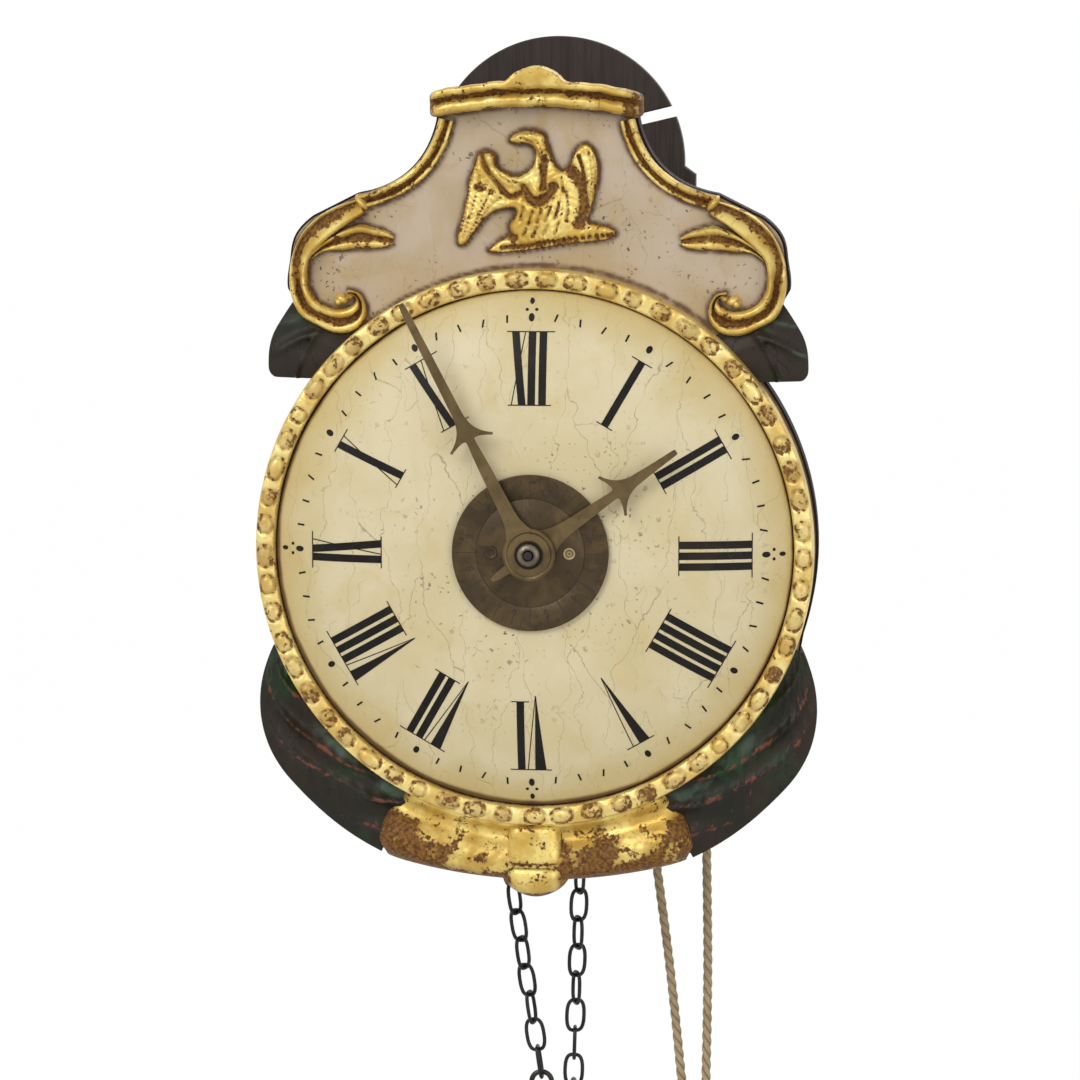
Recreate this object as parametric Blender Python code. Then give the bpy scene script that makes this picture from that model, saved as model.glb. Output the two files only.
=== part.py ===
"""Black Forest shield clock with alarm: carved shield, wooden frame, four-wheel train, chain and rope.

Metres, +Z up, -Y towards the viewer. The origin is on the wall, behind the centre of the dial.
"""

import math

import bmesh
import bpy
from mathutils import Vector
from mathutils.geometry import tessellate_polygon

# Fits
SEAT = 0.0003
RUN = 0.0003

# Shield and its carvings
SHIELD_T = 0.014
SHIELD_EDGE = 0.0015
RING_R = 0.1114
RING_W = 0.0100
RING_H = 0.0145
DIAL_EDGE_H = 0.0095
DIAL_CROWN_H = 0.0255
CORNICE_HALF_W = 0.0424
CORNICE_H = 0.0105
CORNICE_D = 0.012
CORNICE_RISE = 0.058
CORNICE_ARCH = 0.0062
CREST_KNOB_H = 0.0058
CREST_KNOB_HALF_W = 0.0115
MOULDING_W = 0.0062
FLANK_OUT = 0.0010
FLANK_BOARD_OUT = 0.0052
MOULDING_H = 0.0045
SCROLL_W = 0.0088
SCROLL_H = 0.0070
LOBE_STANDOFF = 0.0163
LOBE_ANGLE = math.radians(37.4)
LOBE_R = 0.0176
FLANK_TOP_INSET = 0.0075
FLANK_BEND_INSET = 0.0020
FLANK_BEND_DROP = 0.0270
FLANK_FOOT_INSET = 0.0075
FLANK_FOOT_RISE = 0.0345
EAGLE_HALF_W = 0.0305
EAGLE_VOXEL = 0.0011
EAGLE_RISE = 0.0265
EAGLE_D = 0.0075
LEAF_REACH = 0.0190
LEAF_H = 0.0060
FOLIAGE_REACH = 0.0280
FOLIAGE_H = 0.0090
CARTOUCHE_REACH = 0.0206
CARTOUCHE_H = 0.0130
CARTOUCHE_HALF_ANGLE = math.radians(26.5)
KNOP_R = 0.0122
KNOP_D = 0.0160

# Case
BACKBOARD_T = 0.008
FRAME_HALF_W = 0.0574
FRAME_DEPTH = 0.0753
FRAME_TOP_Z = 0.104
FRAME_BOTTOM_Z = -0.092
BOARD_T = 0.008
ARCH_R = 0.0533
ARCH_Z = 0.1493
SHOULDER_Z = 0.1455
NOTCH_W = 0.0055
NOTCH_DEPTH = 0.018
NOTCH_Z = 0.0215
NOTCH_SLOPE = math.radians(13.5)
PLATE_T = 0.006
PLATE_W = 0.034
STRIP_W = 0.013
PENDULUM_SPACE = 0.014
PLATE_SETBACK = 0.0113
DOOR_T = 0.004
DOOR_PIN_R = 0.0015

# Going train
TRAIN_X = -0.007
GREAT_R = 0.0305
SECOND_R = 0.0255
THIRD_R = 0.0235
ESCAPE_R = 0.0150
MINUTE_WHEEL_R = 0.0192
GREAT_TEETH = 48
SECOND_TEETH = 36
THIRD_TEETH = 36
ESCAPE_TEETH = 30
PINION_LEAVES = 6
MINUTE_WHEEL_TEETH = 32
DRIVE_LEAVES = 8
WHEEL_T = 0.002
SPOKE_W = 0.0025
PINION_LENGTH = 0.006
TOOTH_TIP = 0.60
LEAF_TIP = 0.40
TOOTH_ROOT = 1.00
ARBOR_R = 0.0016
PIVOT_R = 0.0010
GREAT_PLANE = 0.0080
CHAIN_PLANE = 0.0195
SECOND_PLANE = 0.0310
THIRD_PLANE = 0.0180
ESCAPE_PLANE = 0.0060
ANCHOR_RISE = 0.0100
ANCHOR_CLEARANCE = 0.0014
CRUTCH_LENGTH = 0.045
PALLET_D = 0.0038
FORK_WALL = 0.0016
FORK_ROOT = 0.0030
FORK_H = 0.0024
EYE_WALL = 0.0016
PENDULUM_SWING = 0.012
PENDULUM_LENGTH = 0.181
BOB_R = 0.0130
BOB_T = 0.0050
ROD_W = 0.0022
ROD_T = 0.0016
STUD_R = 0.0012

# Motion work, hands and alarm disc
MOTION_MODULE = 0.00115
MINUTE_LEAVES = 10
INTERMEDIATE_TEETH = 30
INTERMEDIATE_LEAVES = 8
HOUR_TEETH = 32
MOTION_T = 0.0016
MOTION_STEP = 0.0024
CENTRE_STUD_R = 0.0017
MINUTE_PIPE_R = 0.0032
HOUR_PIPE_R = 0.0050
PIPE_WALL = 0.0012
ALARM_DISC_R = 0.0310
SHEET_T = 0.0012
HAND_STEP = 0.0026
MINUTE_HAND_LENGTH = 0.1100
HOUR_HAND_LENGTH = 0.0705
HAND_BOSS_R = 0.0100
POINTER_LENGTH = 0.0180
MINUTE_HAND_ANGLE = math.radians(-27.1)
HOUR_HAND_ANGLE = math.radians(54.5)
COLLET_R = 0.0060
COLLET_H = 0.0030
ARBOR_TIP_R = 0.0042

# Alarm work
ALARM_INSET = 0.0074
ALARM_Z = -0.045
ROPE_R = 0.0020
PULLEY_R = 0.0160
PULLEY_FLANGE = 0.0032
PULLEY_W = 0.0110
CROWN_R = 0.0120
CROWN_TEETH = 15
CROWN_TOOTH_H = 0.0030
CROWN_RIM = 0.0012
CROWN_PLANE = 0.0085
VERGE_R = 0.0010
VERGE_OFFSET_X = 0.0034
VERGE_OFFSET_Y = 0.0028
PALLET_REACH = 0.0022
PALLET_H = 0.0024
COCK_D = 0.007
COCK_H = 0.004
COCK_DROP = 0.008
HAMMER_Z = 0.0125
HAMMER_HEAD_R = 0.0036
HAMMER_T = 0.005
BELL_X = 0.014
BELL_R = 0.027
BELL_H = 0.021
BELL_WALL = 0.0018
BELL_RISE = 0.0070
BELL_POST_R = 0.0022
BELL_POST_FOOT = 0.0020
BELL_POST_SEAT = 0.0012
HAMMER_GAP = 0.0010

# Chain and rope
LINK_PITCH = 0.0118
LINK_W = 0.0089
WIRE_R = 0.0006
LINK_WELD = 0.00018
LINKS_ROUND = 12
RUN_LINKS = 15
LEFT_CHAIN_LEAN = math.radians(8.6)
RIGHT_CHAIN_LEAN = math.radians(-1.7)
ROPE_LEAN = math.radians(6.7)
ROPE_END_Z = -0.238
ROPE_BOW = 0.0006
KNOT_R = 0.0038
HOOK_WIRE_R = 0.0011
HOOK_R = 0.0042
RING_END_R = 0.0070

# Places along Y, from the wall to the front
FRAME_BACK_Y = -(BACKBOARD_T + SEAT)
FRAME_FRONT_Y = FRAME_BACK_Y - FRAME_DEPTH
SHIELD_BACK_Y = FRAME_FRONT_Y - SEAT
PANEL_Y = SHIELD_BACK_Y - SHIELD_T
REAR_PLATE_BACK_Y = FRAME_BACK_Y - PENDULUM_SPACE
REAR_PLATE_Y = REAR_PLATE_BACK_Y - PLATE_T
FRONT_PLATE_FRONT_Y = FRAME_FRONT_Y + PLATE_SETBACK
FRONT_PLATE_Y = FRONT_PLATE_FRONT_Y + PLATE_T

# Arbor places
SECOND_DISTANCE = GREAT_R * (1 + PINION_LEAVES / GREAT_TEETH)
THIRD_DISTANCE = SECOND_R * (1 + PINION_LEAVES / SECOND_TEETH)
ESCAPE_DISTANCE = THIRD_R * (1 + PINION_LEAVES / THIRD_TEETH)
DRIVE_DISTANCE = MINUTE_WHEEL_R * (1 + DRIVE_LEAVES / MINUTE_WHEEL_TEETH)
SECOND_Z = -math.sqrt(DRIVE_DISTANCE ** 2 - TRAIN_X ** 2)
GREAT_Z = SECOND_Z - SECOND_DISTANCE
THIRD_Z = SECOND_Z + THIRD_DISTANCE
ESCAPE_Z = THIRD_Z + ESCAPE_DISTANCE
ANCHOR_Z = ESCAPE_Z + ESCAPE_R + ANCHOR_RISE
MOTION_DISTANCE = MOTION_MODULE * (MINUTE_LEAVES + INTERMEDIATE_TEETH) / 2
CHAIN_R = LINK_PITCH * LINKS_ROUND / (2 * math.pi)
ALARM_X = FRAME_HALF_W - ALARM_INSET
RING_INNER_R = RING_R - RING_W

# Finishes: colour, roughness, metallic
FINISHES = {
    "gilt": ((0.66, 0.50, 0.19), 0.38, 0.85),
    "panel_paint": ((0.60, 0.46, 0.35), 0.60, 0.0),
    "dial_paint": ((0.78, 0.70, 0.49), 0.45, 0.0),
    "leaf_paint": ((0.03, 0.05, 0.035), 0.40, 0.0),
    "dark_wood": ((0.045, 0.032, 0.026), 0.65, 0.0),
    "beech": ((0.36, 0.22, 0.11), 0.60, 0.0),
    "brass": ((0.42, 0.32, 0.15), 0.40, 1.0),
    "iron": ((0.05, 0.05, 0.05), 0.50, 1.0),
    "bell_metal": ((0.50, 0.40, 0.22), 0.30, 1.0),
    "rope": ((0.42, 0.32, 0.20), 0.90, 0.0),
}


def clear_scene():
    """Removes every object of the scene that is open."""
    for obj in list(bpy.data.objects):
        bpy.data.objects.remove(obj, do_unlink=True)


def finish_of(name, kind):
    """A material of its own for one piece."""
    colour, roughness, metallic = FINISHES[kind]
    material = bpy.data.materials.new(name + "_finish")
    material.use_nodes = True
    shader = material.node_tree.nodes["Principled BSDF"]
    shader.inputs["Base Color"].default_value = (*colour, 1.0)
    shader.inputs["Roughness"].default_value = roughness
    shader.inputs["Metallic"].default_value = metallic
    return material


def mesh_of(name, shape):
    """A closed mesh with its faces pointing out, from points and faces in world space."""
    points, faces = shape
    mesh = bpy.data.meshes.new(name)
    mesh.from_pydata([tuple(p) for p in points], [], faces)
    work = bmesh.new()
    work.from_mesh(mesh)
    bmesh.ops.recalc_face_normals(work, faces=work.faces)
    work.to_mesh(mesh)
    work.free()
    return mesh


def piece(name, shape, kind, origin=(0.0, 0.0, 0.0)):
    """One named object whose origin sits at the given point."""
    mesh = shape if isinstance(shape, bpy.types.Mesh) else mesh_of(name, shape)
    mesh.name = name
    for vertex in mesh.vertices:
        vertex.co -= Vector(origin)
    mesh.shade_smooth()
    mesh.set_sharp_from_angle(angle=math.radians(35))
    obj = bpy.data.objects.new(name, mesh)
    obj.location = origin
    obj.data.materials.append(finish_of(name, kind))
    bpy.context.scene.collection.objects.link(obj)
    return obj


def polar(radius, angle, x=0.0, z=0.0):
    """A point of the dial plane, with the angle clockwise from twelve o'clock."""
    return (x + radius * math.sin(angle), z + radius * math.cos(angle))


def arc(radius, start, end, steps, x=0.0, z=0.0):
    """Points along an arc, both ends included."""
    return [polar(radius, start + (end - start) * i / steps, x, z) for i in range(steps + 1)]


def round_hole(x, z, radius, sides=10):
    """A hole's outline whose flats, not its corners, lie at the radius."""
    outer = radius / math.cos(math.pi / sides)
    return [polar(outer, 2 * math.pi * i / sides, x, z) for i in range(sides)]


def box_outline(low_x, low_z, high_x, high_z):
    """A rectangle's four corners."""
    return [(low_x, low_z), (high_x, low_z), (high_x, high_z), (low_x, high_z)]


def on_plane(plane, a, b, level):
    """A point of a flat outline lifted into space."""
    if plane == "XZ":
        return (a, level, b)
    if plane == "XY":
        return (a, b, level)
    return (level, a, b)


def prism(outline, holes, low, high, plane="XZ"):
    """A flat outline with holes, given a thickness square to its plane."""
    loops = [outline, *holes]
    flat = [Vector((a, b, 0.0)) for loop in loops for a, b in loop]
    cells = tessellate_polygon([[Vector((a, b, 0.0)) for a, b in loop] for loop in loops])
    count = len(flat)
    points = [on_plane(plane, p.x, p.y, low) for p in flat]
    points += [on_plane(plane, p.x, p.y, high) for p in flat]
    faces = [tuple(cell) for cell in cells]
    faces += [tuple(count + i for i in reversed(cell)) for cell in cells]
    first = 0
    for loop in loops:
        for i in range(len(loop)):
            a = first + i
            b = first + (i + 1) % len(loop)
            faces.append((a, b, count + b, count + a))
        first += len(loop)
    return points, faces


def lathe(stations, centre, angles, axis="Y", hollow=False):
    """Rings along an axis. A station is a place and a radius, or a radius for each angle in turn."""
    points = []
    for place, radii in stations:
        for i, angle in enumerate(angles):
            radius = radii[i % len(radii)] if isinstance(radii, (list, tuple)) else radii
            a = centre[0] + radius * math.sin(angle)
            b = centre[1] + radius * math.cos(angle)
            points.append((a, place, b) if axis == "Y" else (a, b, place))
    sides = len(angles)
    rings = len(stations)
    faces = []
    for k in range(rings if hollow else rings - 1):
        low = k * sides
        high = ((k + 1) % rings) * sides
        for i in range(sides):
            j = (i + 1) % sides
            faces.append((low + i, low + j, high + j, high + i))
    if not hollow:
        faces.append(tuple(range(sides)))
        faces.append(tuple(reversed(range((rings - 1) * sides, rings * sides))))
    return points, faces


def even(sides):
    """Evenly spaced angles round a circle."""
    return [2 * math.pi * i / sides for i in range(sides)]


def gear_radii(pitch_r, teeth, tip):
    """Root and tip radius of a toothed wheel, its tip height counted in modules."""
    module = 2 * pitch_r / teeth
    return pitch_r - TOOTH_ROOT * module, pitch_r + tip * module


def gear_outline(x, z, pitch_r, teeth, phase, tip):
    """The outline of a wheel with pointed teeth, one tooth centred on the phase angle."""
    low, high = gear_radii(pitch_r, teeth, tip)
    step = math.pi / teeth
    return [polar(low if i % 2 else high, phase + step * i, x, z) for i in range(2 * teeth)]


def crossings(x, z, hub_r, rim_r, bar, count=4):
    """The windows between a wheel's spokes."""
    windows = []
    for i in range(count):
        middle = 2 * math.pi * (i + 0.5) / count
        outer = math.pi / count - bar / rim_r
        inner = math.pi / count - bar / hub_r
        rim = arc(rim_r, middle - outer, middle + outer, 4, x, z)
        hub = arc(hub_r, middle + inner, middle - inner, 2, x, z)
        windows.append(rim + hub)
    return windows


def wheel(name, x, z, pitch_r, teeth, phase, low_y, origin_y, bore_r, window_bar=None):
    """A toothed brass wheel on its arbor."""
    holes = [round_hole(x, z, bore_r, 8)]
    if window_bar:
        root = gear_radii(pitch_r, teeth, TOOTH_TIP)[0]
        holes += crossings(x, z, 2.6 * bore_r, root - 1.3 * window_bar, window_bar)
    outline = gear_outline(x, z, pitch_r, teeth, phase, TOOTH_TIP)
    shape = prism(outline, holes, low_y, low_y - WHEEL_T)
    return piece(name, shape, "brass", (x, origin_y, z))


def smooth(points, steps):
    """A smooth curve through hand-chosen points, ends included."""
    ends = [points[0], *points, points[-1]]
    line = []
    for i in range(1, len(ends) - 2):
        p0, p1, p2, p3 = (Vector(p) for p in ends[i - 1 : i + 3])
        for k in range(steps):
            t = k / steps
            line.append(
                0.5
                * (
                    2 * p1
                    + (p2 - p0) * t
                    + (2 * p0 - 5 * p1 + 4 * p2 - p3) * t * t
                    + (3 * p1 - p0 - 3 * p2 + p3) * t ** 3
                )
            )
    line.append(Vector(points[-1]))
    return line


def bezier(a, b, c, steps):
    """Points of a curve from a to c, drawn towards b."""
    line = []
    for i in range(steps + 1):
        t = i / steps
        line.append(Vector(a) * (1 - t) ** 2 + Vector(b) * 2 * t * (1 - t) + Vector(c) * t * t)
    return line


def moulding(path, widths, heights, base_y):
    """A half-round carving that follows a path on the shield, flat at the back."""
    section = [(-0.5, 0.0), (-0.42, 0.62), (0.0, 1.0), (0.42, 0.62), (0.5, 0.0)]
    points = []
    for i, place in enumerate(path):
        ahead = path[min(i + 1, len(path) - 1)] - path[max(i - 1, 0)]
        across = Vector((ahead[1], -ahead[0])).normalized()
        for u, v in section:
            spot = place + across * (u * widths[i])
            points.append((spot[0], base_y - v * heights[i], spot[1]))
    size = len(section)
    faces = []
    for i in range(len(path) - 1):
        for k in range(size):
            a = i * size + k
            b = i * size + (k + 1) % size
            faces.append((a, b, b + size, a + size))
    faces.append(tuple(range(size)))
    faces.append(tuple(reversed(range(len(points) - size, len(points)))))
    return points, faces


def relief(across, along, place, base_y):
    """A carved patch: a grid of front points from a formula, closed by one flat back face."""
    points = []
    for i in range(across + 1):
        for k in range(along + 1):
            x, height, z = place(i / across, k / along)
            points.append((x, base_y - height, z))
    wide = along + 1
    faces = []
    for i in range(across):
        for k in range(along):
            a = i * wide + k
            faces.append((a, a + 1, a + wide + 1, a + wide))
    rim = [k for k in range(along)]
    rim += [along + i * wide for i in range(across)]
    rim += [across * wide + along - k for k in range(along)]
    rim += [(across - i) * wide for i in range(across)]
    first = len(points)
    points += [(points[i][0], base_y, points[i][2]) for i in rim]
    for k, a in enumerate(rim):
        after = (k + 1) % len(rim)
        faces.append((a, rim[after], first + after, first + k))
    faces.append(tuple(range(first, first + len(rim))))
    return points, faces


def joined(*shapes):
    """Several shapes as one list of points and faces."""
    points = []
    faces = []
    for more_points, more_faces in shapes:
        first = len(points)
        points += more_points
        faces += [tuple(first + i for i in face) for face in more_faces]
    return points, faces


def union(name, *shapes):
    """One closed mesh from shapes that overlap."""
    parts = []
    for i, shape in enumerate(shapes):
        part = bpy.data.objects.new(f"{name}_{i}", mesh_of(f"{name}_{i}", shape))
        bpy.context.scene.collection.objects.link(part)
        parts.append(part)
    for other in parts[1:]:
        join = parts[0].modifiers.new("join", "BOOLEAN")
        join.operation = "UNION"
        join.solver = "EXACT"
        join.object = other
    graph = bpy.context.evaluated_depsgraph_get()
    mesh = bpy.data.meshes.new_from_object(parts[0].evaluated_get(graph))
    for part in parts:
        bpy.data.objects.remove(part, do_unlink=True)
    return mesh


# Shield


def lobe_eye():
    """The eye of the right scroll."""
    return Vector(polar(RING_R + LOBE_STANDOFF, LOBE_ANGLE))


def cornice_foot():
    """Height of the cornice's underside at its ends."""
    return RING_R + CORNICE_RISE


def scroll_path():
    """The right scroll from its leaf tip round the lobe to the eye, with its width at each point."""
    route = [
        (-1.100, 1.160, 0.20),
        (-0.500, 1.360, 0.62),
        (0.159, 1.550, 1.00),
        (0.773, 1.165, 0.95),
        (0.955, 0.614, 0.78),
        (1.000, 0.000, 0.74),
        (0.602, -0.432, 0.74),
        (0.000, -0.568, 0.72),
        (-0.443, -0.318, 0.60),
        (-0.500, 0.114, 0.50),
        (-0.182, 0.284, 0.40),
        (0.000, 0.057, 0.36),
    ]
    eye = lobe_eye()
    line = smooth([(eye[0] + LOBE_R * x, eye[1] + LOBE_R * z, w) for x, z, w in route], 2)
    return [Vector((p[0], p[1])) for p in line], [p[2] * SCROLL_W for p in line]


def flank_curve(outward, steps):
    """The concave flank from the cornice down to the lobe, moved outwards by a distance."""
    eye = lobe_eye()
    foot = cornice_foot()
    start = (CORNICE_HALF_W - FLANK_TOP_INSET + outward, foot - SEAT)
    drawn = (CORNICE_HALF_W - FLANK_BEND_INSET + outward, foot - FLANK_BEND_DROP + 0.4 * outward)
    end = (eye[0] - FLANK_FOOT_INSET + 0.3 * outward, eye[1] + FLANK_FOOT_RISE + 0.8 * outward)
    return bezier(start, drawn, end, steps)


def leaf_standoff(angle):
    """How far the upper leaf stands out of the ring at an angle in degrees from the top."""
    t = (angle - 45.0) / 15.5
    return LEAF_REACH * (0.50 + 1.9 * t * (1 - t) + 0.05 * t)


def foliage_standoff(angle):
    """How far the lower foliage stands out of the ring at an angle in degrees from the top."""
    t = (angle - 110.0) / 24.0
    if t < 1:
        return FOLIAGE_REACH * (1 - (1 - t) ** 2)
    return FOLIAGE_REACH * (1 - 0.12 * ((angle - 134.0) / 19.0) ** 2)


LEAF_ANGLES = (45.0, 60.5)
FOLIAGE_ANGLES = (111.5, 180.0 - math.degrees(CARTOUCHE_HALF_ANGLE))


def sector(angles, standoff, inset, steps):
    """Outline points of a carving that stands out of the ring."""
    low, high = angles
    spots = [low + (high - low) * i / steps for i in range(steps + 1)]
    return [polar(RING_R + standoff(a) - inset, math.radians(a)) for a in spots]


def shield_half_outline():
    """The right half of the shield's outline, from the crest down to the knop."""
    path, widths = scroll_path()
    lobe = []
    for i in range(5, 13):
        ahead = path[i + 1] - path[i - 1]
        across = Vector((-ahead[1], ahead[0])).normalized()
        spot = path[i] + across * (widths[i] / 2 + SHIELD_EDGE)
        lobe.append((spot[0], spot[1]))
    crest_x = CORNICE_HALF_W - 2 * SHIELD_EDGE
    half = [(crest_x, cornice_foot() + CORNICE_H - SHIELD_EDGE)]
    half += [(p[0], p[1]) for p in flank_curve(FLANK_BOARD_OUT, 5)]
    half += lobe
    half += sector(LEAF_ANGLES, leaf_standoff, SHIELD_EDGE, 5)
    half += arc(RING_R - 3 * SHIELD_EDGE, math.radians(64), math.radians(108), 6)
    half += sector(FOLIAGE_ANGLES, foliage_standoff, SHIELD_EDGE, 8)
    low = math.pi - CARTOUCHE_HALF_ANGLE + 0.02
    half += arc(RING_R + CARTOUCHE_REACH - SHIELD_EDGE, low, math.pi, 4)
    return half


def build_shield():
    """The board, dial, ring and every carving on the shield's front."""
    seat_y = PANEL_Y - SEAT
    half = shield_half_outline()
    outline = half + [(-x, z) for x, z in reversed(half[:-1])]
    bore = round_hole(0.0, 0.0, HOUR_PIPE_R + 3 * RUN, 12)
    piece("shield_board", prism(outline, [bore], SHIELD_BACK_Y, PANEL_Y), "panel_paint")

    dial_r = RING_INNER_R - SEAT
    bore_r = HOUR_PIPE_R + 3 * RUN
    rise = DIAL_CROWN_H - DIAL_EDGE_H
    stations = [(seat_y, bore_r)]
    for share in (0.5, 0.74, 0.89, 1.0):
        height = DIAL_EDGE_H + rise * (1 - share ** 4)
        stations.append((PANEL_Y - height, dial_r * share))
    stations.insert(1, (PANEL_Y - DIAL_CROWN_H, bore_r))
    stations.append((seat_y, dial_r))
    dial = lathe(stations, (0.0, 0.0), even(40), hollow=True)
    piece("dial", dial, "dial_paint")

    profile = [(1.0, 0.0), (1.0, 0.62), (0.80, 0.90), (0.45, 1.0), (0.06, 0.76), (0.0, 0.0)]
    stations = [(seat_y - v * (RING_H - SEAT), RING_INNER_R + u * RING_W) for u, v in profile]
    piece("bezel_ring", lathe(stations, (0.0, 0.0), even(48), hollow=True), "gilt")

    build_cornice(seat_y)
    build_scrolls(seat_y)
    build_foliage(seat_y)
    build_cartouche(seat_y)
    build_eagle(seat_y)


def build_cornice(seat_y):
    """The arched crest moulding with its knob."""
    foot = cornice_foot()
    profile = [(0.0, 0.0), (0.55, 0.0), (0.80, 0.16), (0.80, 0.34), (0.52, 0.50), (0.72, 0.62), (1.0, 0.78)]
    profile += [(0.96, 1.0), (0.0, 1.0)]
    count = 14
    points = []
    for i in range(count + 1):
        t = 2 * i / count - 1
        arch = CORNICE_ARCH * (1 - t * t)
        reach = CORNICE_HALF_W * t
        knob = CREST_KNOB_H * max(0.0, 1 - (reach / CREST_KNOB_HALF_W) ** 2)
        end = 0.72 if i in (0, count) else 1.0
        for depth, height in profile:
            lift = knob if height == 1.0 else 0.0
            z = foot + arch + CORNICE_H * height + lift
            points.append((reach, seat_y - CORNICE_D * depth * end, z))
    size = len(profile)
    faces = []
    for i in range(count):
        for k in range(size):
            a = i * size + k
            b = i * size + (k + 1) % size
            faces.append((a, b, b + size, a + size))
    faces.append(tuple(range(size)))
    faces.append(tuple(reversed(range(count * size, (count + 1) * size))))
    piece("crest_cornice", (points, faces), "gilt")


def build_scrolls(seat_y):
    """The flank mouldings and acanthus scrolls, left and right."""
    path, widths = scroll_path()
    heights = [SCROLL_H * (0.45 + 0.55 * w / SCROLL_W) for w in widths]
    flank = flank_curve(FLANK_OUT, 6)
    for side, label in ((1, "right"), (-1, "left")):
        line = [Vector((side * p[0], p[1])) for p in path]
        piece("scroll_" + label, moulding(line, widths, heights, seat_y), "gilt")
        line = [Vector((side * p[0], p[1])) for p in flank]
        sizes = [MOULDING_W] * len(line)
        piece("flank_moulding_" + label, moulding(line, sizes, [MOULDING_H] * len(line), seat_y), "gilt")


def build_foliage(seat_y):
    """The dark leaves that stand out of the ring, above and below."""

    def patch(angles, standoff, height, folds, side):
        low, high = angles

        def place(u, v):
            angle = low + (high - low) * u
            reach = SEAT + (standoff(angle) - SEAT) * v
            x, z = polar(RING_R + reach, math.radians(angle))
            fold = 0.18 * math.cos(folds * 2 * math.pi * (u - 0.35 * v))
            swell = 0.50 + 0.50 * math.sin(math.pi * min(1.0, 0.25 + 0.75 * v)) - 0.25 * v
            return side * x, height * (swell + fold * math.sin(math.pi * v)), z

        return place

    for side, label in ((1, "right"), (-1, "left")):
        place = patch(LEAF_ANGLES, leaf_standoff, LEAF_H, 1.5, side)
        piece("side_leaf_" + label, relief(8, 4, place, seat_y), "leaf_paint")
        angles = (FOLIAGE_ANGLES[0], FOLIAGE_ANGLES[1] - math.degrees(SEAT / RING_R))
        place = patch(angles, foliage_standoff, FOLIAGE_H, 2.5, side)
        piece("foliage_" + label, relief(14, 5, place, seat_y), "leaf_paint")


def build_cartouche(seat_y):
    """The gilt cartouche under the ring, with its knop."""
    profile = [(0.0, 0.60), (0.10, 0.78), (0.26, 0.58), (0.42, 0.62)]
    profile += [(0.58, 0.90), (0.76, 1.0), (0.92, 0.80), (1.0, 0.40)]
    levels = [(SEAT / CARTOUCHE_REACH + u * (1 - SEAT / CARTOUCHE_REACH), h) for u, h in profile]

    def place(u, v):
        angle = math.pi + CARTOUCHE_HALF_ANGLE * (2 * u - 1)
        reach, height = levels[round(v * (len(levels) - 1))]
        x, z = polar(RING_R + CARTOUCHE_REACH * reach, angle)
        return x, CARTOUCHE_H * height, z

    band = relief(12, len(levels) - 1, place, seat_y)
    centre = (0.0, -(RING_R + CARTOUCHE_REACH) + 0.3 * KNOP_R)
    steps = [(0.0, 1.0), (0.45, 0.92), (0.78, 0.66), (0.96, 0.30)]
    stations = [(seat_y - KNOP_D * h, KNOP_R * r) for h, r in steps]
    knop = lathe(stations, centre, even(16))
    piece("cartouche", union("cartouche", band, knop), "gilt")


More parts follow.
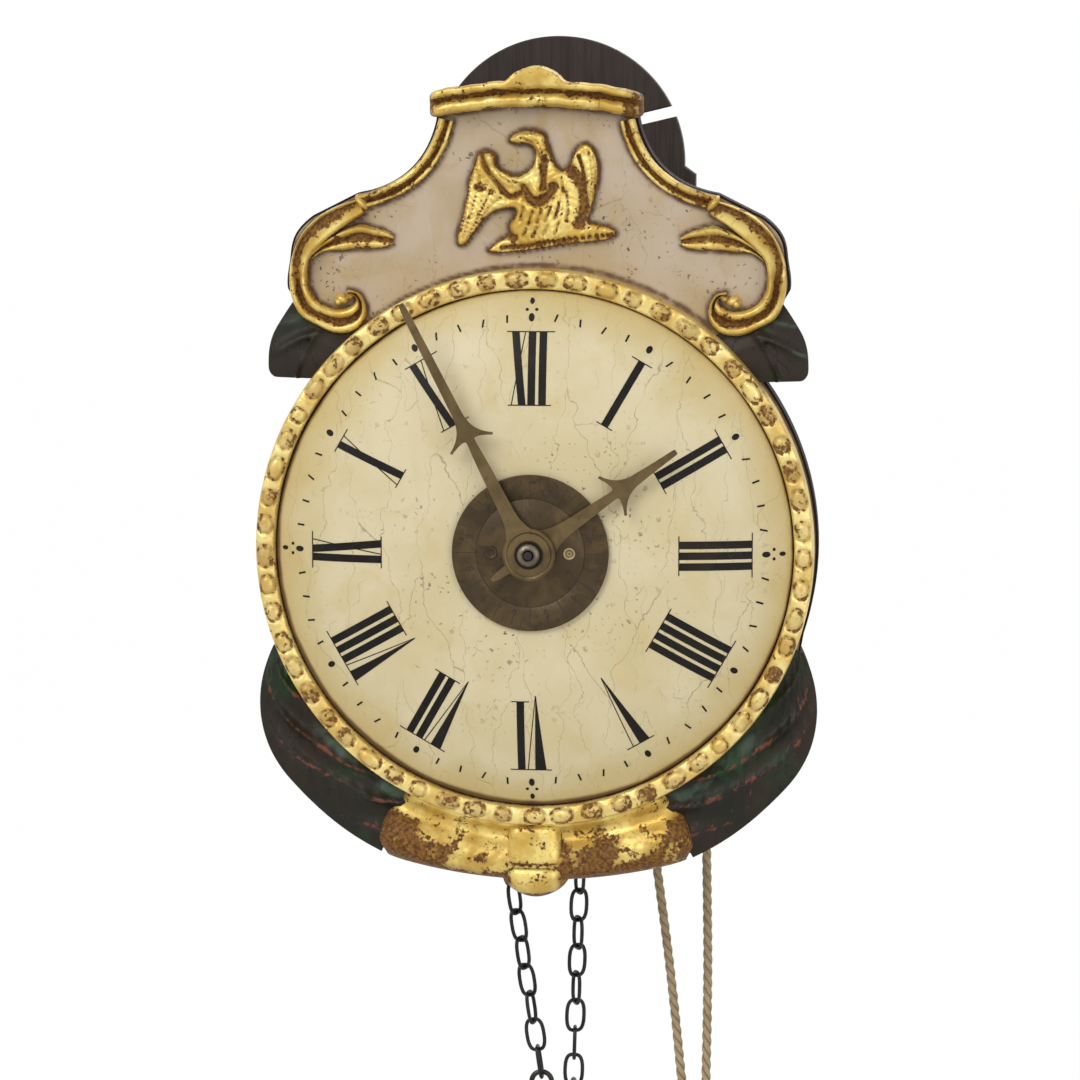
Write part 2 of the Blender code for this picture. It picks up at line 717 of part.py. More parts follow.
def build_eagle(seat_y):
    """A spread eagle in relief, welded from rounded masses and cut flat at the back."""
    masses = [
        (-0.120, 0.795, 0.170, 0.130, 0.00, 0.80),
        (-0.285, 0.760, 0.115, 0.060, 0.35, 0.62),
        (0.067, 0.541, 0.120, 0.280, 0.05, 0.80),
        (0.050, -0.070, 0.350, 0.360, 0.00, 1.00),
        (-0.320, 0.270, 0.290, 0.130, -0.25, 0.85),
        (-0.610, 0.480, 0.110, 0.170, -0.20, 0.85),
        (-0.780, 0.180, 0.140, 0.370, -0.20, 0.80),
        (-0.930, -0.320, 0.110, 0.290, -0.36, 0.62),
        (-0.650, -0.120, 0.125, 0.400, -0.58, 0.70),
        (0.330, 0.230, 0.200, 0.230, -0.30, 0.85),
        (0.493, 0.200, 0.120, 0.400, -0.10, 0.80),
        (0.667, 0.221, 0.115, 0.450, 0.05, 0.70),
        (-0.040, -0.365, 0.300, 0.180, 0.00, 0.90),
        (0.187, -0.530, 0.830, 0.090, 0.165, 0.60),
        (0.780, -0.440, 0.210, 0.090, 0.10, 0.62),
    ]
    centre_z = RING_R + EAGLE_RISE
    shapes = []
    for x, z, wide, high, turn, depth in masses:
        points = []
        faces = []
        rows, sides = 6, 10
        for k in range(rows + 1):
            tilt = math.pi * k / rows
            for i in range(sides):
                spin = 2 * math.pi * i / sides
                a = wide * math.sin(tilt) * math.cos(spin)
                b = high * math.sin(tilt) * math.sin(spin)
                spot_x = EAGLE_HALF_W * (x + a * math.cos(turn) - b * math.sin(turn))
                spot_z = centre_z + EAGLE_HALF_W * (z + a * math.sin(turn) + b * math.cos(turn))
                points.append((spot_x, seat_y - EAGLE_D * depth * math.cos(tilt), spot_z))
        for k in range(rows):
            for i in range(sides):
                j = (i + 1) % sides
                faces.append((k * sides + i, k * sides + j, (k + 1) * sides + j, (k + 1) * sides + i))
        shapes.append((points, faces))
    mesh = mesh_of("eagle", joined(*shapes))
    lump = bpy.data.objects.new("eagle_lump", mesh)
    bpy.context.scene.collection.objects.link(lump)
    weld = lump.modifiers.new("weld", "REMESH")
    weld.mode = "VOXEL"
    weld.voxel_size = EAGLE_VOXEL
    thin = lump.modifiers.new("thin", "DECIMATE")
    thin.ratio = 0.045
    graph = bpy.context.evaluated_depsgraph_get()
    mesh = bpy.data.meshes.new_from_object(lump.evaluated_get(graph))
    bpy.data.objects.remove(lump, do_unlink=True)
    work = bmesh.new()
    work.from_mesh(mesh)
    cut = bmesh.ops.bisect_plane(
        work,
        geom=work.verts[:] + work.edges[:] + work.faces[:],
        plane_co=(0.0, seat_y, 0.0),
        plane_no=(0.0, 1.0, 0.0),
        clear_outer=True,
    )
    edges = [e for e in cut["geom_cut"] if isinstance(e, bmesh.types.BMEdge)]
    bmesh.ops.holes_fill(work, edges=edges)
    bmesh.ops.recalc_face_normals(work, faces=work.faces)
    work.to_mesh(mesh)
    work.free()
    piece("eagle", mesh, "gilt")


# Case


def build_case():
    """The wooden frame, its plates and strips, the backboard and the side door."""
    rear = math.asin((SHOULDER_Z - ARCH_Z) / ARCH_R)
    mouth = math.asin(NOTCH_Z / ARCH_R)
    half_mouth = NOTCH_W / (2 * ARCH_R)
    tip = Vector(polar(ARCH_R, math.pi / 2 - mouth, 0.0, ARCH_Z))
    inward = Vector((-math.cos(NOTCH_SLOPE), -math.sin(NOTCH_SLOPE)))
    side = Vector((-inward[1], inward[0])) * (NOTCH_W / 2)
    floor = tip + inward * NOTCH_DEPTH
    bottom = FRAME_BOTTOM_Z - BOARD_T
    half = arc(ARCH_R, 0.0, math.pi / 2 - mouth - half_mouth * 1.15, 8, 0.0, ARCH_Z)
    half += [tuple(floor - side), tuple(floor + side)]
    half += arc(ARCH_R, math.pi / 2 - mouth + half_mouth * 1.15, math.pi / 2 - rear, 3, 0.0, ARCH_Z)
    half += [(FRAME_HALF_W, SHOULDER_Z), (FRAME_HALF_W, bottom)]
    outline = half + [(-x, z) for x, z in reversed(half[1:])]
    piece("backboard", prism(outline, [], 0.0, -BACKBOARD_T), "dark_wood")

    verge = (ALARM_X + VERGE_OFFSET_X, REAR_PLATE_Y - VERGE_OFFSET_Y)
    door_pin = (-FRAME_HALF_W + DOOR_T, FRAME_BACK_Y - DOOR_T)
    plan = box_outline(-FRAME_HALF_W, FRAME_FRONT_Y, FRAME_HALF_W, FRAME_BACK_Y)
    pin_hole = round_hole(*door_pin, DOOR_PIN_R + RUN, 8)
    holes = [round_hole(*verge, VERGE_R + RUN, 8), pin_hole]
    top = prism(plan, holes, FRAME_TOP_Z, FRAME_TOP_Z + BOARD_T, "XY")
    piece("top_board", top, "beech")

    chain_y = REAR_PLATE_Y - CHAIN_PLANE
    reach = GREAT_Z - FRAME_BOTTOM_Z
    slot = 0.9 * LINK_W
    way = 2.2 * ROPE_R
    left_x = TRAIN_X - CHAIN_R + reach * math.tan(LEFT_CHAIN_LEAN)
    right_x = TRAIN_X + CHAIN_R + reach * math.tan(RIGHT_CHAIN_LEAN)
    rope_x = ALARM_X - PULLEY_R + (ALARM_Z - FRAME_BOTTOM_Z) * math.tan(ROPE_LEAN)
    pendulum_y = FRAME_BACK_Y - 0.45 * PENDULUM_SPACE
    holes = [
        box_outline(left_x - slot, chain_y - slot, left_x + slot, chain_y + slot),
        box_outline(right_x - slot, chain_y - slot, right_x + slot, chain_y + slot),
        box_outline(rope_x - way, chain_y - way, rope_x + way, chain_y + way),
        pin_hole,
    ]
    rod_low = TRAIN_X - PENDULUM_SWING - ROD_W
    rod_high = TRAIN_X + PENDULUM_SWING + ROD_W
    half_gap = 0.40 * PENDULUM_SPACE
    holes.append(box_outline(rod_low, pendulum_y - half_gap, rod_high, pendulum_y + half_gap))
    low = prism(plan, holes, FRAME_BOTTOM_Z - BOARD_T, FRAME_BOTTOM_Z, "XY")
    piece("bottom_board", low, "beech")

    low_z = FRAME_BOTTOM_Z + SEAT
    high_z = FRAME_TOP_Z - SEAT
    centre = TRAIN_X / 2
    tall = box_outline(centre - PLATE_W / 2, low_z, centre + PLATE_W / 2, high_z)
    pivot = PIVOT_R + RUN
    rear_holes = [round_hole(TRAIN_X, z, pivot, 6) for z in (GREAT_Z, SECOND_Z, THIRD_Z, ESCAPE_Z)]
    rear_holes.append(round_hole(TRAIN_X, ANCHOR_Z, ARBOR_R + RUN, 6))
    piece("rear_plate", prism(tall, rear_holes, REAR_PLATE_BACK_Y, REAR_PLATE_Y), "beech")
    front_holes = [round_hole(TRAIN_X, z, pivot, 6) for z in (GREAT_Z, THIRD_Z, ESCAPE_Z, ANCHOR_Z)]
    front_holes.append(round_hole(TRAIN_X, SECOND_Z, ARBOR_R + RUN, 6))
    front_holes.append(round_hole(0.0, 0.0, CENTRE_STUD_R + SEAT, 8))
    front_holes.append(round_hole(0.0, MOTION_DISTANCE, CENTRE_STUD_R + SEAT, 8))
    piece("front_plate", prism(tall, front_holes, FRONT_PLATE_Y, FRONT_PLATE_FRONT_Y), "beech")

    strip = box_outline(ALARM_X - STRIP_W / 2, low_z, ALARM_X + STRIP_W / 2, high_z)
    hole = [round_hole(ALARM_X, ALARM_Z, pivot, 8)]
    piece("alarm_strip_front", prism(strip, hole, FRONT_PLATE_Y, FRONT_PLATE_FRONT_Y), "beech")
    rear_strip = prism(strip, hole, REAR_PLATE_BACK_Y, REAR_PLATE_Y)
    cock_half = 0.4 * STRIP_W
    cock_y = REAR_PLATE_Y + PLATE_T / 3
    cock = box_outline(ALARM_X - cock_half, REAR_PLATE_Y - COCK_D, ALARM_X + cock_half, cock_y)
    cock_z = ALARM_Z - CROWN_R - COCK_DROP
    hole = [round_hole(*verge, VERGE_R + RUN, 8)]
    cock = prism(cock, hole, cock_z - COCK_H, cock_z, "XY")
    piece("alarm_strip_rear", union("alarm_strip_rear", rear_strip, cock), "beech")

    build_door(door_pin)


def build_door(pin):
    """The left side door, turning on a pin at its top and bottom."""
    rear_y = pin[1] + DOOR_T / 2
    front_y = FRAME_FRONT_Y + SEAT
    panel = box_outline(pin[0] - DOOR_T / 2, front_y, pin[0] + DOOR_T / 2, rear_y)
    leaf = prism(panel, [], FRAME_BOTTOM_Z + SEAT, FRAME_TOP_Z - SEAT, "XY")
    low = FRAME_BOTTOM_Z - BOARD_T / 2
    high = FRAME_TOP_Z + BOARD_T / 2
    rod = lathe([(low, DOOR_PIN_R), (high, DOOR_PIN_R)], pin, even(8), axis="Z")
    piece("side_door", union("side_door", leaf, rod), "beech", (pin[0], pin[1], 0.0))


# Going train


def arbor_stations():
    """A turned arbor between the plates, with a pivot at each end."""
    rear_end = REAR_PLATE_BACK_Y - PLATE_T / 4
    front_end = FRONT_PLATE_FRONT_Y + PLATE_T / 4
    rear_shoulder = REAR_PLATE_Y - 2 * RUN
    front_shoulder = FRONT_PLATE_Y + 2 * RUN
    stations = [(rear_end, PIVOT_R), (rear_shoulder, PIVOT_R), (rear_shoulder, ARBOR_R)]
    return stations + [(front_shoulder, ARBOR_R), (front_shoulder, PIVOT_R), (front_end, PIVOT_R)]


def pinion(z, driver_r, driver_teeth, offset):
    """The leaves of one arbor's pinion, in the plane of the wheel that drives it."""
    pitch_r = driver_r * PINION_LEAVES / driver_teeth
    middle = REAR_PLATE_Y - offset - WHEEL_T / 2
    turn = math.pi + math.pi / PINION_LEAVES
    outline = gear_outline(TRAIN_X, z, pitch_r, PINION_LEAVES, turn, LEAF_TIP)
    hub = [round_hole(TRAIN_X, z, 0.6 * ARBOR_R, 6)]
    return prism(outline, hub, middle + PINION_LENGTH / 2, middle - PINION_LENGTH / 2)


def build_train():
    """The going train from the chain sprocket up to the escape wheel."""
    bore = ARBOR_R + SEAT
    up = 0.0

    def plane(offset):
        return REAR_PLATE_Y - offset

    shape = lathe(arbor_stations(), (TRAIN_X, GREAT_Z), even(8))
    piece("great_arbor", shape, "iron", (TRAIN_X, 0.0, GREAT_Z))
    low = plane(GREAT_PLANE)
    wheel("great_wheel", TRAIN_X, GREAT_Z, GREAT_R, GREAT_TEETH, up, low, 0.0, bore, 1.2 * SPOKE_W)
    build_sprocket(plane(CHAIN_PLANE), bore)

    stations = arbor_stations()[:3] + [(layer(1) + RUN, ARBOR_R)]
    staff = lathe(stations, (TRAIN_X, SECOND_Z), even(8))
    leaves = pinion(SECOND_Z, GREAT_R, GREAT_TEETH, GREAT_PLANE)
    shape = union("second_arbor", staff, leaves, drive_pinion())
    piece("second_arbor", shape, "iron", (TRAIN_X, 0.0, SECOND_Z))
    for name, z, driver_r, driver_teeth, offset in (
        ("third_arbor", THIRD_Z, SECOND_R, SECOND_TEETH, SECOND_PLANE),
        ("escape_arbor", ESCAPE_Z, THIRD_R, THIRD_TEETH, THIRD_PLANE),
    ):
        staff = lathe(arbor_stations(), (TRAIN_X, z), even(8))
        shape = union(name, staff, pinion(z, driver_r, driver_teeth, offset))
        piece(name, shape, "iron", (TRAIN_X, 0.0, z))

    low = plane(SECOND_PLANE)
    wheel("second_wheel", TRAIN_X, SECOND_Z, SECOND_R, SECOND_TEETH, up, low, 0.0, bore, SPOKE_W)
    low = plane(THIRD_PLANE)
    wheel("third_wheel", TRAIN_X, THIRD_Z, THIRD_R, THIRD_TEETH, up, low, 0.0, bore, SPOKE_W)

    outline = []
    for i in range(ESCAPE_TEETH):
        angle = 2 * math.pi * i / ESCAPE_TEETH
        outline.append(polar(ESCAPE_R, angle, TRAIN_X, ESCAPE_Z))
        outline.append(polar(0.78 * ESCAPE_R, angle + 0.045, TRAIN_X, ESCAPE_Z))
    holes = [round_hole(TRAIN_X, ESCAPE_Z, bore, 8)]
    shape = prism(outline, holes, plane(ESCAPE_PLANE), plane(ESCAPE_PLANE) - WHEEL_T)
    piece("escape_wheel", shape, "brass", (TRAIN_X, 0.0, ESCAPE_Z))
    build_escapement(plane(ESCAPE_PLANE))


def layer(number):
    """The back of one layer of the motion work, counted from the front plate."""
    return FRONT_PLATE_FRONT_Y - MOTION_STEP * (number + 0.45)


def toward_second():
    """The angle at which the second arbor lies from the dial's centre."""
    return math.atan2(TRAIN_X, SECOND_Z)


def drive_pinion():
    """The pinion in front of the front plate, on the end of the second arbor."""
    pitch_r = DRIVE_DISTANCE - MINUTE_WHEEL_R
    outline = gear_outline(TRAIN_X, SECOND_Z, pitch_r, DRIVE_LEAVES, toward_second() + math.pi, LEAF_TIP)
    hub = [round_hole(TRAIN_X, SECOND_Z, 0.6 * ARBOR_R, 6)]
    return prism(outline, hub, layer(0), layer(0) - MOTION_T)


def build_sprocket(middle_y, bore):
    """The grooved chain wheel: flat links ride on its shoulders, upright links in its groove."""
    seat_r = CHAIN_R * math.cos(math.pi / LINKS_ROUND)
    shoulder = seat_r - WIRE_R - SEAT
    groove = seat_r - LINK_W / 2 - SEAT
    rim = CHAIN_R + 3 * WIRE_R
    inner = LINK_W / 2 + SEAT + WIRE_R
    outer = inner + 2 * WIRE_R
    slot = WIRE_R + 2 * SEAT
    half = [(outer, bore), (outer, rim), (inner, rim), (inner, shoulder), (slot, shoulder), (slot, groove)]
    stations = [(middle_y + y, r) for y, r in half]
    stations += [(middle_y - y, r) for y, r in reversed(half)]
    bore_r = bore / math.cos(math.pi / 16)
    stations[0] = (stations[0][0], bore_r)
    stations[-1] = (stations[-1][0], bore_r)
    shape = lathe(stations, (TRAIN_X, GREAT_Z), even(16), hollow=True)
    piece("chain_sprocket", shape, "brass", (TRAIN_X, 0.0, GREAT_Z))


def build_escapement(wheel_y):
    """The anchor on its arbor, the crutch, and the pendulum on its stud."""
    axis = (TRAIN_X, 0.0, ANCHOR_Z)
    rear_end = REAR_PLATE_BACK_Y + 0.35 * PENDULUM_SPACE
    stations = [(rear_end, ARBOR_R)] + arbor_stations()[3:]
    staff = lathe(stations, (TRAIN_X, ANCHOR_Z), even(10))
    hub_hole = [round_hole(TRAIN_X, ANCHOR_Z, 0.6 * ARBOR_R, 6)]

    span = 0.80
    reach = ESCAPE_R + ANCHOR_CLEARANCE
    inner = [polar(reach, span * t, TRAIN_X, ESCAPE_Z) for t in (1.0, 0.55, 0.0, -0.55, -1.0)]
    hub = 2.4 * ARBOR_R
    outer = [
        polar(reach + PALLET_D, -span * 0.92, TRAIN_X, ESCAPE_Z),
        (TRAIN_X - hub, ANCHOR_Z),
        (TRAIN_X, ANCHOR_Z + hub),
        (TRAIN_X + hub, ANCHOR_Z),
        polar(reach + PALLET_D, span * 0.92, TRAIN_X, ESCAPE_Z),
    ]
    arms = prism(inner + outer, hub_hole, wheel_y + WHEEL_T / 2, wheel_y - 3 * WHEEL_T / 2)

    crutch_y = REAR_PLATE_BACK_Y + 0.12 * PENDULUM_SPACE
    foot = ANCHOR_Z - CRUTCH_LENGTH
    strip = [(TRAIN_X - ROD_W / 2, foot), (TRAIN_X + ROD_W / 2, foot)]
    strip += arc(2.2 * ARBOR_R, math.pi * 0.78, -math.pi * 0.78, 8, TRAIN_X, ANCHOR_Z)
    blade = prism(strip, hub_hole, crutch_y, crutch_y + ROD_T)
    rod_y = FRAME_BACK_Y - 0.30 * PENDULUM_SPACE
    gap = ROD_W / 2 + RUN
    wide = gap + FORK_WALL
    root_y = crutch_y + FORK_ROOT
    fork = [(-wide, crutch_y), (wide, crutch_y), (wide, rod_y), (gap, rod_y), (gap, root_y)]
    fork += [(-gap, root_y), (-gap, rod_y), (-wide, rod_y)]
    fork = [(TRAIN_X + x, y) for x, y in fork]
    prongs = prism(fork, [], foot - 0.4 * FORK_H, foot + 0.6 * FORK_H, "XY")
    piece("anchor", union("anchor", staff, arms, blade, prongs), "iron", axis)

    stud = [(FRAME_BACK_Y, STUD_R * 1.6), (FRAME_BACK_Y - 0.10 * PENDULUM_SPACE, STUD_R * 1.6)]
    stud += [(FRAME_BACK_Y - 0.10 * PENDULUM_SPACE, STUD_R), (FRAME_BACK_Y - 0.42 * PENDULUM_SPACE, STUD_R)]
    piece("suspension_stud", lathe(stud, (TRAIN_X, ANCHOR_Z), even(10)), "iron")

    eye = STUD_R + RUN
    bob_z = ANCHOR_Z - PENDULUM_LENGTH
    rod = [(TRAIN_X - ROD_W / 2, bob_z - 0.4 * BOB_R), (TRAIN_X + ROD_W / 2, bob_z - 0.4 * BOB_R)]
    rod += arc(eye + EYE_WALL, math.pi * 0.86, -math.pi * 0.86, 10, TRAIN_X, ANCHOR_Z)
    rod_front = rod_y - ROD_T
    shape = prism(rod, [round_hole(TRAIN_X, ANCHOR_Z, eye, 8)], rod_y, rod_front)
    piece("pendulum_rod", shape, "iron", axis)
    back = rod_front - SEAT
    lens = [(back, 0.55 * BOB_R), (back - 0.35 * BOB_T, BOB_R), (back - 0.65 * BOB_T, BOB_R)]
    lens.append((back - BOB_T, 0.55 * BOB_R))
    piece("pendulum_bob", lathe(lens, (TRAIN_X, bob_z), even(20)), "brass", axis)


# Motion work and hands


def hand_outline(length, barb_at, angle, x=0.0, z=0.0, pointer=0.0):
    """A hand with a round boss, a flared stem and two swept-back barbs."""
    side = [(0.0085, 0.0052), (0.0130, 0.0036), (0.0190, 0.0024), (barb_at - 0.0028, 0.0019)]
    side += [(barb_at - 0.0038, 0.0092), (barb_at - 0.0006, 0.0044), (barb_at + 0.0040, 0.0026)]
    side += [(length - 0.0020, 0.0010), (length, 0.0004)]
    right = [(w, s) for s, w in side]
    left = [(-w, s) for s, w in reversed(side)]
    start = math.atan2(-side[0][1], side[0][0])
    if pointer:
        low = arc(HAND_BOSS_R, start, -math.pi + 0.12, 5)
        low += [(-0.0006, -pointer), (0.0006, -pointer)]
        low += arc(HAND_BOSS_R, -math.pi - 0.12, -2 * math.pi - start, 5)
    else:
        low = arc(HAND_BOSS_R, start, -2 * math.pi - start, 12)
    flat = right + left + low
    cos, sin = math.cos(angle), math.sin(angle)
    return [(x + a * cos + b * sin, z - a * sin + b * cos) for a, b in flat]


def build_motion_work():
    """Minute wheel and pipe, intermediate wheel, hour wheel and pipe, hands and alarm disc."""
    base = FRONT_PLATE_FRONT_Y
    phase = toward_second() + math.pi / MINUTE_WHEEL_TEETH
    outline = gear_outline(0.0, 0.0, MINUTE_WHEEL_R, MINUTE_WHEEL_TEETH, phase, TOOTH_TIP)
    bore = [round_hole(0.0, 0.0, MINUTE_PIPE_R + SEAT, 10)]
    piece("minute_wheel", prism(outline, bore, layer(0), layer(0) - MOTION_T), "brass")

    tip_y = PANEL_Y - DIAL_CROWN_H
    disc_y = tip_y - 2 * SEAT - RUN
    hour_y = disc_y - HAND_STEP
    minute_y = hour_y - HAND_STEP
    collet_y = minute_y - SHEET_T - SEAT
    end_y = collet_y - COLLET_H - 0.0012

    stud = [(FRONT_PLATE_Y - SEAT, CENTRE_STUD_R), (end_y + 0.0010, CENTRE_STUD_R)]
    piece("centre_stud", lathe(stud, (0.0, 0.0), even(10)), "iron")

    minute_r = MOTION_MODULE * MINUTE_LEAVES / 2
    inner = (CENTRE_STUD_R + RUN) / math.cos(math.pi / 10)
    stations = [(base - RUN, inner), (base - RUN, MINUTE_PIPE_R)]
    stations += [(collet_y + SEAT, MINUTE_PIPE_R), (collet_y + SEAT, inner)]
    pipe = lathe(stations, (0.0, 0.0), even(10), hollow=True)
    hub = [round_hole(0.0, 0.0, (inner + MINUTE_PIPE_R) / 2, 8)]
    outline = gear_outline(0.0, 0.0, minute_r, MINUTE_LEAVES, 0.0, LEAF_TIP)
    leaves = prism(outline, hub, layer(1), layer(1) - MOTION_T)
    piece("minute_pipe", union("minute_pipe", pipe, leaves), "brass")

    over = MOTION_DISTANCE
    intermediate_r = MOTION_MODULE * INTERMEDIATE_TEETH / 2
    stud = [(FRONT_PLATE_Y - SEAT, CENTRE_STUD_R), (layer(3) - MOTION_T, CENTRE_STUD_R)]
    piece("intermediate_stud", lathe(stud, (0.0, over), even(10)), "iron")
    phase = math.pi + math.pi / INTERMEDIATE_TEETH
    outline = gear_outline(0.0, over, intermediate_r, INTERMEDIATE_TEETH, phase, TOOTH_TIP)
    leaf_r = MOTION_MODULE * INTERMEDIATE_LEAVES / 2
    rim = prism(outline, [round_hole(0.0, over, 0.6 * leaf_r, 8)], layer(1), layer(1) - MOTION_T)
    outline = gear_outline(0.0, over, leaf_r, INTERMEDIATE_LEAVES, math.pi, LEAF_TIP)
    bore = [round_hole(0.0, over, CENTRE_STUD_R + RUN, 8)]
    hub = prism(outline, bore, layer(1) + RUN, layer(2) - MOTION_T)
    piece("intermediate_wheel", union("intermediate_wheel", rim, hub), "brass", (0.0, 0.0, over))

    hour_r = MOTION_MODULE * HOUR_TEETH / 2
    outline = gear_outline(0.0, 0.0, hour_r, HOUR_TEETH, math.pi / HOUR_TEETH, TOOTH_TIP)
    bore = [round_hole(0.0, 0.0, HOUR_PIPE_R - PIPE_WALL / 2, 8)]
    rim = prism(outline, bore, layer(2), layer(2) - MOTION_T)
    inner = (HOUR_PIPE_R - PIPE_WALL) / math.cos(math.pi / 12)
    stations = [(layer(2) + RUN, inner), (layer(2) + RUN, HOUR_PIPE_R)]
    stations += [(hour_y - SHEET_T, HOUR_PIPE_R), (hour_y - SHEET_T, inner)]
    pipe = lathe(stations, (0.0, 0.0), even(12), hollow=True)
    piece("hour_wheel", union("hour_wheel", rim, pipe), "brass")

    pipe_bore = [round_hole(0.0, 0.0, HOUR_PIPE_R + SEAT, 12)]
    disc = [polar(ALARM_DISC_R, a) for a in even(40)]
    piece("alarm_disc", prism(disc, pipe_bore, disc_y, disc_y - SHEET_T), "brass")
    outline = hand_outline(HOUR_HAND_LENGTH, 0.0445, HOUR_HAND_ANGLE, pointer=POINTER_LENGTH)
    piece("hour_hand", prism(outline, pipe_bore, hour_y, hour_y - SHEET_T), "brass")
    outline = hand_outline(MINUTE_HAND_LENGTH, 0.0535, MINUTE_HAND_ANGLE)
    bore = [round_hole(0.0, 0.0, MINUTE_PIPE_R + SEAT, 12)]
    piece("minute_hand", prism(outline, bore, minute_y, minute_y - SHEET_T), "brass")

    inner = (CENTRE_STUD_R + RUN) / math.cos(math.pi / 16)
    stations = [(collet_y, inner), (collet_y, COLLET_R), (collet_y - 0.6 * COLLET_H, ARBOR_TIP_R)]
    stations += [(collet_y - COLLET_H, ARBOR_TIP_R), (collet_y - COLLET_H, inner)]
    piece("hand_collet", lathe(stations, (0.0, 0.0), even(16), hollow=True), "iron")


# Alarm work


def build_alarm():
    """Rope pulley and crown wheel on one arbor, the verge with its hammer, and the bell."""
    axis = (ALARM_X, 0.0, ALARM_Z)
    centre = (ALARM_X, ALARM_Z)
    piece("alarm_arbor", lathe(arbor_stations(), centre, even(8)), "iron", axis)

    middle = REAR_PLATE_Y - CHAIN_PLANE
    rim = PULLEY_R + PULLEY_FLANGE
    bed = PULLEY_R - ROPE_R - SEAT
    half = PULLEY_W / 2
    bore = (ARBOR_R + SEAT) / math.cos(math.pi / 18)
    stations = [(middle + half, bore), (middle + half, rim), (middle + 0.72 * half, rim)]
    stations += [(middle + 0.42 * half, bed), (middle - 0.42 * half, bed)]
    stations += [(middle - 0.72 * half, rim), (middle - half, rim), (middle - half, bore)]
    piece("rope_pulley", lathe(stations, centre, even(18), hollow=True), "beech", axis)

    face = REAR_PLATE_Y - CROWN_PLANE
    crest = face + CROWN_TOOTH_H
    bore = (ARBOR_R + SEAT) / math.cos(math.pi / CROWN_TEETH)
    count = 2 * CROWN_TEETH
    points = []
    for i in range(count):
        angle = 2 * math.pi * i / count
        tooth = crest if i % 2 == 0 else face
        rim = CROWN_R - CROWN_RIM
        for radius, y in ((bore, face), (rim, tooth), (CROWN_R, tooth), (CROWN_R, face - WHEEL_T)):
            x, z = polar(radius, angle, *centre)
            points.append((x, y, z))
        x, z = polar(bore, angle, *centre)
        points.append((x, face - WHEEL_T, z))
    faces = []
    for i in range(count):
        for k in range(5):
            a, b = i * 5, ((i + 1) % count) * 5
            faces.append((a + k, b + k, b + (k + 1) % 5, a + (k + 1) % 5))
    piece("crown_wheel", (points, faces), "brass", axis)

    verge_x = ALARM_X + VERGE_OFFSET_X
    verge_y = REAR_PLATE_Y - VERGE_OFFSET_Y
    hammer_z = FRAME_TOP_Z + BOARD_T + HAMMER_Z
    foot_z = ALARM_Z - CROWN_R - COCK_DROP - 0.9 * COCK_H
    fin = [VERGE_R] * 8
    fin[6] = PALLET_REACH
    stations = [(foot_z, VERGE_R)]
    for level in (ALARM_Z - CROWN_R, ALARM_Z + CROWN_R):
        low, high = level - PALLET_H / 2, level + PALLET_H / 2
        stations += [(low, VERGE_R), (low, fin), (high, fin), (high, VERGE_R)]
    stations.append((hammer_z + 1.3 * HAMMER_T, VERGE_R))
    staff = lathe(stations, (verge_x, verge_y), even(8), axis="Z")

    bell_y = middle
    head_x = BELL_X + BELL_R + HAMMER_GAP + HAMMER_HEAD_R
    arm = Vector((head_x - verge_x, bell_y - verge_y))
    turn = math.atan2(arm[0], arm[1])
    collar = 2.6 * VERGE_R
    outline = arc(collar, turn + 0.5, turn + 2 * math.pi - 0.5, 7, verge_x, verge_y)
    outline += arc(HAMMER_HEAD_R, turn - 2.6, turn + 2.6, 9, verge_x + arm[0], verge_y + arm[1])
    holes = [round_hole(verge_x, verge_y, 0.6 * VERGE_R, 6)]
    arm = prism(outline, holes, hammer_z, hammer_z + HAMMER_T, "XY")
    piece("verge_hammer", union("verge_hammer", staff, arm), "iron", (verge_x, verge_y, 0.0))

    base = FRAME_TOP_Z + BOARD_T + SEAT
    mouth = base + BELL_RISE
    crown = mouth + BELL_H
    bore = BELL_POST_R * 0.8 + SEAT
    outer = [(mouth, 1.0), (mouth + 0.30 * BELL_H, 0.91)]
    outer += [(mouth + 0.75 * BELL_H, 0.72), (crown, 0.26)]
    stations = [(z, BELL_R * r) for z, r in outer] + [(crown, bore)]
    stations.append((crown - BELL_WALL, bore))
    stations += [(z - BELL_WALL * (z > mouth), BELL_R * r - BELL_WALL) for z, r in reversed(outer)]
    piece("bell", lathe(stations, (BELL_X, bell_y), even(18), axis="Z", hollow=True), "bell_metal")
    under = crown - BELL_WALL - SEAT
    neck = 0.8 * BELL_POST_R
    collar = 1.7 * BELL_POST_R
    stations = [(base, 3 * BELL_POST_R), (base + BELL_POST_FOOT, 3 * BELL_POST_R)]
    stations += [(base + BELL_POST_FOOT, BELL_POST_R), (under - BELL_POST_SEAT, BELL_POST_R)]
    stations += [(under - BELL_POST_SEAT, collar), (under, collar), (under, neck), (crown + SEAT, neck)]
    stations += [(crown + SEAT, collar), (crown + SEAT + BELL_POST_FOOT, collar)]
    piece("bell_post", lathe(stations, (BELL_X, bell_y), even(10), axis="Z"), "iron")


# Chain and rope


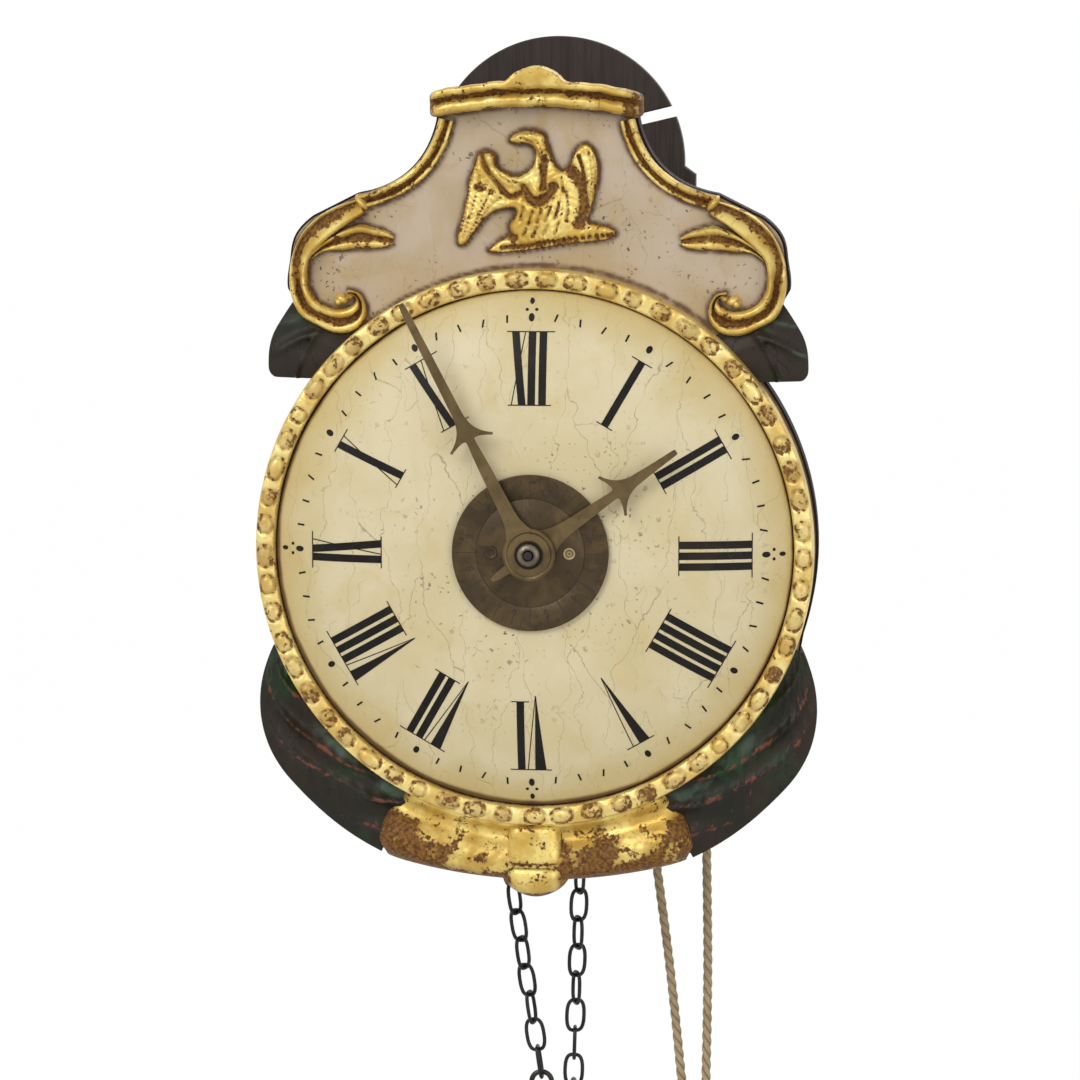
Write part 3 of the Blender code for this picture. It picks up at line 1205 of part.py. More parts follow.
def link(centre, along, wide):
    """One oval wire link: its middle, the way it lies and the way its width points."""
    end = (LINK_PITCH + 2 * WIRE_R - LINK_WELD) / 2
    half = LINK_W / 2 - WIRE_R
    shoulder = end - 0.62 * half
    loop = [(shoulder, half), (end, half / 2), (end, -half / 2), (shoulder, -half)]
    loop += [(-a, -b) for a, b in loop]
    normal = along.cross(wide)
    flat = [centre + along * a + wide * b for a, b in loop]
    count = len(flat)
    points = []
    for i, spot in enumerate(flat):
        before = (spot - flat[i - 1]).normalized()
        after = (flat[(i + 1) % count] - spot).normalized()
        mitre = (before - after).normalized()
        stretch = 1 / max(0.5, abs(mitre.cross(after).length))
        for u, v in ((1, 0), (0, 1), (-1, 0), (0, -1)):
            points.append(tuple(spot + mitre * (u * WIRE_R * stretch) + normal * (v * WIRE_R)))
    faces = []
    for i in range(count):
        for k in range(4):
            a, b = i * 4, ((i + 1) % count) * 4
            faces.append((a + k, a + (k + 1) % 4, b + (k + 1) % 4, b + k))
    return points, faces


def build_chain():
    """The chain up one side, over the sprocket and down the other, with a weight hook and an end ring."""
    y = REAR_PLATE_Y - CHAIN_PLANE
    step = 2 * math.pi / LINKS_ROUND
    right = math.pi / 2 - RIGHT_CHAIN_LEAN
    over = LINKS_ROUND // 2
    rise = Vector((-math.sin(RIGHT_CHAIN_LEAN), 0.0, math.cos(RIGHT_CHAIN_LEAN))) * LINK_PITCH
    fall = Vector((math.sin(LEFT_CHAIN_LEAN), 0.0, -math.cos(LEFT_CHAIN_LEAN))) * LINK_PITCH
    bends = []
    for i in range(over + 1):
        x, z = polar(CHAIN_R, right - step * i, TRAIN_X, GREAT_Z)
        bends.append(Vector((x, y, z)))
    joints = [bends[0] - rise * i for i in range(RUN_LINKS, 0, -1)] + bends
    joints += [bends[-1] + fall * i for i in range(1, RUN_LINKS + 1)]
    side = Vector((0.0, 1.0, 0.0))
    sets = ([], [])
    for i, (low, high) in enumerate(zip(joints, joints[1:])):
        along = (high - low).normalized()
        upright = (i + RUN_LINKS) % 2 == 1
        sets[i % 2].append(link((low + high) / 2, along, along.cross(side) if upright else side))
    piece("chain", union("chain", joined(*sets[0]), joined(*sets[1])), "iron")

    lift = Vector((0.0, 0.0, LINK_WELD / 2 + SEAT + HOOK_WIRE_R))
    across = Vector((1.0, 0.0, 0.0))
    wire_hook("chain_hook", joints[-1] + lift, side if upright else across)
    first_upright = RUN_LINKS % 2 == 1
    end_ring("chain_ring", joints[0] + lift, side if first_upright else across)


def tube(name, route, radius, kind, closed=False, sides=2):
    """A round wire or rope along a line of points."""
    data = bpy.data.curves.new(name, "CURVE")
    data.dimensions = "3D"
    data.bevel_depth = radius
    data.bevel_resolution = sides
    data.use_fill_caps = True
    spline = data.splines.new("POLY")
    spline.points.add(len(route) - 1)
    for point, spot in zip(spline.points, route):
        point.co = (*spot, 1.0)
    spline.use_cyclic_u = closed
    data.materials.append(finish_of(name, kind))
    obj = bpy.data.objects.new(name, data)
    bpy.context.scene.collection.objects.link(obj)
    return obj


def wire_hook(name, crown, across):
    """An open S-hook whose bend stands at the crown, square to the loop that it hangs in."""
    route = []
    for level, turn in ((-HOOK_R, 1), (-4.2 * HOOK_R, -1)):
        for i in range(9):
            angle = math.radians(-120 + 210 * i / 8) if turn > 0 else math.radians(-90 - 210 * i / 8)
            spot = across * (HOOK_R * math.sin(angle))
            route.append(crown + spot + Vector((0.0, 0.0, level + HOOK_R * math.cos(angle))))
    tube(name, route, HOOK_WIRE_R, "iron", sides=1)


def end_ring(name, crown, across):
    """A closed wire ring whose top stands at the crown, square to the loop that it hangs in."""
    route = []
    for angle in even(14):
        drop = Vector((0.0, 0.0, RING_END_R * (math.cos(angle) - 1)))
        route.append(crown + across * (RING_END_R * math.sin(angle)) + drop)
    tube(name, route, HOOK_WIRE_R, "iron", closed=True, sides=1)


def rope_route(start, lean):
    """One hanging run: a smooth line through four points, with a slight bow, read every six radii."""
    fall = Vector((math.sin(lean), 0.0, -math.cos(lean)))
    aside = Vector((math.cos(lean), 0.0, math.sin(lean))) * ROPE_BOW
    length = (start[2] - ROPE_END_Z) / math.cos(lean)
    points = [start, start + fall * (0.3 * length) - aside, start + fall * (0.7 * length) + aside]
    points.append(start + fall * length)
    return smooth(points, round(length / (3 * 6 * ROPE_R)))


def build_rope():
    """The rope over the alarm pulley and its two hanging runs, each with a knot at its end."""
    y = REAR_PLATE_Y - CHAIN_PLANE
    left = -math.pi / 2 - ROPE_LEAN
    route = [Vector((p[0], y, p[1])) for p in arc(PULLEY_R, math.pi / 2, left, 12, ALARM_X, ALARM_Z)]
    tube("rope_over_pulley", route, ROPE_R, "rope")
    for name, angle, lean in (("rope_right", math.pi / 2, 0.0), ("rope_left", left, ROPE_LEAN)):
        x, z = polar(PULLEY_R, angle, ALARM_X, ALARM_Z)
        route = rope_route(Vector((x, y, z - SEAT)), lean)
        tube(name + "_run", route, ROPE_R, "rope")
        end = route[-1]
        steps = [(0.0, 0.50), (0.25, 0.85), (0.60, 1.0), (1.0, 0.92), (1.4, 0.55)]
        stations = [(end[2] - SEAT - KNOT_R * h, KNOT_R * r) for h, r in steps]
        piece(name + "_knot", lathe(stations, (end[0], end[1]), even(10), axis="Z"), "rope")


clear_scene()
build_shield()
build_case()
build_train()
build_motion_work()
build_alarm()
build_chain()
build_rope()
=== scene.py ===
"""Looks of a painted shield wall clock: carvings, dial, hands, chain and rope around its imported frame."""

import logging
import math
from collections.abc import Callable, Sequence
from dataclasses import dataclass
from enum import Enum

import bmesh
import bpy
import numpy as np
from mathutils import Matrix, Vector
from mathutils.geometry import delaunay_2d_cdt
from mathutils.kdtree import KDTree


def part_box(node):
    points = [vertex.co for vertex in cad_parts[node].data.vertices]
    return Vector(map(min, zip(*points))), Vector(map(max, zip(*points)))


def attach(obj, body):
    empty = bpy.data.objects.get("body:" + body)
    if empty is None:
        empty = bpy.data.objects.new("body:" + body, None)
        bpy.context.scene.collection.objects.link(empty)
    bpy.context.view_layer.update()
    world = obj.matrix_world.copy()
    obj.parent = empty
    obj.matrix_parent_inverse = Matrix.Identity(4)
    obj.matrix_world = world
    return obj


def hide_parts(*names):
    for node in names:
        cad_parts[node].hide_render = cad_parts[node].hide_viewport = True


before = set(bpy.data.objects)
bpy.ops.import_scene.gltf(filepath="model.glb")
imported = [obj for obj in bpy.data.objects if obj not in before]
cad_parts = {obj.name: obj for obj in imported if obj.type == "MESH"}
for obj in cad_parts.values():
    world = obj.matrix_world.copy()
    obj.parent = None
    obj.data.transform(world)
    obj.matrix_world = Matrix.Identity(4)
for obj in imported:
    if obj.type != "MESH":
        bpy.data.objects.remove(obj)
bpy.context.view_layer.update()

LOG = logging.getLogger("clock")

PANEL_Y = -0.0979
SEAT_Y = -0.0982
SHIELD_BACK_Y = -0.0839
RING_R = 0.1116
RING_INNER_R = 0.1036
DIAL_SHIFT = np.array((-0.0006, 0.0, -0.0009))
CORNICE_FOOT_Z = 0.1694
EYE = np.array((0.1277 * math.sin(math.radians(37.4)), 0.1277 * math.cos(math.radians(37.4))))
LOBE_R = 0.0176
CHAIN_Y = -0.0478

Ink = tuple[float, float, float, float]
Point2 = tuple[float, float]


class Body(str, Enum):
    """The moving bodies of the frame that pieces ride on."""

    FRAME = "frame"
    MINUTE = "minute"
    HOUR = "hour"
    ALARM = "alarm_setting"


class Slot(str, Enum):
    """The material slots of the part."""

    GILT = "gilt"
    PANEL = "panel_paint"
    DIAL = "dial_paint"
    LEAF = "leaf_paint"
    DARK_WOOD = "dark_wood"
    BEECH = "beech"
    BRASS = "brass"
    IRON = "iron"
    BELL = "bell_metal"
    ROPE = "rope"


class Mask(str, Enum):
    """Names of the values that a mesh carries for its finish to read."""

    # groove: where a finish darkens, from real wear, dirt and engraving and from painted shade in hollows, creases and
    # at the feet of parts; on the leaves it marks a pale painted sheen
    GROOVE = "groove"
    EDGE = "edge"
    STRAND = "strand"


# Colour and node helpers


def ink(red: int, green: int, blue: int) -> Ink:
    """Turns a screen colour from 0 to 255 into the linear colour that a shader takes.

    Args:
        red: Red share.
        green: Green share.
        blue: Blue share.

    Returns:
        Linear red, green, blue and a full alpha.
    """
    shares = [c / 255 for c in (red, green, blue)]
    linear = [s / 12.92 if s <= 0.04045 else ((s + 0.055) / 1.055) ** 2.4 for s in shares]
    return (linear[0], linear[1], linear[2], 1.0)


class Graph:
    """A node tree under construction, with short ways to add and join nodes."""

    def __init__(self, tree: bpy.types.NodeTree) -> None:
        """Keeps the tree that nodes are added to."""
        self.tree = tree

    def add(self, kind: str, inputs: dict | None = None, **settings) -> bpy.types.Node:
        """Adds one node.

        Args:
            kind: The node's type name.
            inputs: Values or sockets for its inputs, by name or number.
            **settings: The node's own properties.

        Returns:
            The new node.
        """
        node = self.tree.nodes.new(kind)
        for key, value in settings.items():
            setattr(node, key, value)
        for key, value in (inputs or {}).items():
            self.feed(node.inputs[key], value)
        return node

    def feed(self, socket: bpy.types.NodeSocket, value: object) -> None:
        """Links a socket into an input, or sets the input's plain value."""
        if isinstance(value, bpy.types.NodeSocket):
            self.tree.links.new(value, socket)
        else:
            socket.default_value = value

    def blend(self, share: object, low: object, high: object, mode: str = "MIX") -> bpy.types.NodeSocket:
        """Mixes two colours.

        Args:
            share: How much of the second colour shows.
            low: The first colour.
            high: The second colour.
            mode: Blend type.

        Returns:
            The mixed colour.
        """
        node = self.add("ShaderNodeMix", {0: share, 6: low, 7: high}, data_type="RGBA", blend_type=mode)
        return node.outputs[2]

    def maths(self, operation: str, a: object, b: object = 0.0, clamp: bool = False) -> bpy.types.NodeSocket:
        """Adds a sum of two values.

        Args:
            operation: Math node operation.
            a: First value.
            b: Second value.
            clamp: Whether the result stays from 0 to 1.

        Returns:
            The result.
        """
        return self.add("ShaderNodeMath", {0: a, 1: b}, operation=operation, use_clamp=clamp).outputs[0]

    def ramp(self, value: object, low: float, high: float) -> bpy.types.NodeSocket:
        """Eases a value from 0 at low to 1 at high."""
        span = {"Value": value, "From Min": low, "From Max": high}
        return self.add("ShaderNodeMapRange", span, interpolation_type="SMOOTHSTEP").outputs["Result"]

    def noise(self, vector: object, scale: float, detail: float = 3.0, twist: float = 0.0) -> bpy.types.NodeSocket:
        """Adds a cloud pattern.

        Args:
            vector: Where the pattern is read.
            scale: Repeats in a metre.
            detail: Finer layers.
            twist: How far the pattern is bent.

        Returns:
            The pattern from 0 to 1.
        """
        inputs = {"Vector": vector, "Scale": scale, "Detail": detail, "Distortion": twist}
        return self.add("ShaderNodeTexNoise", inputs).outputs[0]

    def stretch(self, vector: object, factors: tuple[float, float, float]) -> bpy.types.NodeSocket:
        """Scales the coordinates by a factor on each axis."""
        return self.add("ShaderNodeMapping", {"Vector": vector, "Scale": factors}).outputs[0]

    def mask(self, name: Mask) -> bpy.types.NodeSocket:
        """Reads a value that the mesh carries."""
        return self.add("ShaderNodeAttribute", attribute_name=name.value).outputs["Fac"]

    def place(self) -> bpy.types.NodeSocket:
        """Reads the place on the piece, in metres."""
        return self.add("ShaderNodeTexCoord").outputs["Object"]


@dataclass(frozen=True)
class Effect:
    """A shader node group that several finishes share, built once."""

    name: str
    inputs: tuple[tuple[str, str], ...]
    outputs: tuple[tuple[str, str], ...]
    wire: Callable[[Graph, bpy.types.Node, bpy.types.Node], None]

    def tree(self) -> bpy.types.NodeTree:
        """Finds the group, or builds it the first time.

        Returns:
            The group's node tree.
        """
        made = bpy.data.node_groups.get(self.name)
        if made:
            return made
        made = bpy.data.node_groups.new(self.name, "ShaderNodeTree")
        for label, kind in self.inputs:
            made.interface.new_socket(name=label, in_out="INPUT", socket_type="NodeSocket" + kind)
        for label, kind in self.outputs:
            made.interface.new_socket(name=label, in_out="OUTPUT", socket_type="NodeSocket" + kind)
        graph = Graph(made)
        self.wire(graph, graph.add("NodeGroupInput"), graph.add("NodeGroupOutput"))
        return made

    def use(self, graph: Graph, **values: object) -> bpy.types.Node:
        """Places the group in a material.

        Args:
            graph: The material's nodes.
            **values: Its inputs, with underscores for spaces.

        Returns:
            The group node.
        """
        node = graph.add("ShaderNodeGroup", node_tree=self.tree())
        for key, value in values.items():
            graph.feed(node.inputs[key.replace("_", " ")], value)
        return node


def wire_gilding(graph: Graph, given: bpy.types.Node, out: bpy.types.Node) -> None:
    """Gold leaf, browned in its hollows as painted shade with some real wear, and rubbed through to its red-brown
    ground in flecks and on edges.
    """
    place = given.outputs["Vector"]
    groove = given.outputs["Groove"]
    tone = graph.ramp(graph.noise(place, 90.0, 5.0), 0.36, 0.64)
    gold = graph.blend(tone, given.outputs["Shade"], given.outputs["Leaf"])
    gold = graph.blend(graph.ramp(graph.noise(place, 480.0, 5.0), 0.52, 0.74), gold, given.outputs["Shade"])
    broad = graph.noise(place, 150.0, 5.0, 0.6)
    fine = graph.noise(place, 760.0, 4.0)
    # painted shade: the groove mask browns the gold smoothly in hollows and creases
    hollow_shade = graph.maths("MULTIPLY", groove, graph.maths("ADD", graph.maths("MULTIPLY", broad, 1.1), 0.42), clamp=True)
    gold = graph.blend(hollow_shade, gold, given.outputs["Bole"])
    wear_and_shade = graph.maths("ADD", graph.maths("MULTIPLY", broad, 0.60), graph.maths("MULTIPLY", fine, 0.40))
    wear_and_shade = graph.maths("ADD", wear_and_shade, graph.maths("MULTIPLY", groove, 0.22))
    wear_and_shade = graph.maths("ADD", wear_and_shade, graph.maths("MULTIPLY", given.outputs["Rub"], 0.30))
    bare = graph.ramp(wear_and_shade, 0.640, 0.715)
    earth = graph.blend(graph.ramp(fine, 0.3, 0.7), given.outputs["Bole"], given.outputs["Deep"])
    graph.feed(out.inputs["Color"], graph.blend(bare, gold, earth))
    dull = graph.maths("MAXIMUM", bare, hollow_shade)
    graph.feed(out.inputs["Metallic"], graph.maths("MULTIPLY", graph.maths("SUBTRACT", 1.0, dull), 0.44))
    rough = graph.maths("ADD", graph.maths("MULTIPLY", dull, 0.26), graph.maths("MULTIPLY", fine, 0.18))
    graph.feed(out.inputs["Roughness"], graph.maths("ADD", rough, 0.27))
    height = graph.maths("SUBTRACT", graph.maths("MULTIPLY", fine, 0.5), graph.maths("MULTIPLY", bare, 0.5))
    graph.feed(out.inputs["Height"], graph.maths("ADD", height, graph.maths("MULTIPLY", broad, 0.9)))


GILDING_EFFECT = Effect(
    "worn_gilding",
    (("Vector", "Vector"), ("Groove", "Float"), ("Rub", "Float"), ("Leaf", "Color"), ("Shade", "Color"),
     ("Bole", "Color"), ("Deep", "Color")),
    (("Color", "Color"), ("Metallic", "Float"), ("Roughness", "Float"), ("Height", "Float")),
    wire_gilding,
)


def wire_paint(graph: Graph, given: bpy.types.Node, out: bpy.types.Node) -> None:
    """Old oil paint: clouded tone, stains, dirt specks and a net of upright hairline cracks."""
    place = given.outputs["Vector"]
    flat = graph.add("ShaderNodeMapping", {"Vector": place, "Rotation": (math.pi / 2, 0.0, 0.0)}).outputs[0]
    cloud = graph.ramp(graph.noise(place, 30.0, 6.0, 0.4), 0.34, 0.66)
    colour = graph.blend(cloud, given.outputs["Ground"], given.outputs["Second"])
    stain = graph.ramp(graph.noise(place, 52.0, 6.0, 0.8), 0.50, 0.76)
    stain = graph.maths("MULTIPLY", stain, given.outputs["Stains"])
    colour = graph.blend(stain, colour, given.outputs["Stain"])

    bent = graph.maths("MULTIPLY", graph.noise(place, 75.0, 4.0), 0.016)
    aside = graph.add("ShaderNodeCombineXYZ", {0: bent}).outputs[0]
    crack = None
    for tall, scale, wide, rare in ((0.20, 62.0, 0.0075, 0.34), (0.30, 150.0, 0.0130, 0.52)):
        drawn = graph.stretch(flat, (1.0, tall, 1.0))
        shifted = graph.add("ShaderNodeVectorMath", {0: drawn, 1: aside}, operation="ADD").outputs[0]
        cells = {"Vector": shifted, "Scale": scale}
        net = graph.add("ShaderNodeTexVoronoi", cells, feature="DISTANCE_TO_EDGE", voronoi_dimensions="2D")
        line = graph.maths("SUBTRACT", 1.0, graph.ramp(net.outputs["Distance"], wide * 0.3, wide))
        patch = graph.ramp(graph.noise(place, scale * 0.7, 3.0), rare, rare + 0.14)
        line = graph.maths("MULTIPLY", line, patch)
        crack = line if crack is None else graph.maths("MAXIMUM", crack, line)
    crack = graph.maths("MULTIPLY", crack, given.outputs["Cracks"])
    colour = graph.blend(crack, colour, given.outputs["Dirt"])

    damage = crack
    ragged = [graph.maths("MULTIPLY", graph.noise(place, rough, 3.0), 0.0034) for rough in (640.0, 820.0)]
    pushed = graph.add("ShaderNodeCombineXYZ", {0: ragged[0], 1: ragged[1]}).outputs[0]
    flecks = graph.add("ShaderNodeVectorMath", {0: flat, 1: pushed}, operation="ADD").outputs[0]
    crowd = graph.ramp(graph.noise(place, 46.0, 4.0), 0.38, 0.60)
    for scale, rare, large in ((170.0, 0.66, 0.21), (390.0, 0.48, 0.23)):
        spot = graph.add("ShaderNodeTexVoronoi", {"Vector": flecks, "Scale": scale}, voronoi_dimensions="2D")
        pick = graph.add("ShaderNodeSeparateColor", {0: spot.outputs["Color"]})
        size = graph.maths("MULTIPLY", pick.outputs[0], large)
        near = graph.maths("SUBTRACT", size, spot.outputs["Distance"])
        speck = graph.maths("MULTIPLY", graph.ramp(near, 0.0, 0.06), graph.ramp(pick.outputs[1], rare, rare + 0.10))
        speck = graph.maths("MULTIPLY", graph.maths("MULTIPLY", speck, crowd), given.outputs["Specks"], clamp=True)
        colour = graph.blend(speck, colour, given.outputs["Dirt"])
        damage = graph.maths("MAXIMUM", damage, speck)
    graph.feed(out.inputs["Color"], colour)
    graph.feed(out.inputs["Damage"], damage)
    grain = graph.noise(place, 900.0, 3.0)
    graph.feed(out.inputs["Roughness"], graph.maths("ADD", graph.maths("MULTIPLY", grain, 0.22), 0.36))
    pits = graph.maths("MULTIPLY", damage, -0.8)
    graph.feed(out.inputs["Height"], graph.maths("ADD", pits, graph.maths("MULTIPLY", grain, 0.35)))


PAINT_EFFECT = Effect(
    "aged_paint",
    (("Vector", "Vector"), ("Ground", "Color"), ("Second", "Color"), ("Stain", "Color"), ("Dirt", "Color"),
     ("Stains", "Float"), ("Cracks", "Float"), ("Specks", "Float")),
    (("Color", "Color"), ("Roughness", "Float"), ("Height", "Float"), ("Damage", "Float")),
    wire_paint,
)


def wire_grain(graph: Graph, given: bpy.types.Node, out: bpy.types.Node) -> None:
    """Sawn and planed wood with long grain, pores and a soft cloud of age."""
    place = given.outputs["Vector"]
    wave = graph.noise(place, 14.0, 4.0, 1.2)
    grain = graph.noise(graph.stretch(place, (1.0, 1.0, 0.05)), 420.0, 5.0, 0.5)
    mixed = graph.maths("ADD", graph.maths("MULTIPLY", grain, 0.7), graph.maths("MULTIPLY", wave, 0.3))
    colour = graph.blend(graph.ramp(mixed, 0.36, 0.64), given.outputs["Dark"], given.outputs["Light"])
    pores = graph.ramp(graph.noise(graph.stretch(place, (1.0, 1.0, 0.03)), 1500.0, 2.0), 0.60, 0.72)
    colour = graph.blend(graph.maths("MULTIPLY", pores, 0.55), colour, given.outputs["Dark"])
    graph.feed(out.inputs["Color"], colour)
    graph.feed(out.inputs["Roughness"], graph.maths("ADD", graph.maths("MULTIPLY", grain, 0.25), 0.45))
    graph.feed(out.inputs["Height"], graph.maths("SUBTRACT", grain, pores))


GRAIN_EFFECT = Effect(
    "wood_grain",
    (("Vector", "Vector"), ("Light", "Color"), ("Dark", "Color")),
    (("Color", "Color"), ("Roughness", "Float"), ("Height", "Float")),
    wire_grain,
)


def wire_tarnish(graph: Graph, given: bpy.types.Node, out: bpy.types.Node) -> None:
    """Metal dulled by age: a cloudy skin, dark spots and fine file marks."""
    place = given.outputs["Vector"]
    cloud = graph.noise(place, 95.0, 6.0, 0.7)
    fine = graph.noise(place, 1100.0, 3.0)
    marks = graph.noise(graph.stretch(place, (1.0, 1.0, 0.12)), 1700.0, 2.0)
    skin = graph.maths("ADD", cloud, graph.maths("MULTIPLY", given.outputs["Age"], 0.3))
    colour = graph.blend(graph.ramp(skin, 0.48, 0.78), given.outputs["Metal"], given.outputs["Skin"])
    spots = graph.ramp(graph.noise(place, 330.0, 4.0), 0.60, 0.72)
    colour = graph.blend(graph.maths("MULTIPLY", spots, given.outputs["Age"]), colour, given.outputs["Spot"])
    graph.feed(out.inputs["Color"], colour)
    rough = graph.maths("ADD", graph.maths("MULTIPLY", cloud, 0.30), graph.maths("MULTIPLY", marks, 0.14))
    graph.feed(out.inputs["Roughness"], graph.maths("ADD", rough, 0.16))
    graph.feed(out.inputs["Height"], graph.maths("ADD", marks, graph.maths("MULTIPLY", fine, 0.6)))


TARNISH_EFFECT = Effect(
    "tarnish",
    (("Vector", "Vector"), ("Metal", "Color"), ("Skin", "Color"), ("Spot", "Color"), ("Age", "Float")),
    (("Color", "Color"), ("Roughness", "Float"), ("Height", "Float")),
    wire_tarnish,
)


def new_finish(name: str) -> tuple[Graph, bpy.types.Node]:
    """Starts a material with its shader.

    Args:
        name: The material's name.

    Returns:
        Its graph and its Principled shader.
    """
    made = bpy.data.materials.new(name)
    made.use_nodes = True
    shader = next(n for n in made.node_tree.nodes if n.type == "BSDF_PRINCIPLED")
    return Graph(made.node_tree), shader


def bump(graph: Graph, shader: bpy.types.Node, height: bpy.types.NodeSocket, depth: float) -> None:
    """Roughens a shader's surface by a height of that many metres."""
    node = graph.add("ShaderNodeBump", {"Strength": 0.7, "Distance": depth, "Height": height})
    graph.feed(shader.inputs["Normal"], node.outputs[0])


@dataclass(frozen=True)
class Gilding:
    """Gold leaf over a red-brown ground, more or less rubbed."""

    name: str
    rub: float
    leaf: Ink = ink(238, 213, 128)
    shade: Ink = ink(202, 165, 78)
    bole: Ink = ink(140, 97, 40)
    deep: Ink = ink(82, 50, 24)

    def material(self) -> bpy.types.Material:
        """Makes the gilding, once.

        Returns:
            The material.
        """
        if made := bpy.data.materials.get(self.name):
            return made
        graph, shader = new_finish(self.name)
        gold = GILDING_EFFECT.use(
            graph, Vector=graph.place(), Groove=graph.mask(Mask.GROOVE), Rub=self.rub,
            Leaf=self.leaf, Shade=self.shade, Bole=self.bole, Deep=self.deep,
        )
        graph.feed(shader.inputs["Base Color"], gold.outputs["Color"])
        graph.feed(shader.inputs["Metallic"], gold.outputs["Metallic"])
        graph.feed(shader.inputs["Roughness"], gold.outputs["Roughness"])
        shader.inputs["Specular IOR Level"].default_value = 0.25
        bump(graph, shader, gold.outputs["Height"], 0.00042)
        return bpy.data.materials[self.name]


@dataclass(frozen=True)
class PanelPaint:
    """The pinkish ground paint of the shield, darkened round the foot of the carvings as painted shade with some grime;
    the board's edges take a near-black wood that is partly painted shade.
    """

    name: str = "shield_ground_paint"

    def material(self) -> bpy.types.Material:
        """Makes the paint, once.

        Returns:
            The material.
        """
        if made := bpy.data.materials.get(self.name):
            return made
        graph, shader = new_finish(self.name)
        paint = PAINT_EFFECT.use(
            graph, Vector=graph.place(), Ground=ink(192, 174, 152), Second=ink(180, 159, 124),
            Stain=ink(178, 147, 92), Dirt=ink(64, 44, 28), Stains=0.62, Cracks=0.22, Specks=0.85,
        )
        cloud = graph.noise(graph.place(), 170.0, 5.0, 0.5)
        # painted shade with some grime: the groove mask darkens the paint round the foot of every carving
        shade_and_grime = graph.maths("MULTIPLY", graph.mask(Mask.GROOVE), graph.maths("ADD", cloud, 0.28))
        colour = graph.blend(graph.ramp(shade_and_grime, 0.14, 0.62), paint.outputs["Color"], ink(98, 70, 46))
        graph.feed(shader.inputs["Base Color"], colour)
        graph.feed(shader.inputs["Roughness"], paint.outputs["Roughness"])
        bump(graph, shader, paint.outputs["Height"], 0.00022)
        return bpy.data.materials[self.name]


@dataclass(frozen=True)
class DialPaint:
    """Cream dial paint with crazing, yellowed towards the rim, darkened at the rim as painted shade under the ring, and
    spotted by the centre.
    """

    name: str = "cream_dial_paint"

    def material(self) -> bpy.types.Material:
        """Makes the paint, once.

        Returns:
            The material.
        """
        if made := bpy.data.materials.get(self.name):
            return made
        graph, shader = new_finish(self.name)
        place = graph.place()
        flat = graph.add("ShaderNodeVectorMath", {0: place, 1: (1.0, 0.0, 1.0)}, operation="MULTIPLY")
        radius = graph.add("ShaderNodeVectorMath", {0: flat.outputs[0]}, operation="LENGTH").outputs["Value"]
        centre = graph.maths("SUBTRACT", 1.0, graph.ramp(radius, 0.030, 0.062))
        specks = graph.maths("ADD", graph.maths("MULTIPLY", centre, 0.70), 0.22)
        paint = PAINT_EFFECT.use(
            graph, Vector=place, Ground=ink(219, 206, 168), Second=ink(211, 196, 152),
            Stain=ink(204, 180, 118), Dirt=ink(88, 68, 42), Stains=0.44, Cracks=0.44, Specks=specks,
        )
        cloud = graph.noise(place, 55.0, 4.0)
        aged = graph.maths("ADD", radius, graph.maths("MULTIPLY", cloud, 0.022))
        yellow = graph.maths("MULTIPLY", graph.ramp(aged, 0.092, 0.116), 0.70)
        colour = graph.blend(yellow, paint.outputs["Color"], ink(200, 174, 106))
        # painted shade: a dark band at the dial's rim, where the gilt ring overhangs it
        painted_light = graph.ramp(graph.maths("ADD", radius, graph.maths("MULTIPLY", cloud, 0.0022)), 0.1026, 0.1042)
        colour = graph.blend(painted_light, colour, ink(104, 80, 52))
        graph.feed(shader.inputs["Base Color"], colour)
        graph.feed(shader.inputs["Roughness"], paint.outputs["Roughness"])
        bump(graph, shader, paint.outputs["Height"], 0.00016)
        return bpy.data.materials[self.name]


@dataclass(frozen=True)
class LeafPaint:
    """Dark green leaf paint, rubbed to red-brown along the raised veins, with a pale grey-green painted sheen where the
    groove mask lies.
    """

    name: str = "dark_leaf_paint"

    def material(self) -> bpy.types.Material:
        """Makes the paint, once.

        Returns:
            The material.
        """
        if made := bpy.data.materials.get(self.name):
            return made
        graph, shader = new_finish(self.name)
        place = graph.place()
        paint = PAINT_EFFECT.use(
            graph, Vector=place, Ground=ink(30, 31, 22), Second=ink(46, 35, 26),
            Stain=ink(28, 62, 32), Dirt=ink(18, 15, 12), Stains=0.9, Cracks=0.5, Specks=0.6,
        )
        patch = graph.ramp(graph.noise(place, 75.0, 4.0), 0.33, 0.53)
        vein = graph.maths("MULTIPLY", graph.mask(Mask.EDGE), patch)
        rubbed = graph.maths("ADD", graph.maths("MULTIPLY", vein, 0.62), graph.noise(place, 260.0, 5.0, 0.6))
        colour = graph.blend(graph.ramp(rubbed, 0.74, 1.00), paint.outputs["Color"], ink(112, 64, 48))
        # painted sheen: pale grey-green near the ring on the lower foliage and a painted highlight along the upper
        # leaf's rib
        painted_light = graph.maths("MULTIPLY", graph.mask(Mask.GROOVE), graph.noise(place, 130.0, 5.0, 0.6))
        colour = graph.blend(graph.ramp(painted_light, 0.26, 0.70), colour, ink(76, 93, 78))
        shader.inputs["Specular IOR Level"].default_value = 0.22
        graph.feed(shader.inputs["Base Color"], colour)
        graph.feed(shader.inputs["Roughness"], paint.outputs["Roughness"])
        bump(graph, shader, paint.outputs["Height"], 0.00035)
        return bpy.data.materials[self.name]


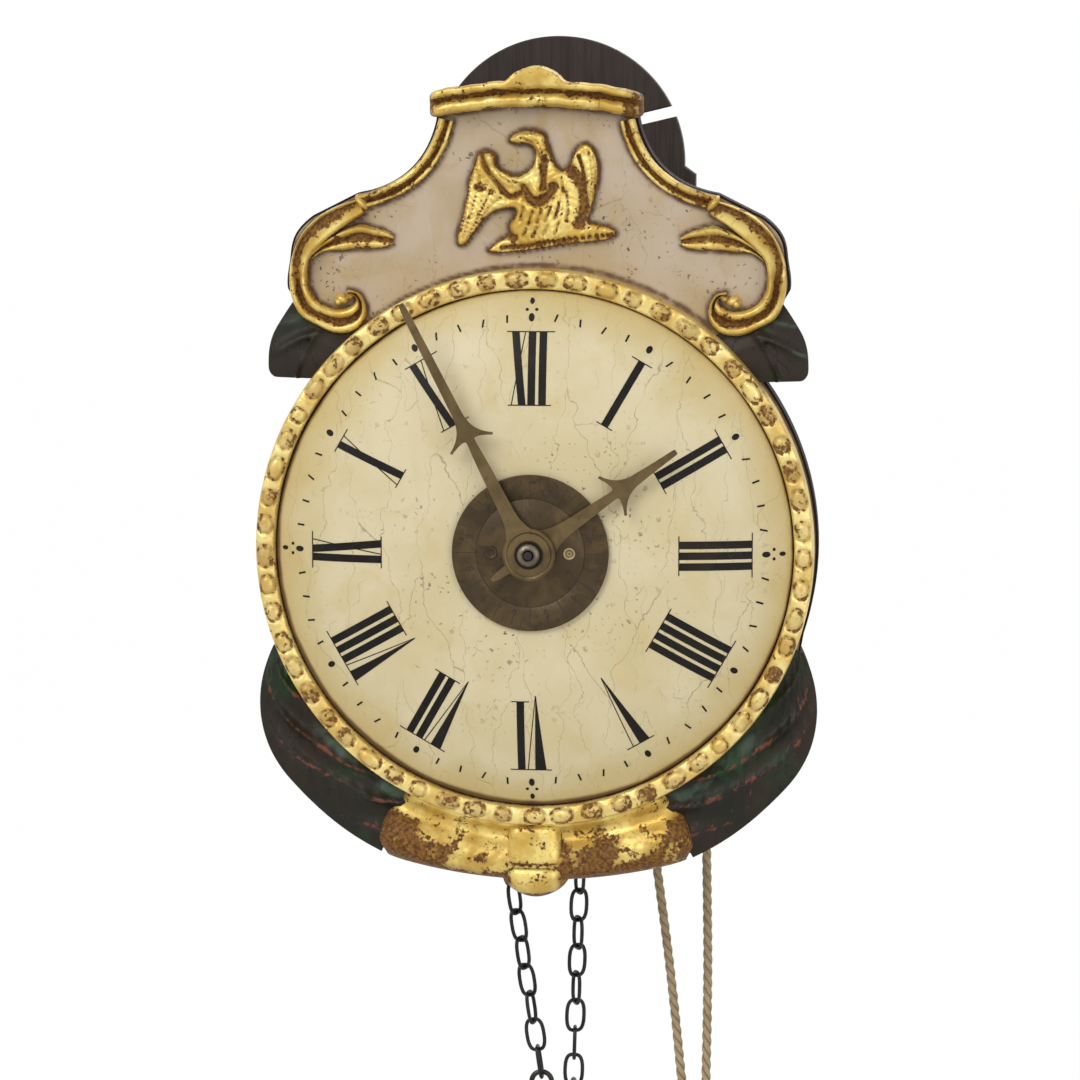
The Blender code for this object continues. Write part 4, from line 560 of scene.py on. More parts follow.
@dataclass(frozen=True)
class NumeralPaint:
    """Black numeral paint, a little worn."""

    name: str = "black_numeral_paint"

    def material(self) -> bpy.types.Material:
        """Makes the paint, once.

        Returns:
            The material.
        """
        if made := bpy.data.materials.get(self.name):
            return made
        graph, shader = new_finish(self.name)
        paint = PAINT_EFFECT.use(
            graph, Vector=graph.place(), Ground=ink(20, 18, 16), Second=ink(28, 25, 22),
            Stain=ink(58, 50, 40), Dirt=ink(70, 60, 46), Stains=0.35, Cracks=0.35, Specks=0.2,
        )
        graph.feed(shader.inputs["Base Color"], paint.outputs["Color"])
        graph.feed(shader.inputs["Roughness"], paint.outputs["Roughness"])
        shader.inputs["Specular IOR Level"].default_value = 0.15
        return bpy.data.materials[self.name]


@dataclass(frozen=True)
class Wood:
    """Wood with its grain upright."""

    name: str
    light: Ink
    dark: Ink
    gloss: float = 0.25

    def material(self) -> bpy.types.Material:
        """Makes the wood, once.

        Returns:
            The material.
        """
        if made := bpy.data.materials.get(self.name):
            return made
        graph, shader = new_finish(self.name)
        grain = GRAIN_EFFECT.use(graph, Vector=graph.place(), Light=self.light, Dark=self.dark)
        graph.feed(shader.inputs["Base Color"], grain.outputs["Color"])
        graph.feed(shader.inputs["Roughness"], grain.outputs["Roughness"])
        shader.inputs["Specular IOR Level"].default_value = self.gloss
        bump(graph, shader, grain.outputs["Height"], 0.00020)
        return bpy.data.materials[self.name]


@dataclass(frozen=True)
class Metal:
    """Brass, iron or bell metal with its tarnish."""

    name: str
    metal: Ink
    skin: Ink
    spot: Ink
    age: float
    metallic: float = 0.85

    def material(self) -> bpy.types.Material:
        """Makes the metal, once.

        Returns:
            The material.
        """
        if made := bpy.data.materials.get(self.name):
            return made
        graph, shader = new_finish(self.name)
        skin = TARNISH_EFFECT.use(
            graph, Vector=graph.place(), Metal=self.metal, Skin=self.skin, Spot=self.spot, Age=self.age
        )
        # the groove mask darkens the metal: engraved lines, and painted shade in the recesses of the boss, the collet
        # and the disc's rivets
        dark_lines_and_shade = graph.blend(graph.mask(Mask.GROOVE), skin.outputs["Color"], self.spot)
        graph.feed(shader.inputs["Base Color"], dark_lines_and_shade)
        graph.feed(shader.inputs["Roughness"], skin.outputs["Roughness"])
        shader.inputs["Metallic"].default_value = self.metallic
        bump(graph, shader, skin.outputs["Height"], 0.00010)
        return bpy.data.materials[self.name]


@dataclass(frozen=True)
class RopeFibre:
    """Twisted hemp, with painted shade between its strands."""

    name: str = "hemp_fibre"
    pale: Ink = ink(189, 170, 136)
    mid: Ink = ink(158, 136, 101)
    dark: Ink = ink(108, 87, 60)

    def material(self) -> bpy.types.Material:
        """Makes the fibre, once.

        Returns:
            The material.
        """
        if made := bpy.data.materials.get(self.name):
            return made
        graph, shader = new_finish(self.name)
        place = graph.place()
        hair = graph.noise(graph.stretch(place, (1.0, 1.0, 0.35)), 2600.0, 3.0, 0.8)
        cloud = graph.noise(place, 120.0, 3.0)
        tone = graph.maths("ADD", graph.maths("MULTIPLY", hair, 0.6), graph.maths("MULTIPLY", cloud, 0.4))
        colour = graph.blend(graph.ramp(tone, 0.34, 0.66), self.mid, self.pale)
        # painted shade in the valleys between the strands
        valley = graph.ramp(graph.mask(Mask.STRAND), 0.55, 1.0)
        colour = graph.blend(graph.maths("MULTIPLY", valley, 0.8), colour, self.dark)
        graph.feed(shader.inputs["Base Color"], colour)
        graph.feed(shader.inputs["Roughness"], graph.maths("ADD", graph.maths("MULTIPLY", hair, 0.15), 0.75))
        bump(graph, shader, hair, 0.00025)
        return bpy.data.materials[self.name]


GILT = Gilding("carving_gilt", 0.24)
GILT_RING = Gilding("ring_gilt", 0.14, ink(242, 221, 146), ink(212, 179, 98), ink(154, 112, 58), ink(100, 66, 34))
GILT_WORN = Gilding("cartouche_gilt", 0.26)
PANEL = PanelPaint()
DIAL = DialPaint()
LEAF = LeafPaint()
NUMERAL = NumeralPaint()
DARK_WOOD = Wood("stained_board", ink(60, 50, 44), ink(45, 37, 32))
# near-black wood for the board's sides and bevel: dark wood, made darker still as painted shade on the edge that turns
# away
EDGE_WOOD_AND_SHADE = Wood("shield_edge_wood", ink(40, 30, 24), ink(20, 15, 12), 0.05)
BEECH = Wood("case_beech", ink(182, 140, 96), ink(136, 96, 60))
HAND_BRASS = Metal("hand_brass", ink(109, 90, 56), ink(87, 71, 43), ink(58, 46, 30), 0.45, 0.6)
DISC_BRASS = Metal("disc_brass", ink(85, 68, 40), ink(64, 50, 30), ink(44, 34, 22), 0.60, 0.6)
BRIGHT_STUD = Metal("bright_stud", ink(188, 172, 122), ink(160, 142, 96), ink(70, 56, 36), 0.35, 0.3)
BRASS = Metal("wheel_brass", ink(190, 150, 84), ink(150, 114, 62), ink(92, 70, 44), 0.35)
IRON = Metal("arbor_iron", ink(62, 60, 58), ink(44, 40, 38), ink(74, 50, 36), 0.45)
BLACK_IRON = Metal("chain_iron", ink(40, 39, 38), ink(26, 25, 24), ink(48, 36, 30), 0.30, 0.6)
BELL_METAL = Metal("cast_bell_metal", ink(176, 150, 104), ink(140, 112, 76), ink(84, 66, 46), 0.5)
NUT_STEEL = Metal("nut_steel", ink(120, 111, 98), ink(88, 79, 66), ink(34, 28, 21), 0.45, 0.8)
ENGRAVING = Metal("engraved_lines", ink(44, 35, 24), ink(34, 27, 18), ink(26, 20, 14), 0.5, 0.2)
ROPE = RopeFibre()

Finish = Gilding | PanelPaint | DialPaint | LeafPaint | NumeralPaint | Wood | Metal | RopeFibre


# Shape helpers


def polar(radius: float, degrees: float) -> Point2:
    """Gives the place on the panel at a radius and an angle clockwise from the top."""
    turn = math.radians(degrees)
    return radius * math.sin(turn), radius * math.cos(turn)


def smooth_line(points: Sequence[Sequence[float]], steps: int) -> np.ndarray:
    """Draws a smooth line through points.

    Args:
        points: The points, with any count of values each.
        steps: Spans between two points.

    Returns:
        The line's points, one in each row.
    """
    given = np.asarray(points, float)
    held = np.vstack([given[:1], given, given[-1:]])
    line = []
    for a, b, c, d in zip(held, held[1:], held[2:], held[3:]):
        for k in range(steps):
            t = k / steps
            line.append(0.5 * (2 * b + (c - a) * t + (2 * a - 5 * b + 4 * c - d) * t ** 2
                               + (3 * b - 3 * c + d - a) * t ** 3))
    line.append(given[-1])
    return np.array(line)


def bow(a: Point2, b: Point2, c: Point2, steps: int) -> np.ndarray:
    """Draws a curve from a to c that is pulled towards b.

    Args:
        a: Start.
        b: Point that draws the curve.
        c: End.
        steps: Spans of the curve.

    Returns:
        The curve's points.
    """
    t = np.linspace(0.0, 1.0, steps + 1)[:, None]
    return (1 - t) ** 2 * np.array(a) + 2 * t * (1 - t) * np.array(b) + t ** 2 * np.array(c)


def across(path: np.ndarray) -> np.ndarray:
    """Gives the direction to the left of a line at each of its points."""
    ahead = np.gradient(path, axis=0)
    ahead /= np.linalg.norm(ahead, axis=1)[:, None]
    return np.column_stack([-ahead[:, 1], ahead[:, 0]])


def ease(value: np.ndarray | float, low: float, high: float) -> np.ndarray:
    """Eases values from 0 at low to 1 at high."""
    t = np.clip((np.asarray(value, float) - low) / (high - low), 0.0, 1.0)
    return t * t * (3 - 2 * t)


@dataclass
class Shell:
    """Points and faces of one closed form, with the values that its finish reads."""

    points: np.ndarray
    faces: list[tuple[int, ...]]
    masks: dict[Mask, np.ndarray]

    def mirrored(self) -> "Shell":
        """Gives the same form on the other side of the clock."""
        flipped = self.points * np.array((-1.0, 1.0, 1.0))
        return Shell(flipped, [tuple(reversed(f)) for f in self.faces], dict(self.masks))


def joined(*shells: Shell) -> Shell:
    """Puts several forms into one.

    Args:
        *shells: The forms.

    Returns:
        One form with all their points and faces.
    """
    faces = []
    start = 0
    for shell in shells:
        faces += [tuple(i + start for i in f) for f in shell.faces]
        start += len(shell.points)
    names = {m for s in shells for m in s.masks}
    masks = {m: np.concatenate([s.masks.get(m, np.zeros(len(s.points))) for s in shells]) for m in names}
    return Shell(np.vstack([s.points for s in shells]), faces, masks)


def loft(rings: np.ndarray, masks: dict[Mask, np.ndarray] | None = None, looped: bool = False) -> Shell:
    """Skins a row of closed rings of points.

    Args:
        rings: Array of ring, point in the ring, and x y z.
        masks: Values at each point, by ring and point.
        looped: Whether the last ring joins the first, rather than both being closed off.

    Returns:
        The closed form.
    """
    count, size = rings.shape[:2]
    faces = []
    for i in range(count if looped else count - 1):
        j = (i + 1) % count
        for k in range(size):
            n = (k + 1) % size
            faces.append((i * size + k, i * size + n, j * size + n, j * size + k))
    if not looped:
        faces.append(tuple(reversed(range(size))))
        faces.append(tuple(range((count - 1) * size, count * size)))
    flat = {m: np.asarray(v, float).reshape(-1) for m, v in (masks or {}).items()}
    return Shell(rings.reshape(-1, 3), faces, flat)


def band(path: np.ndarray, widths: np.ndarray, heights: np.ndarray, section: Sequence[Sequence[float]]) -> Shell:
    """Runs a carved section along a line on the panel.

    Args:
        path: The line's x and z.
        widths: Width at each point.
        heights: Height at each point.
        section: Share across from the right edge to the left, share of the height, and how brown it is.

    Returns:
        The moulding, with its brown parts as the groove mask.
    """
    side = across(path)
    shape = np.array(section)
    spot = path[:, None, :] + side[:, None, :] * (shape[None, :, :1] * widths[:, None, None])
    lift = SEAT_Y - shape[None, :, 1] * heights[:, None]
    brown = np.repeat(shape[None, :, 2], len(path), axis=0)
    return loft(np.stack([spot[..., 0], lift, spot[..., 1]], axis=-1), {Mask.GROOVE: brown})


def turned(stations: Sequence[Point2], sides: int, centre: Point2 = (0.0, 0.0), hollow: bool = True) -> Shell:
    """Turns a profile about an axis that points at the viewer.

    Args:
        stations: Place along the axis and radius, in order round the profile.
        sides: Count of steps round.
        centre: The axis's x and z.
        hollow: Whether the profile is a closed loop round a bore.

    Returns:
        The turned form.
    """
    profile = np.array(stations)
    turn = np.linspace(0.0, 2 * math.pi, sides, endpoint=False)
    x = centre[0] + profile[:, 1][:, None] * np.sin(turn)
    z = centre[1] + profile[:, 1][:, None] * np.cos(turn)
    y = np.repeat(profile[:, 0][:, None], sides, axis=1)
    return loft(np.stack([x, y, z], axis=-1), looped=hollow)


def tube(path: np.ndarray, radius: float, sides: int, looped: bool = False, twist: float = 0.0) -> Shell:
    """Runs a round wire, or a rope of three strands, along a line in an upright plane.

    Args:
        path: The line's points.
        radius: Outer radius.
        sides: Points round the tube.
        looped: Whether the line closes on itself.
        twist: Length in which the strands turn once, or 0 for a plain wire.

    Returns:
        The tube, with the valleys between its strands as a mask.
    """
    ends = (np.roll(path, -1, axis=0) - np.roll(path, 1, axis=0)) if looped else np.gradient(path, axis=0)
    ahead = ends / np.linalg.norm(ends, axis=1)[:, None]
    middle = path.mean(axis=0)
    plane = np.linalg.svd(path - middle)[2][2]
    plane = np.array((0.0, 1.0, 0.0)) if abs(plane[1]) > 0.4 else plane
    out = np.cross(ahead, plane)
    out /= np.linalg.norm(out, axis=1)[:, None]
    up = np.cross(out, ahead)
    turn = np.linspace(0.0, 2 * math.pi, sides, endpoint=False)
    gone = np.concatenate([[0.0], np.cumsum(np.linalg.norm(np.diff(path, axis=0), axis=1))])
    lobe = np.cos(3 * (turn[None, :] - 2 * math.pi * gone[:, None] / twist)) if twist else np.ones((len(path), sides))
    reach = radius * (0.88 + 0.12 * lobe)
    rings = path[:, None, :] + out[:, None, :] * (reach * np.cos(turn))[..., None]
    rings = rings + up[:, None, :] * (reach * np.sin(turn))[..., None]
    return loft(rings, {Mask.STRAND: (1 - lobe) / 2}, looped)


def inset(outline: np.ndarray, distance: float) -> np.ndarray:
    """Moves a closed outline inwards.

    Args:
        outline: Points in clockwise order on the panel.
        distance: How far each side moves.

    Returns:
        The moved outline.
    """
    ahead = np.roll(outline, -1, axis=0) - outline
    ahead /= np.maximum(np.linalg.norm(ahead, axis=1), 1e-9)[:, None]
    normal = np.column_stack([ahead[:, 1], -ahead[:, 0]])
    mitre = normal + np.roll(normal, 1, axis=0)
    length = np.linalg.norm(mitre, axis=1)[:, None]
    share = np.minimum(2.0 / np.maximum(length ** 2, 1e-6), 1.6)
    return outline + mitre * share * distance


def plate(outline: np.ndarray, hole_r: float, back_y: float, front_y: float, bevel: float,
          inner: np.ndarray | None = None) -> Shell:
    """Cuts a flat piece with a bevelled front edge and, where it has one, a round hole at the clock's centre.

    Args:
        outline: Outline in clockwise order.
        hole_r: Radius of the hole, or 0 for none.
        back_y: Where its back lies.
        front_y: Where its front lies.
        bevel: Width of the bevel.
        inner: More points on its front, as x and z.

    Returns:
        The closed plate.
    """
    turn = np.linspace(0.0, 2 * math.pi, 32 if hole_r else 0, endpoint=False)
    hole = np.column_stack([hole_r * np.sin(turn), hole_r * np.cos(turn)])
    more = np.zeros((0, 2)) if inner is None else inner
    loops = [(outline, back_y), (outline, front_y + bevel), (inset(outline, bevel), front_y)]
    loops += [(hole, back_y), (hole, front_y), (more, front_y)]
    rows = [np.column_stack([o[:, 0], np.full(len(o), y), o[:, 1]]) for o, y in loops]
    starts = np.cumsum([0] + [len(r) for r in rows])
    faces = []
    for low, high in ((0, 1), (1, 2), (4, 3)):
        size = len(rows[low])
        for k in range(size):
            n = (k + 1) % size
            faces.append((starts[low] + k, starts[low] + n, starts[high] + n, starts[high] + k))
    for picks in ((0, 3), (2, 4, 5)):
        index = [i for r in picks for i in range(starts[r], starts[r + 1])]
        spots = [Vector((p[0], p[2])) for r in picks for p in rows[r]]
        edges = []
        first = 0
        for r in picks[:2]:
            size = len(rows[r])
            edges += [(first + k, first + (k + 1) % size) for k in range(size)]
            first += size
        made = delaunay_2d_cdt(spots, edges, [], 1, 1e-8)
        for face in made[2]:
            middle = sum((made[0][i] for i in face), Vector((0.0, 0.0))) / 3
            if middle.length > hole_r * 0.97:
                faces.append(tuple(index[made[3][i][0]] for i in face))
    return Shell(np.vstack(rows), [tuple(int(i) for i in f) for f in faces], {})


def railed(inner: np.ndarray, outer: np.ndarray, heights: np.ndarray, sections: Sequence[Sequence[Sequence[float]]],
           change: np.ndarray) -> Shell:
    """Skins a carved band between two edges drawn on the panel.

    Args:
        inner: One edge's x and z.
        outer: The other edge's x and z, point for point.
        heights: Height at each point.
        sections: Two sections of equal length, as share across, share of the height, and how brown it is.
        change: At each point, how far the first section has turned into the second.

    Returns:
        The band, with its brown parts as the groove mask.
    """
    first, second = np.array(sections[0]), np.array(sections[1])
    shape = first[None] + (second - first)[None] * change[:, None, None]
    spot = inner[:, None, :] + (outer - inner)[:, None, :] * shape[..., :1]
    lift = SEAT_Y - shape[..., 1] * heights[:, None]
    return loft(np.stack([spot[..., 0], lift, spot[..., 1]], axis=-1), {Mask.GROOVE: shape[..., 2]})


def nearness(spots: np.ndarray, line: np.ndarray) -> np.ndarray:
    """Measures how far each point lies from the nearest point of a line."""
    return np.sqrt(((spots[:, None, :] - line[None, :, :]) ** 2).sum(axis=2).min(axis=1))


def within(spots: np.ndarray, outline: np.ndarray) -> np.ndarray:
    """Finds which points lie inside a closed outline.

    Args:
        spots: The points.
        outline: The outline.

    Returns:
        True for each point inside.
    """
    inside = np.zeros(len(spots), bool)
    for a, b in zip(outline, np.roll(outline, -1, axis=0)):
        if a[1] == b[1]:
            continue
        level = (a[1] > spots[:, 1]) != (b[1] > spots[:, 1])
        inside ^= level & (spots[:, 0] < a[0] + (b[0] - a[0]) * (spots[:, 1] - a[1]) / (b[1] - a[1]))
    return inside


def ellipsoid(centre: Sequence[float], reach: Sequence[float], turn: float, rows: int = 10, sides: int = 18) -> Shell:
    """Makes a rounded mass that lies on the panel.

    Args:
        centre: Its x, y and z.
        reach: Half its length, depth and height.
        turn: How far it is turned on the panel, in radians.
        rows: Steps from front to back.
        sides: Steps round.

    Returns:
        The mass.
    """
    tilt = np.linspace(0.02, math.pi - 0.02, rows + 1)[:, None]
    spin = np.linspace(0.0, 2 * math.pi, sides, endpoint=False)[None, :]
    a = reach[0] * np.sin(tilt) * np.cos(spin)
    b = reach[2] * np.sin(tilt) * np.sin(spin)
    x = centre[0] + a * math.cos(turn) - b * math.sin(turn)
    z = centre[2] + a * math.sin(turn) + b * math.cos(turn)
    y = centre[1] - reach[1] * np.cos(tilt) + 0 * spin
    return loft(np.stack([x, y, z], axis=-1))


def hollows(mesh: bpy.types.Mesh, spread: int) -> np.ndarray:
    """Measures how hollow or sharp a surface is.

    Args:
        mesh: The mesh.
        spread: How many times the reading is evened out.

    Returns:
        At each point, above 0 in a hollow and below 0 on an edge.
    """
    count = len(mesh.vertices)
    place = np.empty(count * 3)
    mesh.vertices.foreach_get("co", place)
    facing = np.empty(count * 3)
    mesh.vertices.foreach_get("normal", facing)
    place, facing = place.reshape(-1, 3), facing.reshape(-1, 3)
    pairs = np.empty(len(mesh.edges) * 2, int)
    mesh.edges.foreach_get("vertices", pairs)
    a, b = pairs.reshape(-1, 2).T
    degree = np.maximum(np.bincount(pairs, minlength=count), 1)
    mean = np.column_stack([
        np.bincount(a, place[b, i], count) + np.bincount(b, place[a, i], count) for i in range(3)
    ]) / degree[:, None]
    gap = np.linalg.norm(place[a] - place[b], axis=1)
    span = (np.bincount(a, gap, count) + np.bincount(b, gap, count)) / degree
    value = ((mean - place) * facing).sum(axis=1) / np.maximum(span, 1e-7)
    for _ in range(spread):
        value = (value + (np.bincount(a, value[b], count) + np.bincount(b, value[a], count)) / degree) / 2
    return value


def piece(name: str, shell: Shell, finishes: Sequence[Finish], crease: float = 42.0, carved: float = 0.0) -> bpy.types.Object:
    """Makes an object of a form and gives it its finish.

    Args:
        name: The piece's name.
        shell: Its form.
        finishes: Its finish, and a second one for its sides where it has them.
        crease: Edges sharper than this many degrees stay sharp.
        carved: How strongly hollows add to the groove mask, which the gilding browns as painted shade, or 0 to leave
            the form's own masks.

    Returns:
        The object.
    """
    mesh = bpy.data.meshes.new(name)
    mesh.from_pydata(shell.points.tolist(), [], shell.faces)
    work = bmesh.new()
    work.from_mesh(mesh)
    bmesh.ops.recalc_face_normals(work, faces=work.faces)
    work.to_mesh(mesh)
    work.free()
    mesh.shade_smooth()
    mesh.set_sharp_from_angle(angle=math.radians(crease))
    masks = dict(shell.masks)
    if carved:
        hollow = hollows(mesh, 2)
        masks[Mask.GROOVE] = np.clip(masks.get(Mask.GROOVE, 0.0) + np.clip(hollow * carved, 0.0, 1.0), 0.0, 1.0)
    for mask, values in masks.items():
        layer = mesh.attributes.new(mask.value, "FLOAT", "POINT")
        layer.data.foreach_set("value", np.asarray(values, np.float32))
    for finish in finishes:
        mesh.materials.append(finish.material())
    if len(finishes) > 1:
        for face in mesh.polygons:
            face.material_index = 0 if face.normal.y < -0.95 else 1
    obj = bpy.data.objects.new(name, mesh)
    bpy.context.scene.collection.objects.link(obj)
    return obj


def settle(obj: bpy.types.Object, body: Body, slot: Slot, *nodes: str) -> bpy.types.Object:
    """Fixes a piece to its body and lets it stand for its solids.

    Args:
        obj: The piece.
        body: What it moves with.
        slot: The material slot that it takes its finish from; not used.
        *nodes: The solids that it stands for.

    Returns:
        The piece.
    """
    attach(obj, body.value)
    if nodes:
        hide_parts(*nodes)
    LOG.info("piece %s rides on %s for %s", obj.name, body.value, ", ".join(nodes) or "itself")
    return obj


# Sub-assemblies


@dataclass
class Rope:
    """The alarm rope: two hanging runs with knots, and the turn over its pulley."""

    radius: float = 0.0020
    lay: float = 0.0150
    bend_r: float = 0.0160
    bow: float = 0.0006
    end_z: float = -0.2380
    pulley: Point2 = (0.0500, -0.0450)
    knot_r: float = 0.0038

    def route(self, start: np.ndarray, lean: float) -> np.ndarray:
        """Gives the line of one hanging run.

        Args:
            start: Where it leaves the pulley.
            lean: How far it leans, in radians.

        Returns:
            The run's points.
        """
        fall = np.array((math.sin(lean), 0.0, -math.cos(lean)))
        aside = np.array((math.cos(lean), 0.0, math.sin(lean))) * self.bow
        length = (start[2] - self.end_z) / math.cos(lean)
        stops = [start, start + fall * (0.3 * length) - aside, start + fall * (0.7 * length) + aside]
        return smooth_line([*stops, start + fall * length], 5)

    def knot(self, name: str, end: np.ndarray) -> bpy.types.Object:
        """Ties a knot under the end of a run.

        Args:
            name: The piece's name.
            end: The run's end.

        Returns:
            The knot.
        """
        turn = np.linspace(0.0, 2 * math.pi, 72, endpoint=False)
        thick = 0.00145
        wide = (self.knot_r - thick) / 3
        x = wide * (np.sin(turn) + 2 * np.sin(2 * turn))
        y = wide * (np.cos(turn) - 2 * np.cos(2 * turn))
        z = -0.00112 * np.sin(3 * turn)
        low = end[2] - 0.0003 - 0.00262
        path = np.column_stack([end[0] + x, end[1] + y, low + z])
        return piece(name, tube(path, thick, 14, looped=True, twist=0.0062), [ROPE], 80.0)

    def build(self) -> None:
        """Makes the runs, knots and the turn over the pulley."""
        runs = (("rope_right", 90.0, 0.0), ("rope_left", -96.7, math.radians(6.7)))
        for name, angle, lean in runs:
            x, z = polar(self.bend_r, angle)
            start = np.array((self.pulley[0] + x, CHAIN_Y, self.pulley[1] + z - 0.0003))
            path = self.route(start, lean)
            fine = smooth_line(path, 10)
            run = piece(name + "_strands", tube(fine, self.radius, 24, twist=self.lay), [ROPE], 80.0)
            settle(run, Body.FRAME, Slot.ROPE, name + "_run")
            knot = settle(self.knot(name + "_tied", path[-1]), Body.FRAME, Slot.ROPE, name + "_knot")
        turn = np.radians(np.linspace(90.0, -96.7, 61))
        bend = np.column_stack([self.pulley[0] + self.bend_r * np.sin(turn), np.full(61, CHAIN_Y),
                                self.pulley[1] + self.bend_r * np.cos(turn)])
        over = piece("rope_turn", tube(bend, self.radius, 24, twist=self.lay), [ROPE], 80.0)
        settle(over, Body.FRAME, Slot.ROPE, "rope_over_pulley")


@dataclass
class Shield:
    """The painted board that carries the dial and the carvings."""

    edge: float = 0.0015
    bevel: float = 0.0009
    flank_out: float = 0.0052
    bore_r: float = 0.0059
    mesh: float = 0.0013
    halo: float = 0.0014

    def flank(self, outward: float, steps: int) -> np.ndarray:
        """Gives the concave flank from the cornice to the lobe.

        Args:
            outward: How far it is moved outwards.
            steps: Spans of the curve.

        Returns:
            The curve on the right side.
        """
        start = (0.0349 + outward, CORNICE_FOOT_Z - 0.0003)
        drawn = (0.0404 + outward, CORNICE_FOOT_Z - 0.0270 + 0.4 * outward)
        end = (EYE[0] - 0.0075 + 0.3 * outward, EYE[1] + 0.0345 + 0.8 * outward)
        return bow(start, drawn, end, steps)

    def lobe(self) -> np.ndarray:
        """Gives the rounded edge outside the scroll.

        Returns:
            Its points from the flank's foot down to the leaf.
        """
        spots = Scroll().route(8)
        path, widths = spots[:, :2], spots[:, 2]
        moved = path + across(path) * (widths / 2 + self.edge)[:, None]
        return moved[20:49]

    def outline(self) -> np.ndarray:
        """Draws the whole board.

        Returns:
            Its outline in clockwise order.
        """
        half = [(0.0, CORNICE_FOOT_Z + 0.0090), (0.0394, CORNICE_FOOT_Z + 0.0090)]
        half += [tuple(p) for p in self.flank(self.flank_out, 22)]
        leaf = Leaves().upper_edge()
        leaf = leaf - across(leaf) * self.edge
        half += [tuple(p) for p in self.lobe() if p[1] > 0.1000]
        half += [tuple(p) for p in leaf[::2] if p[1] < 0.0960]
        half += [polar(RING_R + 0.0007, a) for a in np.linspace(52.9, 108.0, 28)]
        half += [polar(RING_R + Leaves.lower_reach(a) - self.edge, a) for a in np.linspace(111.5, 153.5, 40)]
        half += [polar(RING_R + Cartouche().reach_at((180.0 - a) / 27.0) - 2 * self.edge, a)
                 for a in np.linspace(154.7, 180.0, 16)]
        right = np.array(half)
        return np.vstack([right, (right * np.array((-1.0, 1.0)))[-2:0:-1]])

    def carving_edges(self) -> np.ndarray:
        """Gathers points along the foot of every carving on the panel.

        Returns:
            Their x and z.
        """
        turn = np.radians(np.linspace(-115.0, 115.0, 460))
        ring = np.column_stack([RING_R * np.sin(turn), RING_R * np.cos(turn)])
        flank = Flank()
        path = self.flank(flank.outward, 60)
        side = across(path) * (flank.width / 2)
        right = np.vstack([path + side, path - side, *Scroll().rails(6), *Scroll().leaf_rails(6)])
        x = np.linspace(-0.042, 0.042, 80)
        crest = Cornice()
        foot = np.column_stack([x, CORNICE_FOOT_Z + crest.arch * (1 - (x / crest.half_w) ** 2)])
        return np.vstack([ring, foot, right, right * np.array((-1.0, 1.0)), Eagle().edges()])

    def build(self) -> None:
        """Makes the board, with painted shade and some grime gathered round the carvings."""
        outline = self.outline()
        x, z = np.meshgrid(np.arange(-0.0990, 0.0995, self.mesh), np.arange(0.0560, 0.1800, self.mesh))
        spots = np.column_stack([x.ravel(), z.ravel()])
        spots = spots[within(spots, inset(outline, 0.0016)) & (np.hypot(*spots.T) > RING_INNER_R + 0.004)]
        board = plate(outline, self.bore_r, SHIELD_BACK_Y, PANEL_Y, self.bevel, spots)
        feet = self.carving_edges()
        tree = KDTree(len(feet))
        for i, (fx, fz) in enumerate(feet):
            tree.insert((fx, fz, 0.0), i)
        tree.balance()
        gap = np.array([tree.find((a, b, 0.0))[2] for a, _, b in board.points])
        # painted shade with some grime, fading with the distance from the foot of each carving
        board.masks[Mask.GROOVE] = np.exp(-gap / self.halo)
        settle(piece("painted_board", board, [PANEL, EDGE_WOOD_AND_SHADE], 30.0), Body.FRAME, Slot.PANEL, "shield_board")


